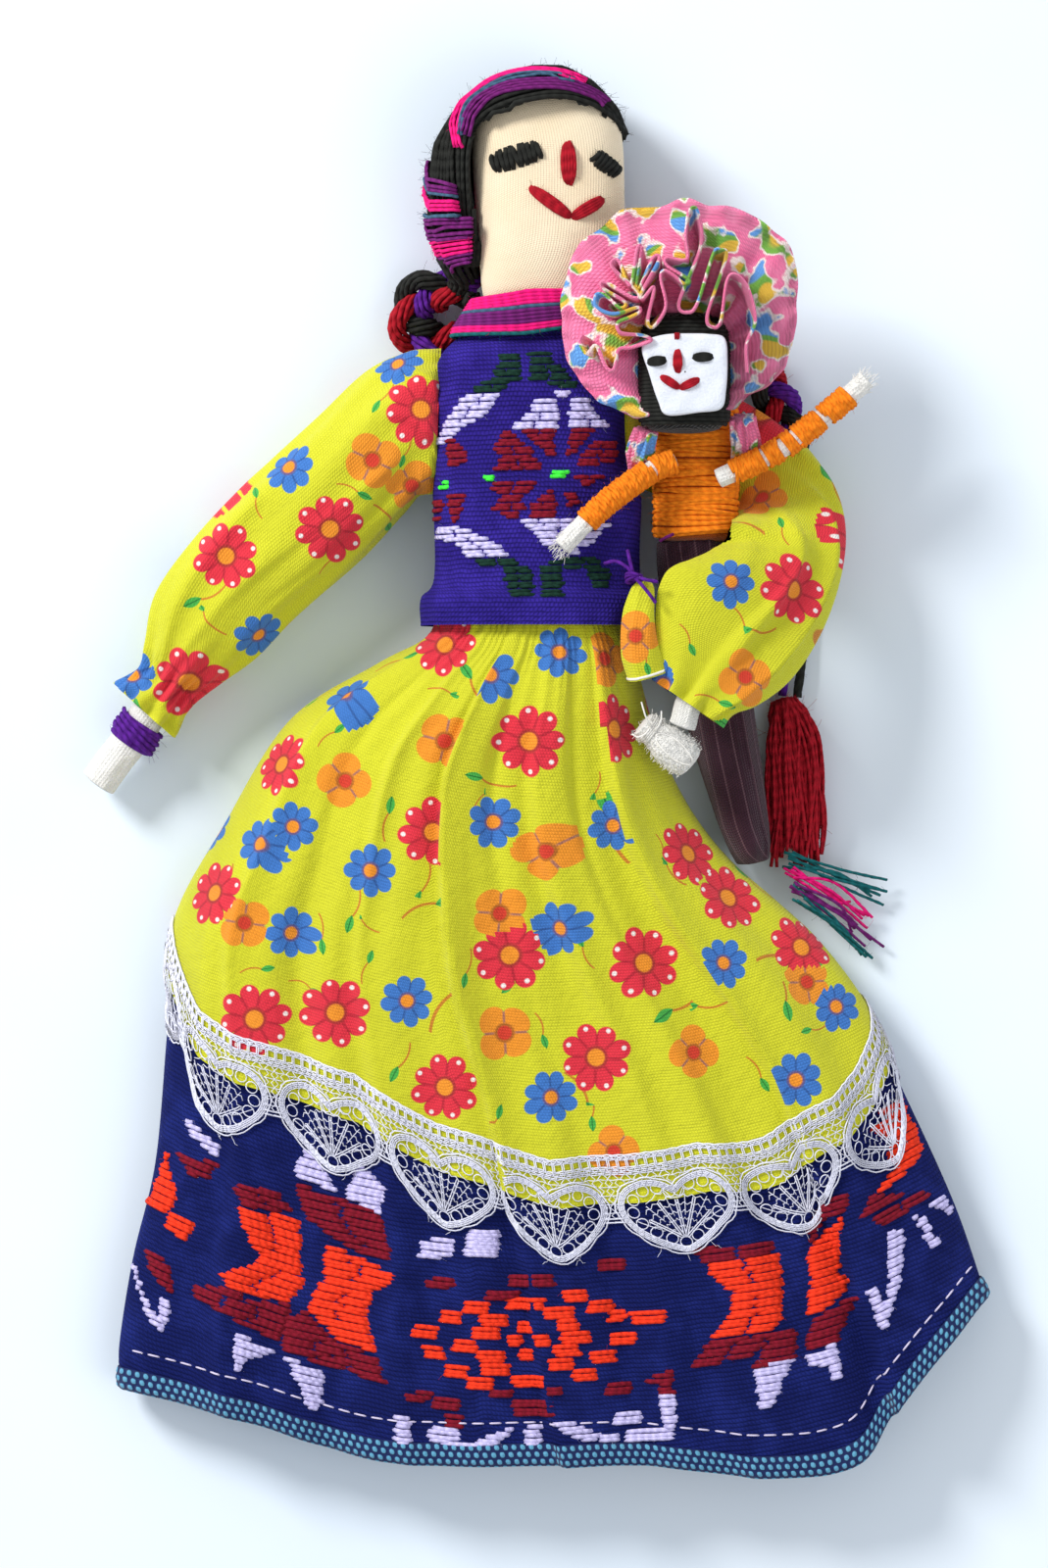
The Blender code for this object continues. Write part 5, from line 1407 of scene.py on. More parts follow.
# Outlines in the picture of the figures on the underskirt
SKIRT_FIGURES = {
    "orange": [
        [(247, 1226), (307, 1241), (312, 1303), (299, 1324), (265, 1318), (232, 1307), (226, 1293),
         (261, 1287), (268, 1276), (257, 1261), (249, 1241)],
        [(335, 1266), (368, 1276), (406, 1297), (381, 1314), (376, 1333), (387, 1375), (345, 1360),
         (314, 1329), (330, 1303)],
        [(173, 1173), (167, 1196), (144, 1226), (142, 1249), (169, 1245), (192, 1263), (203, 1245),
         (177, 1234), (182, 1215), (175, 1188)],
        [(718, 1283), (790, 1275), (795, 1300), (795, 1342), (780, 1352), (723, 1359), (742, 1335),
         (745, 1314), (721, 1293)],
        [(819, 1273), (854, 1237), (852, 1293), (862, 1304), (855, 1318), (835, 1331), (819, 1337),
         (824, 1300)],
        [(890, 1132), (917, 1118), (935, 1145), (941, 1166), (931, 1183), (907, 1204), (888, 1216),
         (910, 1187), (900, 1176), (912, 1159), (893, 1154), (883, 1149), (904, 1139)],
    ],
    "maroon": [
        [(238, 1203), (284, 1211), (303, 1234), (253, 1226)],
        [(303, 1203), (389, 1232), (402, 1280), (368, 1274), (314, 1238)],
        [(201, 1307), (230, 1307), (265, 1322), (299, 1326), (288, 1364), (249, 1345), (200, 1318)],
        [(291, 1341), (314, 1333), (345, 1364), (387, 1379), (395, 1406), (333, 1387), (291, 1372)],
        [(182, 1173), (226, 1184), (215, 1199), (196, 1196)],
        [(148, 1270), (178, 1287), (178, 1316), (157, 1295)],
        [(697, 1268), (790, 1263), (783, 1273), (718, 1283)],
        [(704, 1390), (721, 1362), (766, 1355), (809, 1350), (809, 1380), (766, 1390), (773, 1373),
         (735, 1383)],
        [(819, 1373), (824, 1342), (859, 1321), (871, 1318), (852, 1362)],
        [(886, 1214), (952, 1214), (928, 1228), (900, 1245), (873, 1238)],
        [(842, 1218), (862, 1214), (859, 1232), (838, 1238), (824, 1263), (821, 1245)],
        [(652, 1405), (683, 1390), (685, 1416), (673, 1416), (671, 1404)],
        block(497, 1311, 514, 1321),
        block(521, 1295, 566, 1306),
        block(609, 1280, 637, 1290),
        block(502, 1411, 523, 1419),
        block(523, 1421, 563, 1438),
        block(559, 1407, 573, 1416),
        block(618, 1405, 642, 1416),
        block(416, 1414, 441, 1423),
        block(443, 1421, 469, 1431),
        block(456, 1437, 471, 1450),
        block(498, 1310, 529, 1320),
        block(437, 1299, 464, 1308),
    ],
    "lilac": [
        [(318, 1165), (349, 1213), (307, 1197), (303, 1190)],
        [(353, 1215), (389, 1234), (395, 1207), (368, 1184)],
        [(242, 1354), (284, 1374), (253, 1383), (242, 1393)],
        [(293, 1379), (332, 1396), (328, 1433), (318, 1433)],
        [(136, 1268), (142, 1307), (155, 1341), (169, 1356), (177, 1322), (169, 1320), (163, 1341),
         (146, 1314)],
        [(194, 1138), (226, 1165), (222, 1176), (196, 1153)],
        [(406, 1439), (418, 1439), (420, 1467), (437, 1469), (437, 1477), (404, 1475)],
        [(444, 1465), (483, 1467), (519, 1450), (521, 1456), (487, 1477), (444, 1477)],
        [(766, 1386), (807, 1380), (783, 1428), (773, 1431)],
        [(817, 1380), (850, 1364), (855, 1400), (847, 1402), (845, 1386), (828, 1388)],
        [(941, 1228), (962, 1216), (969, 1235), (955, 1228)],
        [(929, 1237), (938, 1238), (955, 1266), (947, 1268)],
        [(902, 1252), (919, 1249), (916, 1293), (900, 1349), (893, 1345), (881, 1309), (888, 1309),
         (898, 1328), (905, 1300), (902, 1273)],
        [(673, 1416), (687, 1416), (688, 1462), (637, 1464), (637, 1454), (675, 1452)],
        [(561, 1445), (580, 1443), (611, 1455), (609, 1463), (590, 1461)],
        [(526, 1450), (487, 1462), (480, 1476), (501, 1469)],
        block(537, 1447, 551, 1469),
        block(609, 1456, 632, 1464),
        block(625, 1435, 652, 1446),
        block(480, 1249, 509, 1273),
        block(439, 1450, 469, 1465),
        block(429, 1259, 464, 1278),
        block(475, 1253, 509, 1276),
    ],
}
SKIRT_FIGURES["orange"] += bars(DIAMOND_CENTRE, DIAMOND, 5.6)


def row_slope(px):
    """The rows of the weave follow the hem, which falls to the middle and climbs again."""
    return np.interp(px, (140, 300, 430, 540, 700, 820, 900, 960),
                     (-0.5, -0.28, -0.12, 0.02, 0.08, 0.2, 0.5, 0.55))


def make_skirt_brocade(surface):
    for name, polygons in SKIRT_FIGURES.items():
        strands = Strands()
        for polygon in polygons:
            middle = sum(x for x, _ in polygon) / len(polygon)
            outline = [at(x, y) for x, y in polygon]
            fill_with_stitches(strands, surface, outline, float(row_slope(middle)))
        fuzz(strands, 260, 0.9)
        strands.build("skirt_figures_" + name, FIGURE_WOOLS[name], "navy_wool")


# Lace: threads laid out flat, with u along the hem and w down from the top, then put on the skirt

LACE_TOP = 0.0525


class HemMap:
    """Puts points of the flat lace on the skirt."""

    def __init__(self):
        self.angles = np.linspace(0, TURN, 1441)
        top = hem_share(self.angles) - LACE_TOP
        line = skirt(self.angles, top, 2.7)
        self.run = run_along(line)
        self.length = self.run[-1]
        step = np.linalg.norm(skirt(self.angles, top + 0.02, 2.7) - line, axis=1)
        self.fall = step / 0.02

    def put(self, u, w, lift=0.0):
        u = np.mod(np.asarray(u, float), self.length)
        angle = np.interp(u, self.run, self.angles)
        fall = np.interp(u, self.run, self.fall)
        down = hem_share(angle) - LACE_TOP + w / fall
        # It lies on the overskirt and then, past that skirt's edge, drops towards the underskirt.
        drop = 1.0 * eased((w - LACE_TOP * fall - 1.0) / 6.0)
        return skirt(angle, down, 2.75 - drop + lift)


# Half of a scallop's edge, from the dip at its top to its point
HEART = [(0, 8.3), (2.6, 6.6), (6.2, 6.1), (9.6, 7.7), (10.9, 11.0), (9.7, 14.3), (6.8, 17.2),
         (3.3, 19.6), (0, 21.0)]
SCALLOP_WIDTH = 25.0


def lace_border(t):
    """The middle of a scallop's broad edge: a heart with its point down."""
    right = smooth_path(HEART, 40)
    left = right[::-1] * (-1, 1)
    loop = np.vstack([right, left[1:]])
    return np.stack([np.interp(t, np.linspace(0, 1, len(loop)), loop[:, k]) for k in (0, 1)], -1)


def make_lace():
    hem = HemMap()
    count = round(hem.length / SCALLOP_WIDTH)
    pitch = hem.length / count
    tip = np.interp(math.pi / 2 - 0.02, hem.angles, hem.run)
    solid, net = Strands(3, 0.0), Strands(3, 0.0)

    def thread(strands, u, w, radius, lift=0.0):
        strands.add(hem.put(u, np.asarray(w), lift), radius)

    around = np.linspace(0, hem.length, 320)
    for w, radius in ((0.0, 0.2), (0.34, 0.17), (0.7, 0.17), (1.0, 0.15), (2.5, 0.17), (2.85, 0.17),
                      (3.25, 0.17), (3.65, 0.17), (4.0, 0.15)):
        wave = 0.09 * np.sin(around * 3.3 + w * 9)
        thread(solid, around, w + wave, radius)
    zigzag = np.arange(0, hem.length, 0.7)
    thread(solid, zigzag, 0.5 + 0.42 * (-1.0) ** np.arange(len(zigzag)), 0.13, 0.12)
    thread(solid, zigzag, 3.25 + 0.7 * (-1.0) ** np.arange(len(zigzag)), 0.13, 0.12)
    for u in np.arange(0, hem.length, 1.9):
        for off in (-0.2, 0.16):
            thread(solid, np.full(4, u + off), np.linspace(0.7, 2.8, 4), 0.15, 0.05)
    for k in range(count):
        middle = tip + (k + 0.15) * pitch

        def laid(points, radius, lift=0.0, strands=net):
            points = np.asarray(points, float)
            thread(strands, middle + points[:, 0] * pitch / SCALLOP_WIDTH, points[:, 1], radius, lift)

        # The scallop's edge: rows of thread side by side, with zigzags sewn over them
        t = np.linspace(0, 1, 52)
        line = lace_border(t)
        outward = unit(np.gradient(line, axis=0))[:, ::-1] * (1, -1)
        centre = np.array((0, 12.5))
        outward *= np.sign(((line - centre) * outward).sum(axis=1))[:, None]
        for j, off in enumerate(np.linspace(-0.6, 0.75, 5)):
            bump = 0.4 * np.abs(np.sin(t * 44)) * (j == 4)
            laid(line + outward * (off + bump)[:, None], 0.19, 0.0, solid)
        fine = np.linspace(0, 1, 100)
        aside = np.stack([np.interp(fine, t, outward[:, c]) for c in (0, 1)], -1)
        aside *= (0.62 * (-1.0) ** np.arange(100))[:, None]
        laid(lace_border(fine) + aside, 0.13, 0.16, solid)
        # Ribs that fan out from the point, and finer threads across them
        foot = np.array((0, 18.6))
        for a in (-52, -24, 0, 24, 52):
            way = np.array((math.sin(math.radians(a)), -math.cos(math.radians(a))))
            reach = 8.4 if a == 0 else 8.8 if abs(a) == 24 else 7.4
            for off in (-0.22, 0.22):
                side = np.array((way[1], -way[0])) * off
                laid([foot + side + way * r for r in np.linspace(0.5, reach, 8)], 0.16, 0.05)
        for r in (2.6, 4.2, 5.8, 7.4, 9.0, 10.4):
            a = np.radians(np.linspace(-62, 62, 25))
            rr = r + 0.26 * (-1.0) ** np.arange(25)
            rr = np.minimum(rr, np.where(np.abs(a) < 0.15, 8.8, 99))
            points = foot + np.stack([rr * np.sin(a), -rr * np.cos(a)], -1)
            inside = np.hypot(points[:, 0] / 7.2, (points[:, 1] - 13.0) / 5.2) < 1.0
            if inside.sum() > 4:
                laid(points[inside], 0.11, 0.0)
        for a in (-60, -38, -12, 12, 38, 60):
            way = np.array((math.sin(math.radians(a)), -math.cos(math.radians(a))))
            laid([foot + way * r for r in np.linspace(5.0, 9.8 if abs(a) > 20 else 9.4, 6)], 0.11)
        # A row of round meshes just inside the scallop's edge
        a = np.linspace(0, TURN, 13)
        for spot in (lace_border(np.linspace(0.03, 0.97, 17)) - (0, 12.6)) * 0.8 + (0, 12.6):
            laid(spot + np.stack([1.12 * np.cos(a), 1.12 * np.sin(a)], -1), 0.14)
        # Net between the header and the scallops
        for j, u in enumerate(np.arange(-12.5, 12.5, 1.28)):
            top_of = 5.2 + 0.9 * abs(abs(u) - 5.4) / 5.4 if abs(u) < 10.4 else 13.2
            rows = np.arange(4.0, top_of + 0.6, 0.85)
            bend = 0.4 * (-1.0) ** (np.arange(len(rows)) + j)
            laid(np.stack([u + bend, rows], -1), 0.12)
        half = SCALLOP_WIDTH / 2
        laid([(u, 5.1 + 0.12 * (-1) ** i) for i, u in enumerate(np.linspace(-half, half, 22))], 0.11)
        for w in (6.6, 8.4, 10.2, 12.0, 13.2, 14.0):
            for s in (-1, 1):
                laid([(s * u, w) for u in np.linspace(10.6, half + 0.1, 4)], 0.2 if w > 13 else 0.12)
        # Loose ends at the point
        for _ in range(3):
            u0 = rng.uniform(-5, 5)
            w0 = HEART[-1][1] - abs(u0) * 0.35
            curl = rng.uniform(-1.8, 1.8)
            laid([(u0 + curl * s * s, w0 + 2.4 * s * rng.uniform(0.8, 1.2))
                  for s in np.linspace(0, 1, 7)], 0.06, -0.3)
    n = Nodes("white_lace_thread", roughness=0.8, sheen=0.2)
    fibre = n.noise(n.place(), 2.5, 2.0)
    n.colour(n.mix(fibre, srgb(222, 224, 248), srgb(248, 248, 255)))
    n.bump(fibre, 0.0001)
    edge = solid.build("lace_edging", n.material, "white_lace", ("lace_trim",))
    mesh = net.build("lace_net", n.material, "white_lace")
    return edge, mesh


# The woven edging round the underskirt's hem, with its rows of pale knots

def make_binding():
    angles = ring_angles(900)
    edge = skirt(angles, np.ones_like(angles), 0.5)
    inner = skirt(angles, np.full_like(angles, 0.975), 0.5)
    run = run_along(np.vstack([edge, edge[:1]]))
    outward = unit(edge - inner)
    normal = unit(skirt(angles, np.ones_like(angles), 1.5) - edge)
    profile = [(-3.1, 0.78), (-2.2, 1.1), (-1.2, 1.3), (-0.2, 1.4), (0.7, 1.3), (1.4, 0.9), (1.75, 0.2),
               (1.6, -0.5), (1.0, -1.0), (0.0, -1.25), (-1.0, -1.3), (-2.1, -1.1)]
    section = smooth_path(profile, 24)
    around = run_along(section)
    grid = (edge[None] + outward[None] * section[:, :1, None] + normal[None] * section[:, 1:, None])
    # Knots in lanes, each lane shifted by half a knot
    lane, knot_length = 1.5, 1.75
    shift = 0.5 * np.floor(around[:, None] / lane)
    bumpy = 0.5 + 0.5 * np.cos(TURN * (run[:-1][None] / knot_length + shift))
    bumpy *= np.abs(np.sin(math.pi * around[:, None] / lane))
    grid += normal[None] * (0.22 * bumpy * np.sign(section[:, 1:] + 0.01))[..., None]
    grid[..., 2] = np.maximum(grid[..., 2], 0.15)
    rows, columns = grid.shape[:2]
    u = np.broadcast_to(run[None], (rows, columns + 1))
    v = np.broadcast_to(around[:, None], (rows, columns + 1))
    n = Nodes("woven_edging", roughness=0.85, sheen=0.15)
    x, y = n.uv("weave")
    row = n.over(y, lane)
    shift = n.times(n.math("FLOOR", row), 0.5)
    turn = n.times(n.plus(n.over(x, knot_length), shift), TURN)
    knot = n.times(n.scaled(n.cosine(turn), 0.5, 0.5), n.wave(row, math.pi))
    fibre = n.noise(n.place(), 3.0, 3.0, 0.7)
    pale = n.between(n.scaled(fibre, 0.3, knot), 0.42, 0.72)
    shade = n.mix(fibre, srgb(60, 132, 176), srgb(120, 190, 216))
    n.colour(n.mix(pale, srgb(16, 34, 84), shade))
    n.bump(n.plus(knot, n.times(fibre, 0.6)), 0.0003)
    return make("hem_edging", grid, grid_faces(rows, columns, True), n.material,
                ("hem_binding",), {"weave": grid_uv(u, v, rows, columns, True)})


def make_hem_stitches():
    """A running stitch above the edging."""
    angles, above_hem = np.linspace(0.04, math.pi - 0.04, 900), 6.4
    line = skirt(angles, np.full_like(angles, 1.0 - above_hem / SKIRT_LENGTH), WOOL)
    run = run_along(line)
    strands = Strands()
    for start in np.arange(2, run[-1] - 4, 3.5):
        stops = start + np.linspace(0, 2.3 + rng.uniform(-0.2, 0.3), 5)
        path = np.stack([np.interp(stops, run, line[:, k]) for k in range(3)], -1)
        path[:, 2] += (-0.15, 0.12, 0.2, 0.12, -0.15)
        strands.add(path, 0.2)
    n = Nodes("pale_thread", roughness=0.7, sheen=0.1)
    n.colour(n.mix(n.noise(n.place(), 2.0), srgb(190, 180, 215), srgb(235, 225, 245)))
    strands.build("hem_stitches", n.material, "white_thread")


# Figures on the blouse, in the picture
BLOUSE_FIGURES = {
    "green": [
        [(510, 368), (529, 368), (531, 381), (533, 394), (522, 394), (512, 407), (485, 406), (488, 399),
         (504, 393), (508, 381)],
        [(539, 367), (561, 367), (563, 379), (573, 381), (584, 395), (590, 403), (567, 401), (555, 394),
         (541, 394)],
        [(488, 575), (522, 573), (531, 581), (543, 583), (543, 612), (520, 613), (514, 583), (488, 583)],
        [(551, 583), (573, 573), (604, 571), (612, 581), (622, 585), (620, 605), (604, 603), (596, 583),
         (573, 585), (573, 613), (552, 613)],
        [(645, 544), (665, 546), (661, 567), (647, 569)],
    ],
    "lilac": [
        [(476, 408), (508, 409), (500, 426), (482, 436), (463, 450), (439, 467), (439, 461), (461, 430)],
        [(547, 414), (569, 414), (568, 444), (524, 444), (527, 438), (541, 424)],
        [(581, 413), (599, 414), (608, 426), (618, 440), (604, 442), (579, 441)],
        [(565, 405), (580, 406), (578, 412), (570, 412)],
        [(529, 535), (569, 534), (571, 561), (553, 560), (543, 548)],
        [(573, 534), (622, 536), (608, 552), (604, 559), (590, 561), (590, 570), (578, 568), (571, 544)],
        [(445, 542), (465, 540), (484, 548), (502, 556), (522, 571), (476, 573), (469, 560), (445, 552)],
    ],
    "maroon": [
        [(514, 445), (522, 446), (531, 456), (543, 462), (543, 471), (553, 481), (551, 484), (504, 486),
         (508, 477), (516, 471), (504, 464), (508, 456)],
        [(504, 497), (551, 496), (541, 505), (531, 513), (535, 522), (527, 534), (518, 533), (504, 524),
         (506, 518), (514, 511), (502, 504)],
        [(535, 446), (565, 444), (565, 471), (559, 471), (553, 462), (543, 456)],
        [(580, 444), (606, 443), (596, 454), (588, 462), (580, 471)],
        [(594, 467), (606, 456), (627, 454), (627, 473), (604, 481), (588, 481)],
        [(586, 492), (618, 490), (596, 501)],
        [(539, 532), (543, 520), (559, 505), (569, 524), (567, 533)],
        [(578, 509), (586, 507), (590, 516), (580, 522)],
        [(457, 454), (465, 453), (478, 471), (476, 477), (457, 481)],
        [(437, 475), (457, 485), (459, 495), (437, 503)],
        [(457, 509), (477, 509), (467, 532), (465, 538), (459, 524)],
        [(442, 516), (453, 513), (449, 538), (442, 534)],
    ],
    "neon": [
        [(561, 486), (580, 484), (578, 491), (567, 494), (563, 492)],
        [(496, 490), (504, 490), (504, 496), (497, 496)],
        [(439, 505), (459, 495), (457, 503), (439, 514)],
    ],
}


def make_blouse_brocade(surface):
    for name, polygons in BLOUSE_FIGURES.items():
        strands = Strands()
        for polygon in polygons:
            outline = [at(x, y) for x, y in polygon]
            fill_with_stitches(strands, surface, outline, 0.02, pitch=0.82, thread=0.46, stitch=4.2)
        fuzz(strands, 30 if name == "neon" else 240, 1.0)
        strands.build("blouse_figures_" + name, FIGURE_WOOLS[name], "blouse_wool")


# Rolled and stuffed pieces

def muslin(name, colour, fluff):
    """Soft undyed cotton with an uneven, fluffy face."""
    n = Nodes(name, roughness=0.92, sheen=0.3)
    u, v = n.uv("weave")
    rough = n.noise(n.place(), 1.3, 4.0, 0.7)
    n.colour(n.mix(rough, darker(colour, 0.84), colour))
    n.bump(n.plus(n.times(weave_height(n, u, v, 0.7), 1 - fluff), n.times(rough, 1.6)), 0.0003)
    return n.material


COTTON = muslin("white_cotton", srgb(248, 246, 240), fluff=0.5)
UNDYED = muslin("undyed_cotton", srgb(236, 228, 210), fluff=0.3)


def thread_material(name, low, high):
    n = Nodes(name, roughness=0.8, sheen=0.2)
    fibre = n.noise(n.place(), 2.2, 3.0)
    n.colour(n.mix(fibre, low, high))
    n.bump(fibre, 0.0001)
    return n.material


COTTON_THREAD = thread_material("cotton_thread", srgb(226, 222, 214), srgb(252, 250, 246))


def tube_grid(path, radii, columns, lift, flat=1.0):
    """Rings round a path. lift(t, a) is how far the cloth stands out, t from 0 to 1."""
    side, up = frames(path)
    a = ring_angles(columns)[None]
    t = np.linspace(0, 1, len(path))[:, None]
    radii = np.broadcast_to(np.asarray(radii, float), len(path))[:, None]
    out = radii + lift(t, a)
    return (path[:, None] + side[:, None] * (out * np.cos(a))[..., None]
            + up[:, None] * (out * flat * np.sin(a))[..., None])


def rolled(name, route, radius, material, replaces, rows=90, seam=0.35):
    """Cloth rolled up tight, with the edge of the cloth along one side."""
    path = smooth_path(route, rows)

    def lift(t, a):
        edge = np.mod(a - 2.0 - 0.5 * t, TURN)
        return seam * np.exp(-edge * 3) + 0.12 * np.sin(7 * a + 9 * t) * np.sin(23 * t)
    grid = rounded_ends(tube_grid(path, radius, 44, lift), 5)
    return plain_grid(name, grid, material, replaces)


def windings(strands, route, start, stop, radius, pitch, thread, gaps=(), slant=0.3, flat=1.0):
    """Yarn wound round a path between two distances along it, past the gaps."""
    count = 240
    path = smooth_path(route, count)
    run = run_along(path)
    side, up = frames(path)
    part = []
    turns = (stop - start) / pitch
    for s in np.linspace(0, 1, int(turns * 18)):
        far = start + (stop - start) * s
        if any(a < far < b for a, b in gaps):
            if len(part) > 4:
                strands.add(part, thread)
            part = []
            continue
        k = min(int(np.searchsorted(run, far)), count - 1)
        a = TURN * turns * s
        ahead = path[min(k + 1, count - 1)] - path[max(k - 1, 0)]
        ahead = ahead / np.linalg.norm(ahead)
        centre = path[k] + (far - run[k]) * ahead
        reach = radius + 0.1 * math.sin(far * 2.1)
        part.append(centre + side[k] * reach * math.cos(a) + up[k] * reach * flat * math.sin(a)
                    + ahead * slant * math.cos(a))
    if len(part) > 4:
        strands.add(part, thread)


RIGHT_ARM = [(-21.4, 41.5, 12.4), (-33.6, 32.8, 11.4), (-49.4, 18.0, 10.4), (-66, 0.4, 8.8),
             (-73.4, -11.6, 7.2), (-79, -20, 6.6), (-84, -26.8, 5.8), (-87.6, -31.6, 5.2)]
RIGHT_WRIST = [(-78.2, -19.4, 6.6), (-80.4, -22.4, 6.3), (-82.2, -24.8, 6.0)]
LEFT_ARM = [(21.0, 40.8, 8.5), (34, 37, 5.6), (48.8, 29, 8.6), (53.6, 15.4, 16.6), (42.4, -1.4, 25.2),
            (33.4, -13, 26.8), (30.6, -20.2, 26.2)]
LEFT_HAND = [(23.0, -20.0, 26.5), (28.2, -24.4, 25.6), (32.0, -27.6, 24.4)]


def make_arms_and_hands():
    right = rolled("right_arm_roll", RIGHT_ARM, 3.75, COTTON, ("right_arm",), 150)
    left = rolled("left_arm_roll", LEFT_ARM, 2.7, COTTON, ("left_arm",), 110)
    wrist = Strands()
    windings(wrist, RIGHT_WRIST, 0.4, 5.4, 4.35, 0.85, 0.55)
    windings(wrist, RIGHT_WRIST, 1.0, 4.6, 4.9, 1.1, 0.5, slant=-0.8)
    fuzz(wrist, 90, 1.3)
    wrist.build("right_wrist_windings", WOOLS["violet"], "purple_yarn", ("right_wrist_yarn",))
    path = smooth_path(LEFT_HAND, 60)
    radii = np.interp(np.linspace(0, 1, 60), (0, 0.18, 0.4, 0.8, 1), (2.7, 2.7, 3.7, 3.9, 3.3))

    def fluff(t, a):
        return 0.16 * np.sin(13 * a + 5 * t) * np.sin(31 * t) + 0.1 * np.sin(29 * a) * np.cos(47 * t)
    grid = rounded_ends(tube_grid(path, radii, 60, fluff), 7)
    hand = plain_grid("left_hand_roll", grid, COTTON, ("left_hand",))
    top = Surface(hand)
    threads = Strands()
    a = np.linspace(0, TURN, 70)
    ahead = unit(np.array(LEFT_HAND[-1]) - np.array(LEFT_HAND[0]))[:2]
    aside = np.array((-ahead[1], ahead[0]))
    middle = np.array((29.0, -25.0))
    seam = [middle + ahead * 4.6 * math.cos(s) + aside * 1.7 * math.sin(s) for s in a]
    spots = [top.hit(*p) for p in seam]
    threads.add([s[0] + s[1] * 0.12 for s in spots if s is not None], 0.2)
    windings(threads, LEFT_HAND, 0.9, 2.6, 2.95, 0.42, 0.2)
    for end in ([(24.4, -20.9, 29.3), (23.2, -18.4, 30.8), (22.4, -15.6, 30.4)],
                [(24.9, -21.4, 29.3), (26.2, -19.8, 30.9), (26.4, -17.4, 30.6)],
                [(23.8, -21.6, 29.0), (21.8, -22.6, 29.2), (20.6, -22.0, 28.0)]):
        threads.add(smooth_path(end, 16), 0.18)
    fuzz(threads, 60, 0.8)
    threads.build("left_wrist_windings", COTTON_THREAD, "white_thread", ("left_wrist_thread",))
    hairs = Strands(4)
    for _ in range(420):
        k, j = rng.integers(3, 66), rng.integers(60)
        root = grid[k, j]
        out = unit(root - grid[k].mean(axis=0))
        drift = rng.normal(size=3) * 0.3
        hairs.add([root, root + out * 0.35 + drift * 0.5, root + out * 0.6 + drift], 0.045)
    hairs.build("left_hand_nap", COTTON_THREAD, "white_thread")
    return right, left, hand


CUFF_ROUTE = [(23.0, 8.9, 29.6), (22.6, 5.6, 30.2), (22.0, 0.4, 30.4), (22.2, -5.4, 30.2),
              (23.4, -10.6, 29.2)]
CUFF_PRINT = ([(646, 652, ORANGE), (632, 690, BLUE)], [(650, 660, 660, 690)])


def make_cuff():
    """The left sleeve's cuff, turned back beside the wrist, and the thread tied round it."""
    rows, columns = 80, 80
    path = smooth_path(CUFF_ROUTE, rows)
    wide = np.interp(np.linspace(0, 1, rows), (0, 0.12, 0.4, 0.8, 1), (0.9, 2.0, 3.1, 3.9, 3.9))

    def lift(t, a):
        return (0.22 * np.sin(9 * a + 2) * np.exp(-t * 5) + 0.3 * np.sin(3 * a + 4 * t)
                + 0.5 * np.exp(-((a - 1.2) / 0.25) ** 2) * eased(t * 3))
    grid = tube_grid(path, wide, columns, lift, flat=0.55)
    cuff = printed_cloth("cuff_fold_floral", grid, "cuff_fold", CUFF_PRINT)
    hem = Strands()
    last = grid[-3]
    hem.add(np.vstack([last, last[:1]]) + (0, 0, 0.1), 0.28)
    hem.build("cuff_hem", COTTON_THREAD, "white_thread")
    knot = Strands(6, 0.3)
    centre = np.array((20.9, 9.4, 31.0))
    for _ in range(5):
        a = np.linspace(0, TURN, 24)
        tilt = rng.uniform(-0.6, 0.6)
        loop = np.stack([1.5 * np.cos(a), 0.5 * np.sin(a) + tilt * np.cos(a), 1.1 * np.sin(a)], -1)
        knot.add(centre + loop + rng.normal(size=3) * 0.2, 0.34)
    for end in ([(21, 9.6, 31.4), (19.4, 11.4, 32.2), (17.2, 12.6, 30.6), (15.0, 12.2, 29.0)],
                [(20.8, 9.8, 31.4), (20.2, 12.0, 32.4), (19.6, 14.8, 30.8)],
                [(21.2, 9.2, 31.6), (22.6, 7.6, 33.2), (24.2, 5.6, 33.6), (25.2, 4.2, 33.2)],
                [(21.4, 9.4, 31.6), (23.4, 8.8, 33.6), (25.6, 8.4, 33.2)]):
        knot.add(smooth_path(end, 18), 0.36)
    fuzz(knot, 90, 0.9)
    knot.build("cuff_tie", WOOLS["violet"], "purple_yarn", ("cuff_knot",))
    return cuff


def make_body_and_legs():
    stations = [(-20, -9.84, 9.84, 9.3, 19.35), (-12, -15.58, 15.58, 5.9, 22.75)]
    stations += [(y, -l, r, low, high) for y, l, r, low, high in TORSO]
    grid = rounded_ends(section_grid(stations, 90, 90), 5)
    body = plain_grid("stuffed_body", grid, UNDYED, ("torso_core",))
    legs = []
    for name, x0, x1 in (("left_leg", 9.5, 14.5), ("right_leg", -9.5, -14.5)):
        route = [(x0, -20.4, 11.15), ((x0 + x1) / 2, -84, 10.1), (x1, -148.4, 9.05)]
        legs.append(rolled(name + "_roll", route, 5.25, UNDYED, (name,), 120, seam=0.5))
    return body, legs


# The baby

ORANGE_YARN = yarn("orange_wool_yarn", srgb(255, 134, 22), 2.0, 0.45, 0.35)
FACE_AT = (31.0, 50.6)


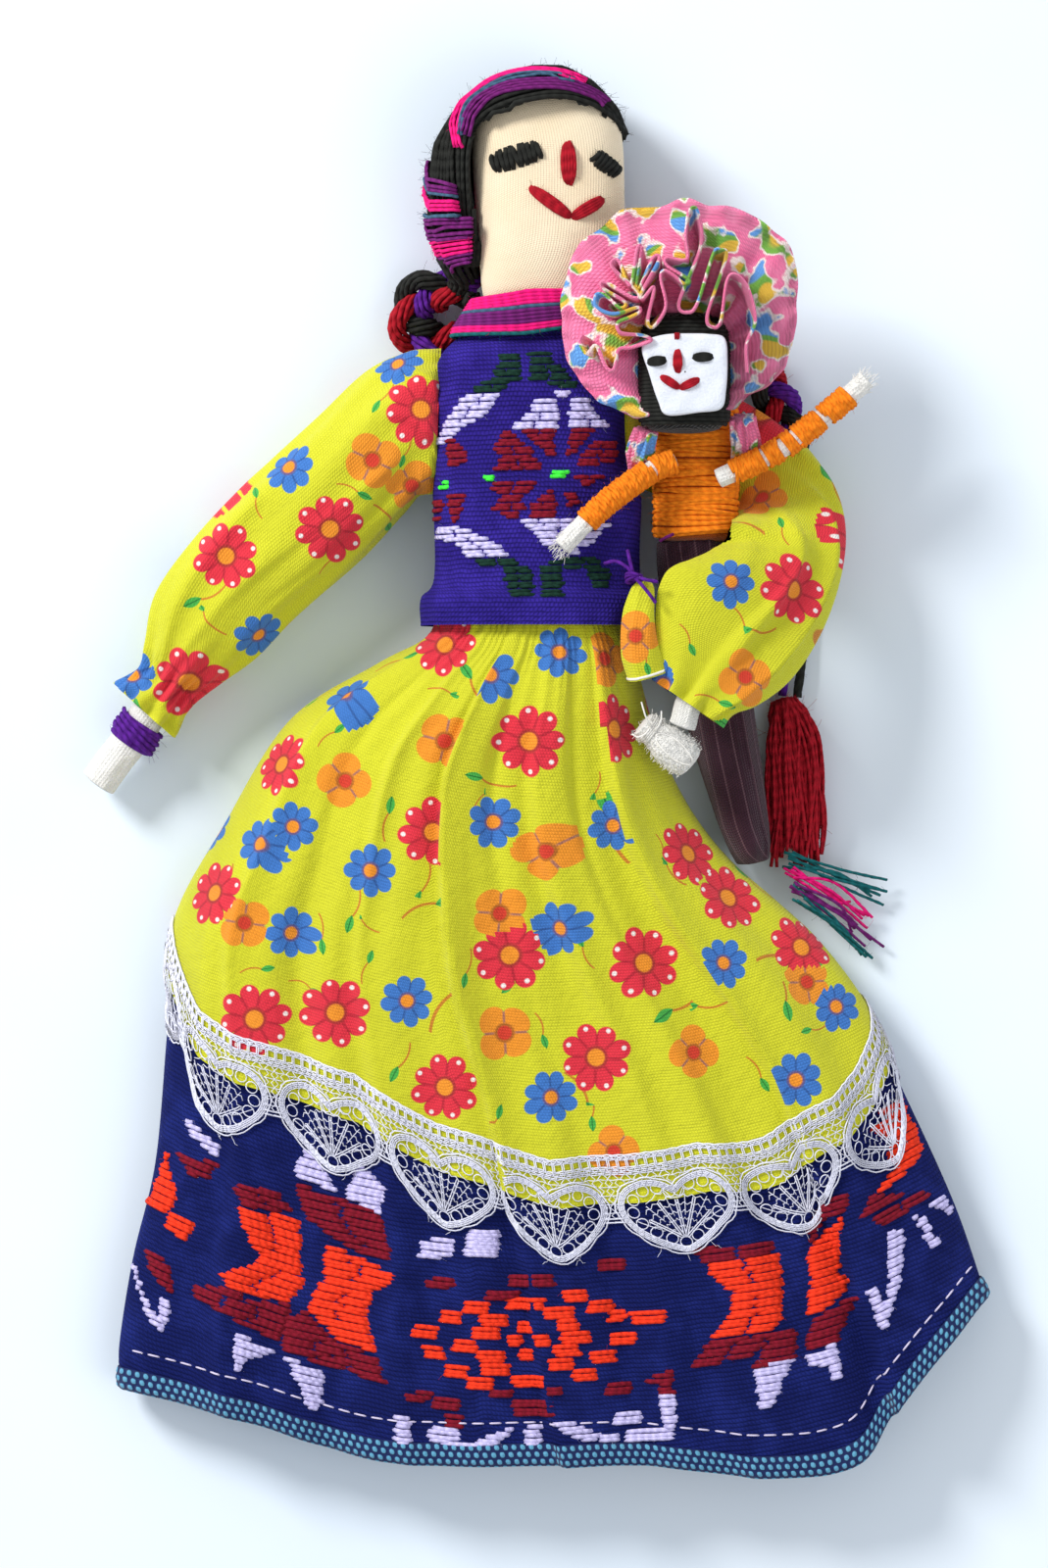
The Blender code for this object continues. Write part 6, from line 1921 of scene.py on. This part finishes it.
def bonnet_print(name):
    """Pink printed voile with patches of blue, green, yellow and white."""
    n = Nodes(name, roughness=0.8, sheen=0.15)
    place = n.place()
    where = n.noise(place, 0.2, 1.5, 0.4)
    which = n.noise(place, 0.13, 0.0)
    edge = n.noise(place, 0.9, 3.0, 0.6)
    amount = n.scaled(edge, 0.1, where)
    pink = n.mix(n.noise(place, 0.3, 2.0), srgb(232, 84, 140), srgb(252, 150, 188))
    patch = n.mix(n.between(which, 0.42, 0.46), srgb(98, 158, 226), srgb(118, 176, 70))
    patch = n.mix(n.between(which, 0.52, 0.56), patch, srgb(236, 190, 66))
    base = n.mix(n.between(amount, 0.565, 0.6), pink, srgb(250, 232, 226))
    base = n.mix(n.between(amount, 0.605, 0.645), base, patch)
    u, v = n.uv("weave")
    height = weave_height(n, u, v, 0.8)
    # Painted shade in the hollows of the weave.
    n.colour(n.shaded(base, n.scaled(n.math("POWER", height, 0.7), 0.36, 0.76)))
    n.bump(n.plus(height, n.times(n.noise(place, 0.7, 3.0), 1.2)), 0.00016)
    return n.material


BONNET = bonnet_print("pink_bonnet_print")
# The brim's outer edge, from below the face round by the left
BRIM_EDGE = [(27, 39.6), (19.3, 42.1), (12.7, 45.7), (8.6, 51.0), (6.4, 58.4), (6.8, 67.6),
             (9.4, 75.2), (15.2, 80.4), (20.4, 83.6), (26.4, 83.6), (31, 85.4), (36, 84.2),
             (42, 83.0), (48.4, 79.6), (52.2, 75.4), (53.8, 67.8), (53.4, 61.4), (52.6, 55.6),
             (49.6, 49.2), (44.8, 46.2), (39.7, 42.4), (34, 40.0), (27, 39.6)]


def make_brim():
    columns, rows = 280, 36
    rim = smooth_path(BRIM_EDGE, columns + 1)[:-1]
    angle = np.arctan2(rim[:, 1] - FACE_AT[1], rim[:, 0] - FACE_AT[0])
    c, s = np.cos(angle), np.sin(angle)
    hole = np.stack([FACE_AT[0] + 8.7 * powered(c, 0.62), FACE_AT[1] + 10.6 * powered(s, 0.62)], -1)
    hole[:, 0] += 2.8 * np.maximum(0, -s) * (c < 0)
    # The rows run out over the front to the rim, and back behind it.
    q, turned = np.linspace(0, 1, rows)[:, None], 0.55
    share = np.where(q < turned, np.sin(q / turned * math.pi / 2),
                     np.cos((q - turned) / 0.45 * math.pi / 2))
    share = np.clip(share, 0, 1)
    front = (q < turned) * 1.0
    gather = np.sin(17 * angle + 1.3 * np.sin(3 * angle)) + 0.5 * np.sin(29 * angle + 1)
    deep = np.sin(5 * angle + 0.8) * 0.7 + 0.5 * np.sin(8 * angle + 2)
    plan = hole[None] * (1 - share[..., None]) + rim[None] * share[..., None]
    pull = 0.45 * gather[None] * share * np.exp(-((1 - share) / 0.3) ** 2)
    plan = plan + pull[..., None] * np.stack([c, s], -1)[None] * 0.5
    puff = 2.7 * np.sin(math.pi * share ** 0.85) ** 0.65
    z = 28.75 + front * (0.5 + puff) + 0.25 * (1 - front)
    z = z + front * (1.3 * gather[None] * (1 - share) ** 0.6 * (share + 0.25)
                     + 1.5 * deep[None] * share ** 0.8 * np.sin(math.pi * share) ** 0.4)
    z = z + front * 0.45 * np.sin(43 * angle)[None] * np.exp(-((share - 0.98) / 0.1) ** 2)
    grid = np.concatenate([plan, z[..., None]], -1)
    return plain_grid("bonnet_brim_cloth", grid, BONNET, ("bonnet_brim",))


# The ruffle's upper edge, from below on the left round over the face, in the picture
RUFFLE_EDGE = [
    (592, 352), (590, 360), (597, 371), (606, 363), (616, 384), (624, 386), (629, 367), (642, 365),
    (661, 358), (652, 353), (631, 350), (628, 340), (641, 334), (650, 329), (647, 325), (624, 331),
    (607, 324), (606, 312), (615, 312), (630, 325), (635, 319), (613, 305), (615, 299), (643, 315),
    (648, 309), (624, 286), (622, 278), (629, 278), (637, 299), (642, 299), (647, 267), (651, 266),
    (646, 301), (650, 304), (663, 275), (669, 277), (652, 309), (653, 316), (664, 305), (658, 338),
    (664, 344), (676, 324), (671, 296), (674, 288), (684, 293), (694, 301), (699, 297), (678, 283),
    (677, 275), (697, 276), (696, 252), (699, 229), (707, 227), (711, 262), (689, 320), (699, 330),
    (708, 319), (723, 272), (730, 267), (736, 275), (717, 333), (724, 345), (731, 337), (737, 298),
    (746, 292), (758, 306), (765, 338), (756, 362), (757, 390),
]


def make_ruffle():
    count, rows = 900, 10
    centre, ring = (31.0, 51.0), 14.2
    away = smooth_path([at(x, y) for x, y in RUFFLE_EDGE], count) - centre
    far = np.linalg.norm(away, axis=1)
    t = np.linspace(0, 1, count)[None]
    h = np.linspace(0, 1, rows)[:, None]
    # The foot of each loop is nearer to the ring that the ruffle is gathered on.
    foot = ring + (far - ring) * 0.7
    reach = (far[None] * h + foot[None] * (1 - h)) / far[None]
    x = centre[0] + away[:, 0][None] * reach
    y = centre[1] + away[:, 1][None] * reach
    z = 30.1 + 7.0 * h ** 0.9 - 1.4 * np.clip((far[None] - 15) / 8, 0, 1) * h + 0.4 * np.sin(t * 61) * h
    sheet = np.stack([x, y, z], -1)
    # Two faces, a cloth's thickness apart, joined over the upper edge
    normal = unit(np.cross(np.gradient(sheet, axis=1), np.gradient(sheet, axis=0)))
    half = 0.34
    crest = sheet[-1:] + (0, 0, 0.3)
    grid = np.concatenate([sheet + normal * half, crest, (sheet - normal * half)[::-1]])
    u, v = (lengths[:, :-1] for lengths in run_lengths(grid))
    return make("bonnet_ruffle_cloth", grid, grid_faces(len(grid), count), BONNET,
                ("bonnet_ruffle",), {"weave": grid_uv(u, v, len(grid), count)})


# The bonnet's gathered ends: their routes, and half their widths on the way
BONNET_ENDS = [
    ("bonnet_tie_right", [(21.8, 29.8, 21.4), (22.2, 34.0, 23.4), (23.4, 38.8, 26.2)], (1.2, 2.6, 2.2)),
    ("bonnet_tie_left", [(42.4, 31.6, 19.6), (43.4, 36.6, 22.4), (42.8, 41.4, 26.0)], (1.5, 2.8, 2.4)),
]


def make_bonnet_ends():
    def gathers(t, a):
        return 0.42 * np.sin(9 * a + 3 * t) + 0.2 * np.sin(15 * a)
    for name, route, radii in BONNET_ENDS:
        wide = np.interp(np.linspace(0, 1, 50), (0, 0.5, 1), radii)
        grid = rounded_ends(tube_grid(smooth_path(route, 50), wide, 90, gathers, flat=0.8), 5)
        plain_grid(name + "_gathers", grid, BONNET, (name,))


def make_baby_body():
    inner = [(y, 25.6, 41.6, 9.8, 21.0) for y in np.linspace(18.0, 44.6, 14)]
    grid = rounded_ends(section_grid(inner, 30, 70, power=2.2, flat=0.0), 4)
    wadding = plain_cloth("orange_wadding", srgb(190, 90, 20), 0.5, 0.00012)
    body = plain_grid("baby_body_wadding", grid, wadding)
    strands = Strands()
    a = np.linspace(0, TURN, 64)
    for layer, (shift, slope, thread) in enumerate(((0.0, 0.035, 0.6), (0.5, -0.02, 0.42))):
        for k, y in enumerate(np.arange(18.6, 44.2, 0.98) + shift * 0.98):
            reach = 0.15 + 0.32 * layer + 0.12 * rng.uniform(-1, 1)
            x = 33.6 + (8.1 + reach) * powered(np.cos(a), 2 / 2.2)
            z = 15.4 + (5.7 + reach) * powered(np.sin(a), 2 / 2.2)
            tilt = slope * (x - 33.6) + 0.25 * np.sin(a * 2 + k) * (1 + layer)
            if layer and k % 2:
                continue
            strands.add(np.stack([x, y + tilt + 0.2 * rng.uniform(-1, 1), z], -1), thread)
    fuzz(strands, 420, 1.3)
    strands.build("baby_body_yarn", ORANGE_YARN, "orange_yarn", ("baby_torso",))
    stitch = Strands()
    stitch.add(smooth_path([(26.2, 16.9, 22.2), (27.6, 17.7, 22.6), (29.0, 18.3, 22.3)], 9), 0.35)
    stitch.build("baby_body_stitch", WOOLS["purple"], "maroon_cloth")
    return body


BABY_RIGHT_ARM = [(29.0, 32.8, 24.3), (24.5, 31.0, 25.55), (16.5, 25.2, 28.55), (11.4, 20.6, 28.95),
                  (6.6, 15.6, 29.15)]
BABY_LEFT_ARM = [(38.0, 29.4, 23.95), (49.5, 34.8, 24.55), (57.5, 40.6, 24.55), (63.6, 45.6, 24.55),
                 (67.6, 49.1, 24.55)]


# Where no yarn is wound on the arms, as distances along them
RIGHT_GAPS = [(4.6, 5.6)]
LEFT_GAPS = [(0.0, 3.4), (9.6, 10.5), (13.6, 14.7), (17.4, 18.0), (23.6, 24.9)]


def make_baby_arms():
    made = []
    for side, route, stop, gaps in (("right", BABY_RIGHT_ARM, 22.4, RIGHT_GAPS),
                                    ("left", BABY_LEFT_ARM, 31.2, LEFT_GAPS)):
        made.append(rolled(f"baby_{side}_arm_cotton", route, 1.95, COTTON,
                           (f"baby_{side}_arm_roll",), 90, seam=0.2))
        strands = Strands(5, 1.0)
        windings(strands, route, 0.3, stop, 2.2, 0.74, 0.5, gaps)
        windings(strands, route, 0.6, stop - 0.4, 2.36, 1.5, 0.4, gaps, slant=-0.5)
        fuzz(strands, 220, 1.1)
        strands.build(f"baby_{side}_arm_windings", ORANGE_YARN, "orange_yarn",
                      (f"baby_{side}_arm_yarn",))
        tip = Strands(4)
        path = smooth_path(route, 60)
        ahead = unit(path[-1] - path[-3])
        for _ in range(130):
            out = unit(rng.normal(size=3))
            root = path[-1 - rng.integers(0, 6)] + out * 1.9
            bend = rng.normal(size=3) * 0.35
            tip.add([root, root + out * 0.3 + ahead * 0.3 + bend * 0.5,
                     root + out * 0.5 + ahead * 0.8 + bend], 0.045)
        tip.build(f"baby_{side}_hand_nap", COTTON_THREAD, "white_thread")
    return made


FACE_EDGE = [(23.0, 56.7), (27.0, 57.7), (31.2, 57.9), (35.6, 57.8), (38.9, 57.0), (39.5, 52.5),
             (39.2, 46.5), (38.2, 42.9), (33.6, 42.1), (27.4, 41.6), (25.6, 44.5), (23.8, 50.0),
             (22.4, 54.4), (23.0, 56.7)]
# The baby's head: y, half its width, and its lowest and highest z
BABY_HEAD_X = 31
BABY_HEAD = [(39.6, 7.4, 23.6, 32.6), (40.8, 8.6, 22.4, 33.7), (44, 8.9, 22.0, 34.0),
             (51, 8.9, 22.0, 34.2), (57, 8.7, 22.0, 34.2), (60, 7.8, 22.6, 33.4), (61.6, 6.2, 24.2, 31.6)]


def make_baby_head():
    stations = [(y, BABY_HEAD_X - w, BABY_HEAD_X + w, low, high) for y, w, low, high in BABY_HEAD]
    grid = rounded_ends(section_grid(stations, 50, 90, power=3.0, flat=0.0), 5)
    felt = plain_cloth("black_felt", srgb(30, 30, 30), 0.9, 0.0003)
    head = plain_grid("baby_head_wadding", grid, felt)
    surface = Surface(head)
    strands = Strands()
    for y in np.arange(40.2, 61.4, 0.8):
        bow = 0.9 * math.sin((y - 40) * 0.4)
        path = []
        for s in np.linspace(-1, 1, 44):
            way = np.array((math.sin(s * 1.75), 0, math.cos(s * 1.75)))
            place, _ = surface.cast(np.array((BABY_HEAD_X, y, 28)) + way * 40, -way)
            if place is not None:
                path.append(place + way * 0.12 + (0, bow * 0.2 * math.cos(s * 2), 0))
        strands.add(path, 0.48)
    fuzz(strands, 240, 1.0)
    strands.build("baby_hair_yarn", WOOLS["black"], "black_wool", ("baby_hair",))

    rim = smooth_path(FACE_EDGE, 161)[:-1]
    middle = np.array((31.0, 50.2))
    rounded = 1 - 0.1 * (1 - np.sin(np.linspace(0.1, 1, 8) * math.pi / 2))
    shares = np.concatenate([np.linspace(0.02, 0.9, 16), rounded, [1.0, 0.99, 0.96]])
    heights = np.interp(np.arange(len(shares)), (0, 15, 19, 23, 24, 25, 26),
                        (36.7, 36.6, 36.4, 35.9, 35.4, 34.6, 34.3))
    grid = np.stack([np.column_stack([middle + (rim - middle) * s, np.full(len(rim), z)])
                     for s, z in zip(shares, heights)])
    grid[..., 2] += 0.14 * np.sin(grid[..., 0] * 1.1) * np.sin(grid[..., 1] * 0.9)
    felt = Nodes("white_felt", roughness=0.95, sheen=0.3)
    fibre = felt.noise(felt.place(), 1.8, 4.0, 0.75)
    felt.colour(felt.mix(fibre, srgb(214, 222, 240), srgb(250, 252, 255)))
    felt.bump(fibre, 0.0003)
    face = plain_grid("baby_face_felt", grid, felt.material, ("baby_face",))
    surface = Surface(face)
    for name, start, end, half, colour, slot in (
            ("baby_right_eye", (23.5, 52.1), (27.2, 52.6), 0.95, "black", "black_wool"),
            ("baby_left_eye", (32.6, 53.1), (36.5, 53.2), 0.9, "black", "black_wool"),
            ("baby_nose", (29.5, 54.6), (29.6, 50.0), 0.9, "red", "red_yarn"),
            ("baby_mouth_right", (26.2, 49.3), (29.9, 47.0), 0.8, "red", "red_yarn"),
            ("baby_mouth_left", (29.9, 46.9), (33.8, 48.7), 0.8, "red", "red_yarn")):
        threads = Strands()
        satin(threads, surface, start, end, half, 0.3, 0.36, 0.42, across=False)
        fuzz(threads, 12, 0.4, 0.02)
        threads.build(name + "_stitches", WOOLS[colour], slot, (name,))
    notch = Strands()
    satin(notch, surface, (28.9, 57.3), (29.9, 57.4), 0.6, 0.22, 0.3, 0.3)
    notch.build("baby_parting_stitch", WOOLS["red"], "red_yarn")
    return head, face


def shrunk_on(node, start, end, rows, columns, rounds):
    """Rings round an axis, laid on a solid and then smoothed."""
    solid = Surface(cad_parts[node])
    a, b = np.array(start, float), np.array(end, float)
    side = unit(np.cross(b - a, (0, 0, 1.0)))
    up = unit(np.cross(side, b - a))
    grid = np.zeros((rows, columns, 3))
    for i, t in enumerate(np.linspace(0, 1, rows)):
        centre = a + (b - a) * t
        for j, q in enumerate(ring_angles(columns)):
            way = side * math.cos(q) + up * math.sin(q)
            place, _ = solid.cast(centre + way * 40, -way)
            grid[i, j] = centre + way * 0.5 if place is None else place
    for _ in range(rounds):
        grid = (grid * 2 + np.roll(grid, 1, 1) + np.roll(grid, -1, 1)) / 4
        grid[1:-1] = (grid[1:-1] * 2 + grid[:-2] + grid[2:]) / 4
    return grid


def make_baby_skirt():
    grid = shrunk_on("baby_skirt", (33.6, 17.6, 14.6), (44.6, -47.6, 7.6), 80, 64, 5)
    rows, columns = grid.shape[:2]
    a = ring_angles(columns)[None]
    t = np.linspace(0, 1, rows)[:, None]
    fold = 0.5 * np.exp(-np.mod(a - 1.9 - 0.5 * t, TURN) * 2.5) + 0.18 * np.sin(5 * a + 6 * t)
    way = unit(grid - grid.mean(axis=1, keepdims=True))
    grid = grid + way * (fold - 0.2)[..., None]
    n = Nodes("maroon_striped_cloth", roughness=0.9, sheen=0.15)
    u, v = n.uv("weave")
    height = weave_height(n, u, v, 0.55)
    stripe = n.math("GREATER_THAN", n.sine(n.times(u, TURN / 3.1)), 0.93)
    base = n.mix(n.noise(n.place(), 0.3, 3.0), srgb(50, 24, 38), srgb(74, 36, 54))
    base = n.mix(n.times(stripe, 0.22), base, srgb(170, 130, 140))
    # Painted shade in the hollows of the weave.
    n.colour(n.shaded(base, n.scaled(height, 0.4, 0.7)))
    n.bump(height, 0.0002)
    return plain_grid("baby_skirt_cloth", rounded_ends(grid, 4), n.material,
                      ("baby_skirt",))


# Floor, light and camera, in metres. The camera looks down at the middle of the photograph.

PICTURE_MIDDLE, PICTURE_HEIGHT = (534.5, 800), 0.320
CAMERA_HEIGHT, SENSOR = 1.6, 24.0
FLOOR_HALF, FLOOR_DROP = 1.6, 0.0007


def make_stage():
    mesh = bpy.data.meshes.new("floor")
    s, z = FLOOR_HALF, cad_box[0][2] - FLOOR_DROP
    mesh.from_pydata([(-s, -s, z), (s, -s, z), (s, s, z), (-s, s, z)], [], [(0, 1, 2, 3)])
    n = Nodes("pale_floor", roughness=0.9, sheen=0.0, specular=0.1)
    n.colour(n.mix(n.noise(n.place(), 0.012, 2.0), srgb(222, 236, 250), srgb(240, 247, 254)))
    mesh.materials.append(n.material)
    floor = bpy.data.objects.new("floor", mesh)
    bpy.context.scene.collection.objects.link(floor)

    def lamp(name, place, size, power, colour):
        data = bpy.data.lights.new(name, "AREA")
        data.shape, data.size, data.energy, data.color = "DISK", size, power, colour
        obj = bpy.data.objects.new(name, data)
        obj.location = place
        obj.rotation_euler = (Vector(place) * -1).to_track_quat("-Z", "Y").to_euler()
        bpy.context.scene.collection.objects.link(obj)

    lamp("key_lamp", (-1.0, 0.85, 0.9), 0.5, 24.0, (1.0, 0.99, 0.97))
    lamp("fill_lamp", (0.9, -0.5, 1.2), 1.2, 5.0, (0.96, 0.98, 1.0))
    world = bpy.data.worlds.new("studio")
    bpy.context.scene.world = world
    world.use_nodes = True
    back = world.node_tree.nodes["Background"]
    back.inputs["Color"].default_value = (0.93, 0.96, 1.0, 1.0)
    back.inputs["Strength"].default_value = 0.62
    bpy.context.scene.view_settings.view_transform = "Standard"

    data = bpy.data.cameras.new("camera")
    data.sensor_fit = "VERTICAL"
    data.sensor_height = SENSOR
    data.lens = SENSOR * CAMERA_HEIGHT / PICTURE_HEIGHT
    data.clip_end = 10.0
    camera = bpy.data.objects.new("camera", data)
    x, y = at(*PICTURE_MIDDLE)
    camera.location = (x * MM, (y - ORIGIN_Y) * MM, CAMERA_HEIGHT)
    bpy.context.scene.collection.objects.link(camera)
    bpy.context.scene.camera = camera


make_stage()
UNDERSKIRT, OVERSKIRT = make_skirts()
RIGHT, LEFT = make_sleeves()
BLOUSE = make_blouse()
HEAD_CLOTH = make_head()
make_face(Surface(HEAD_CLOTH))
HAIR = make_hair()
make_hair_turns(HAIR)
make_plaits()
make_tassels()
make_collar()
WOOL_FRONT = Surface(UNDERSKIRT)
make_skirt_brocade(WOOL_FRONT)
LACE_EDGE, LACE_NET = make_lace()
EDGING = make_binding()
make_hem_stitches()
make_blouse_brocade(Surface(BLOUSE))
ROLLS = make_arms_and_hands()
CUFF = make_cuff()
BODY, LEGS = make_body_and_legs()
BRIM = make_brim()
RUFFLE = make_ruffle()
make_bonnet_ends()
BABY_PADS = [make_baby_body(), *make_baby_arms(), *make_baby_head()]
BABY_SKIRT = make_baby_skirt()
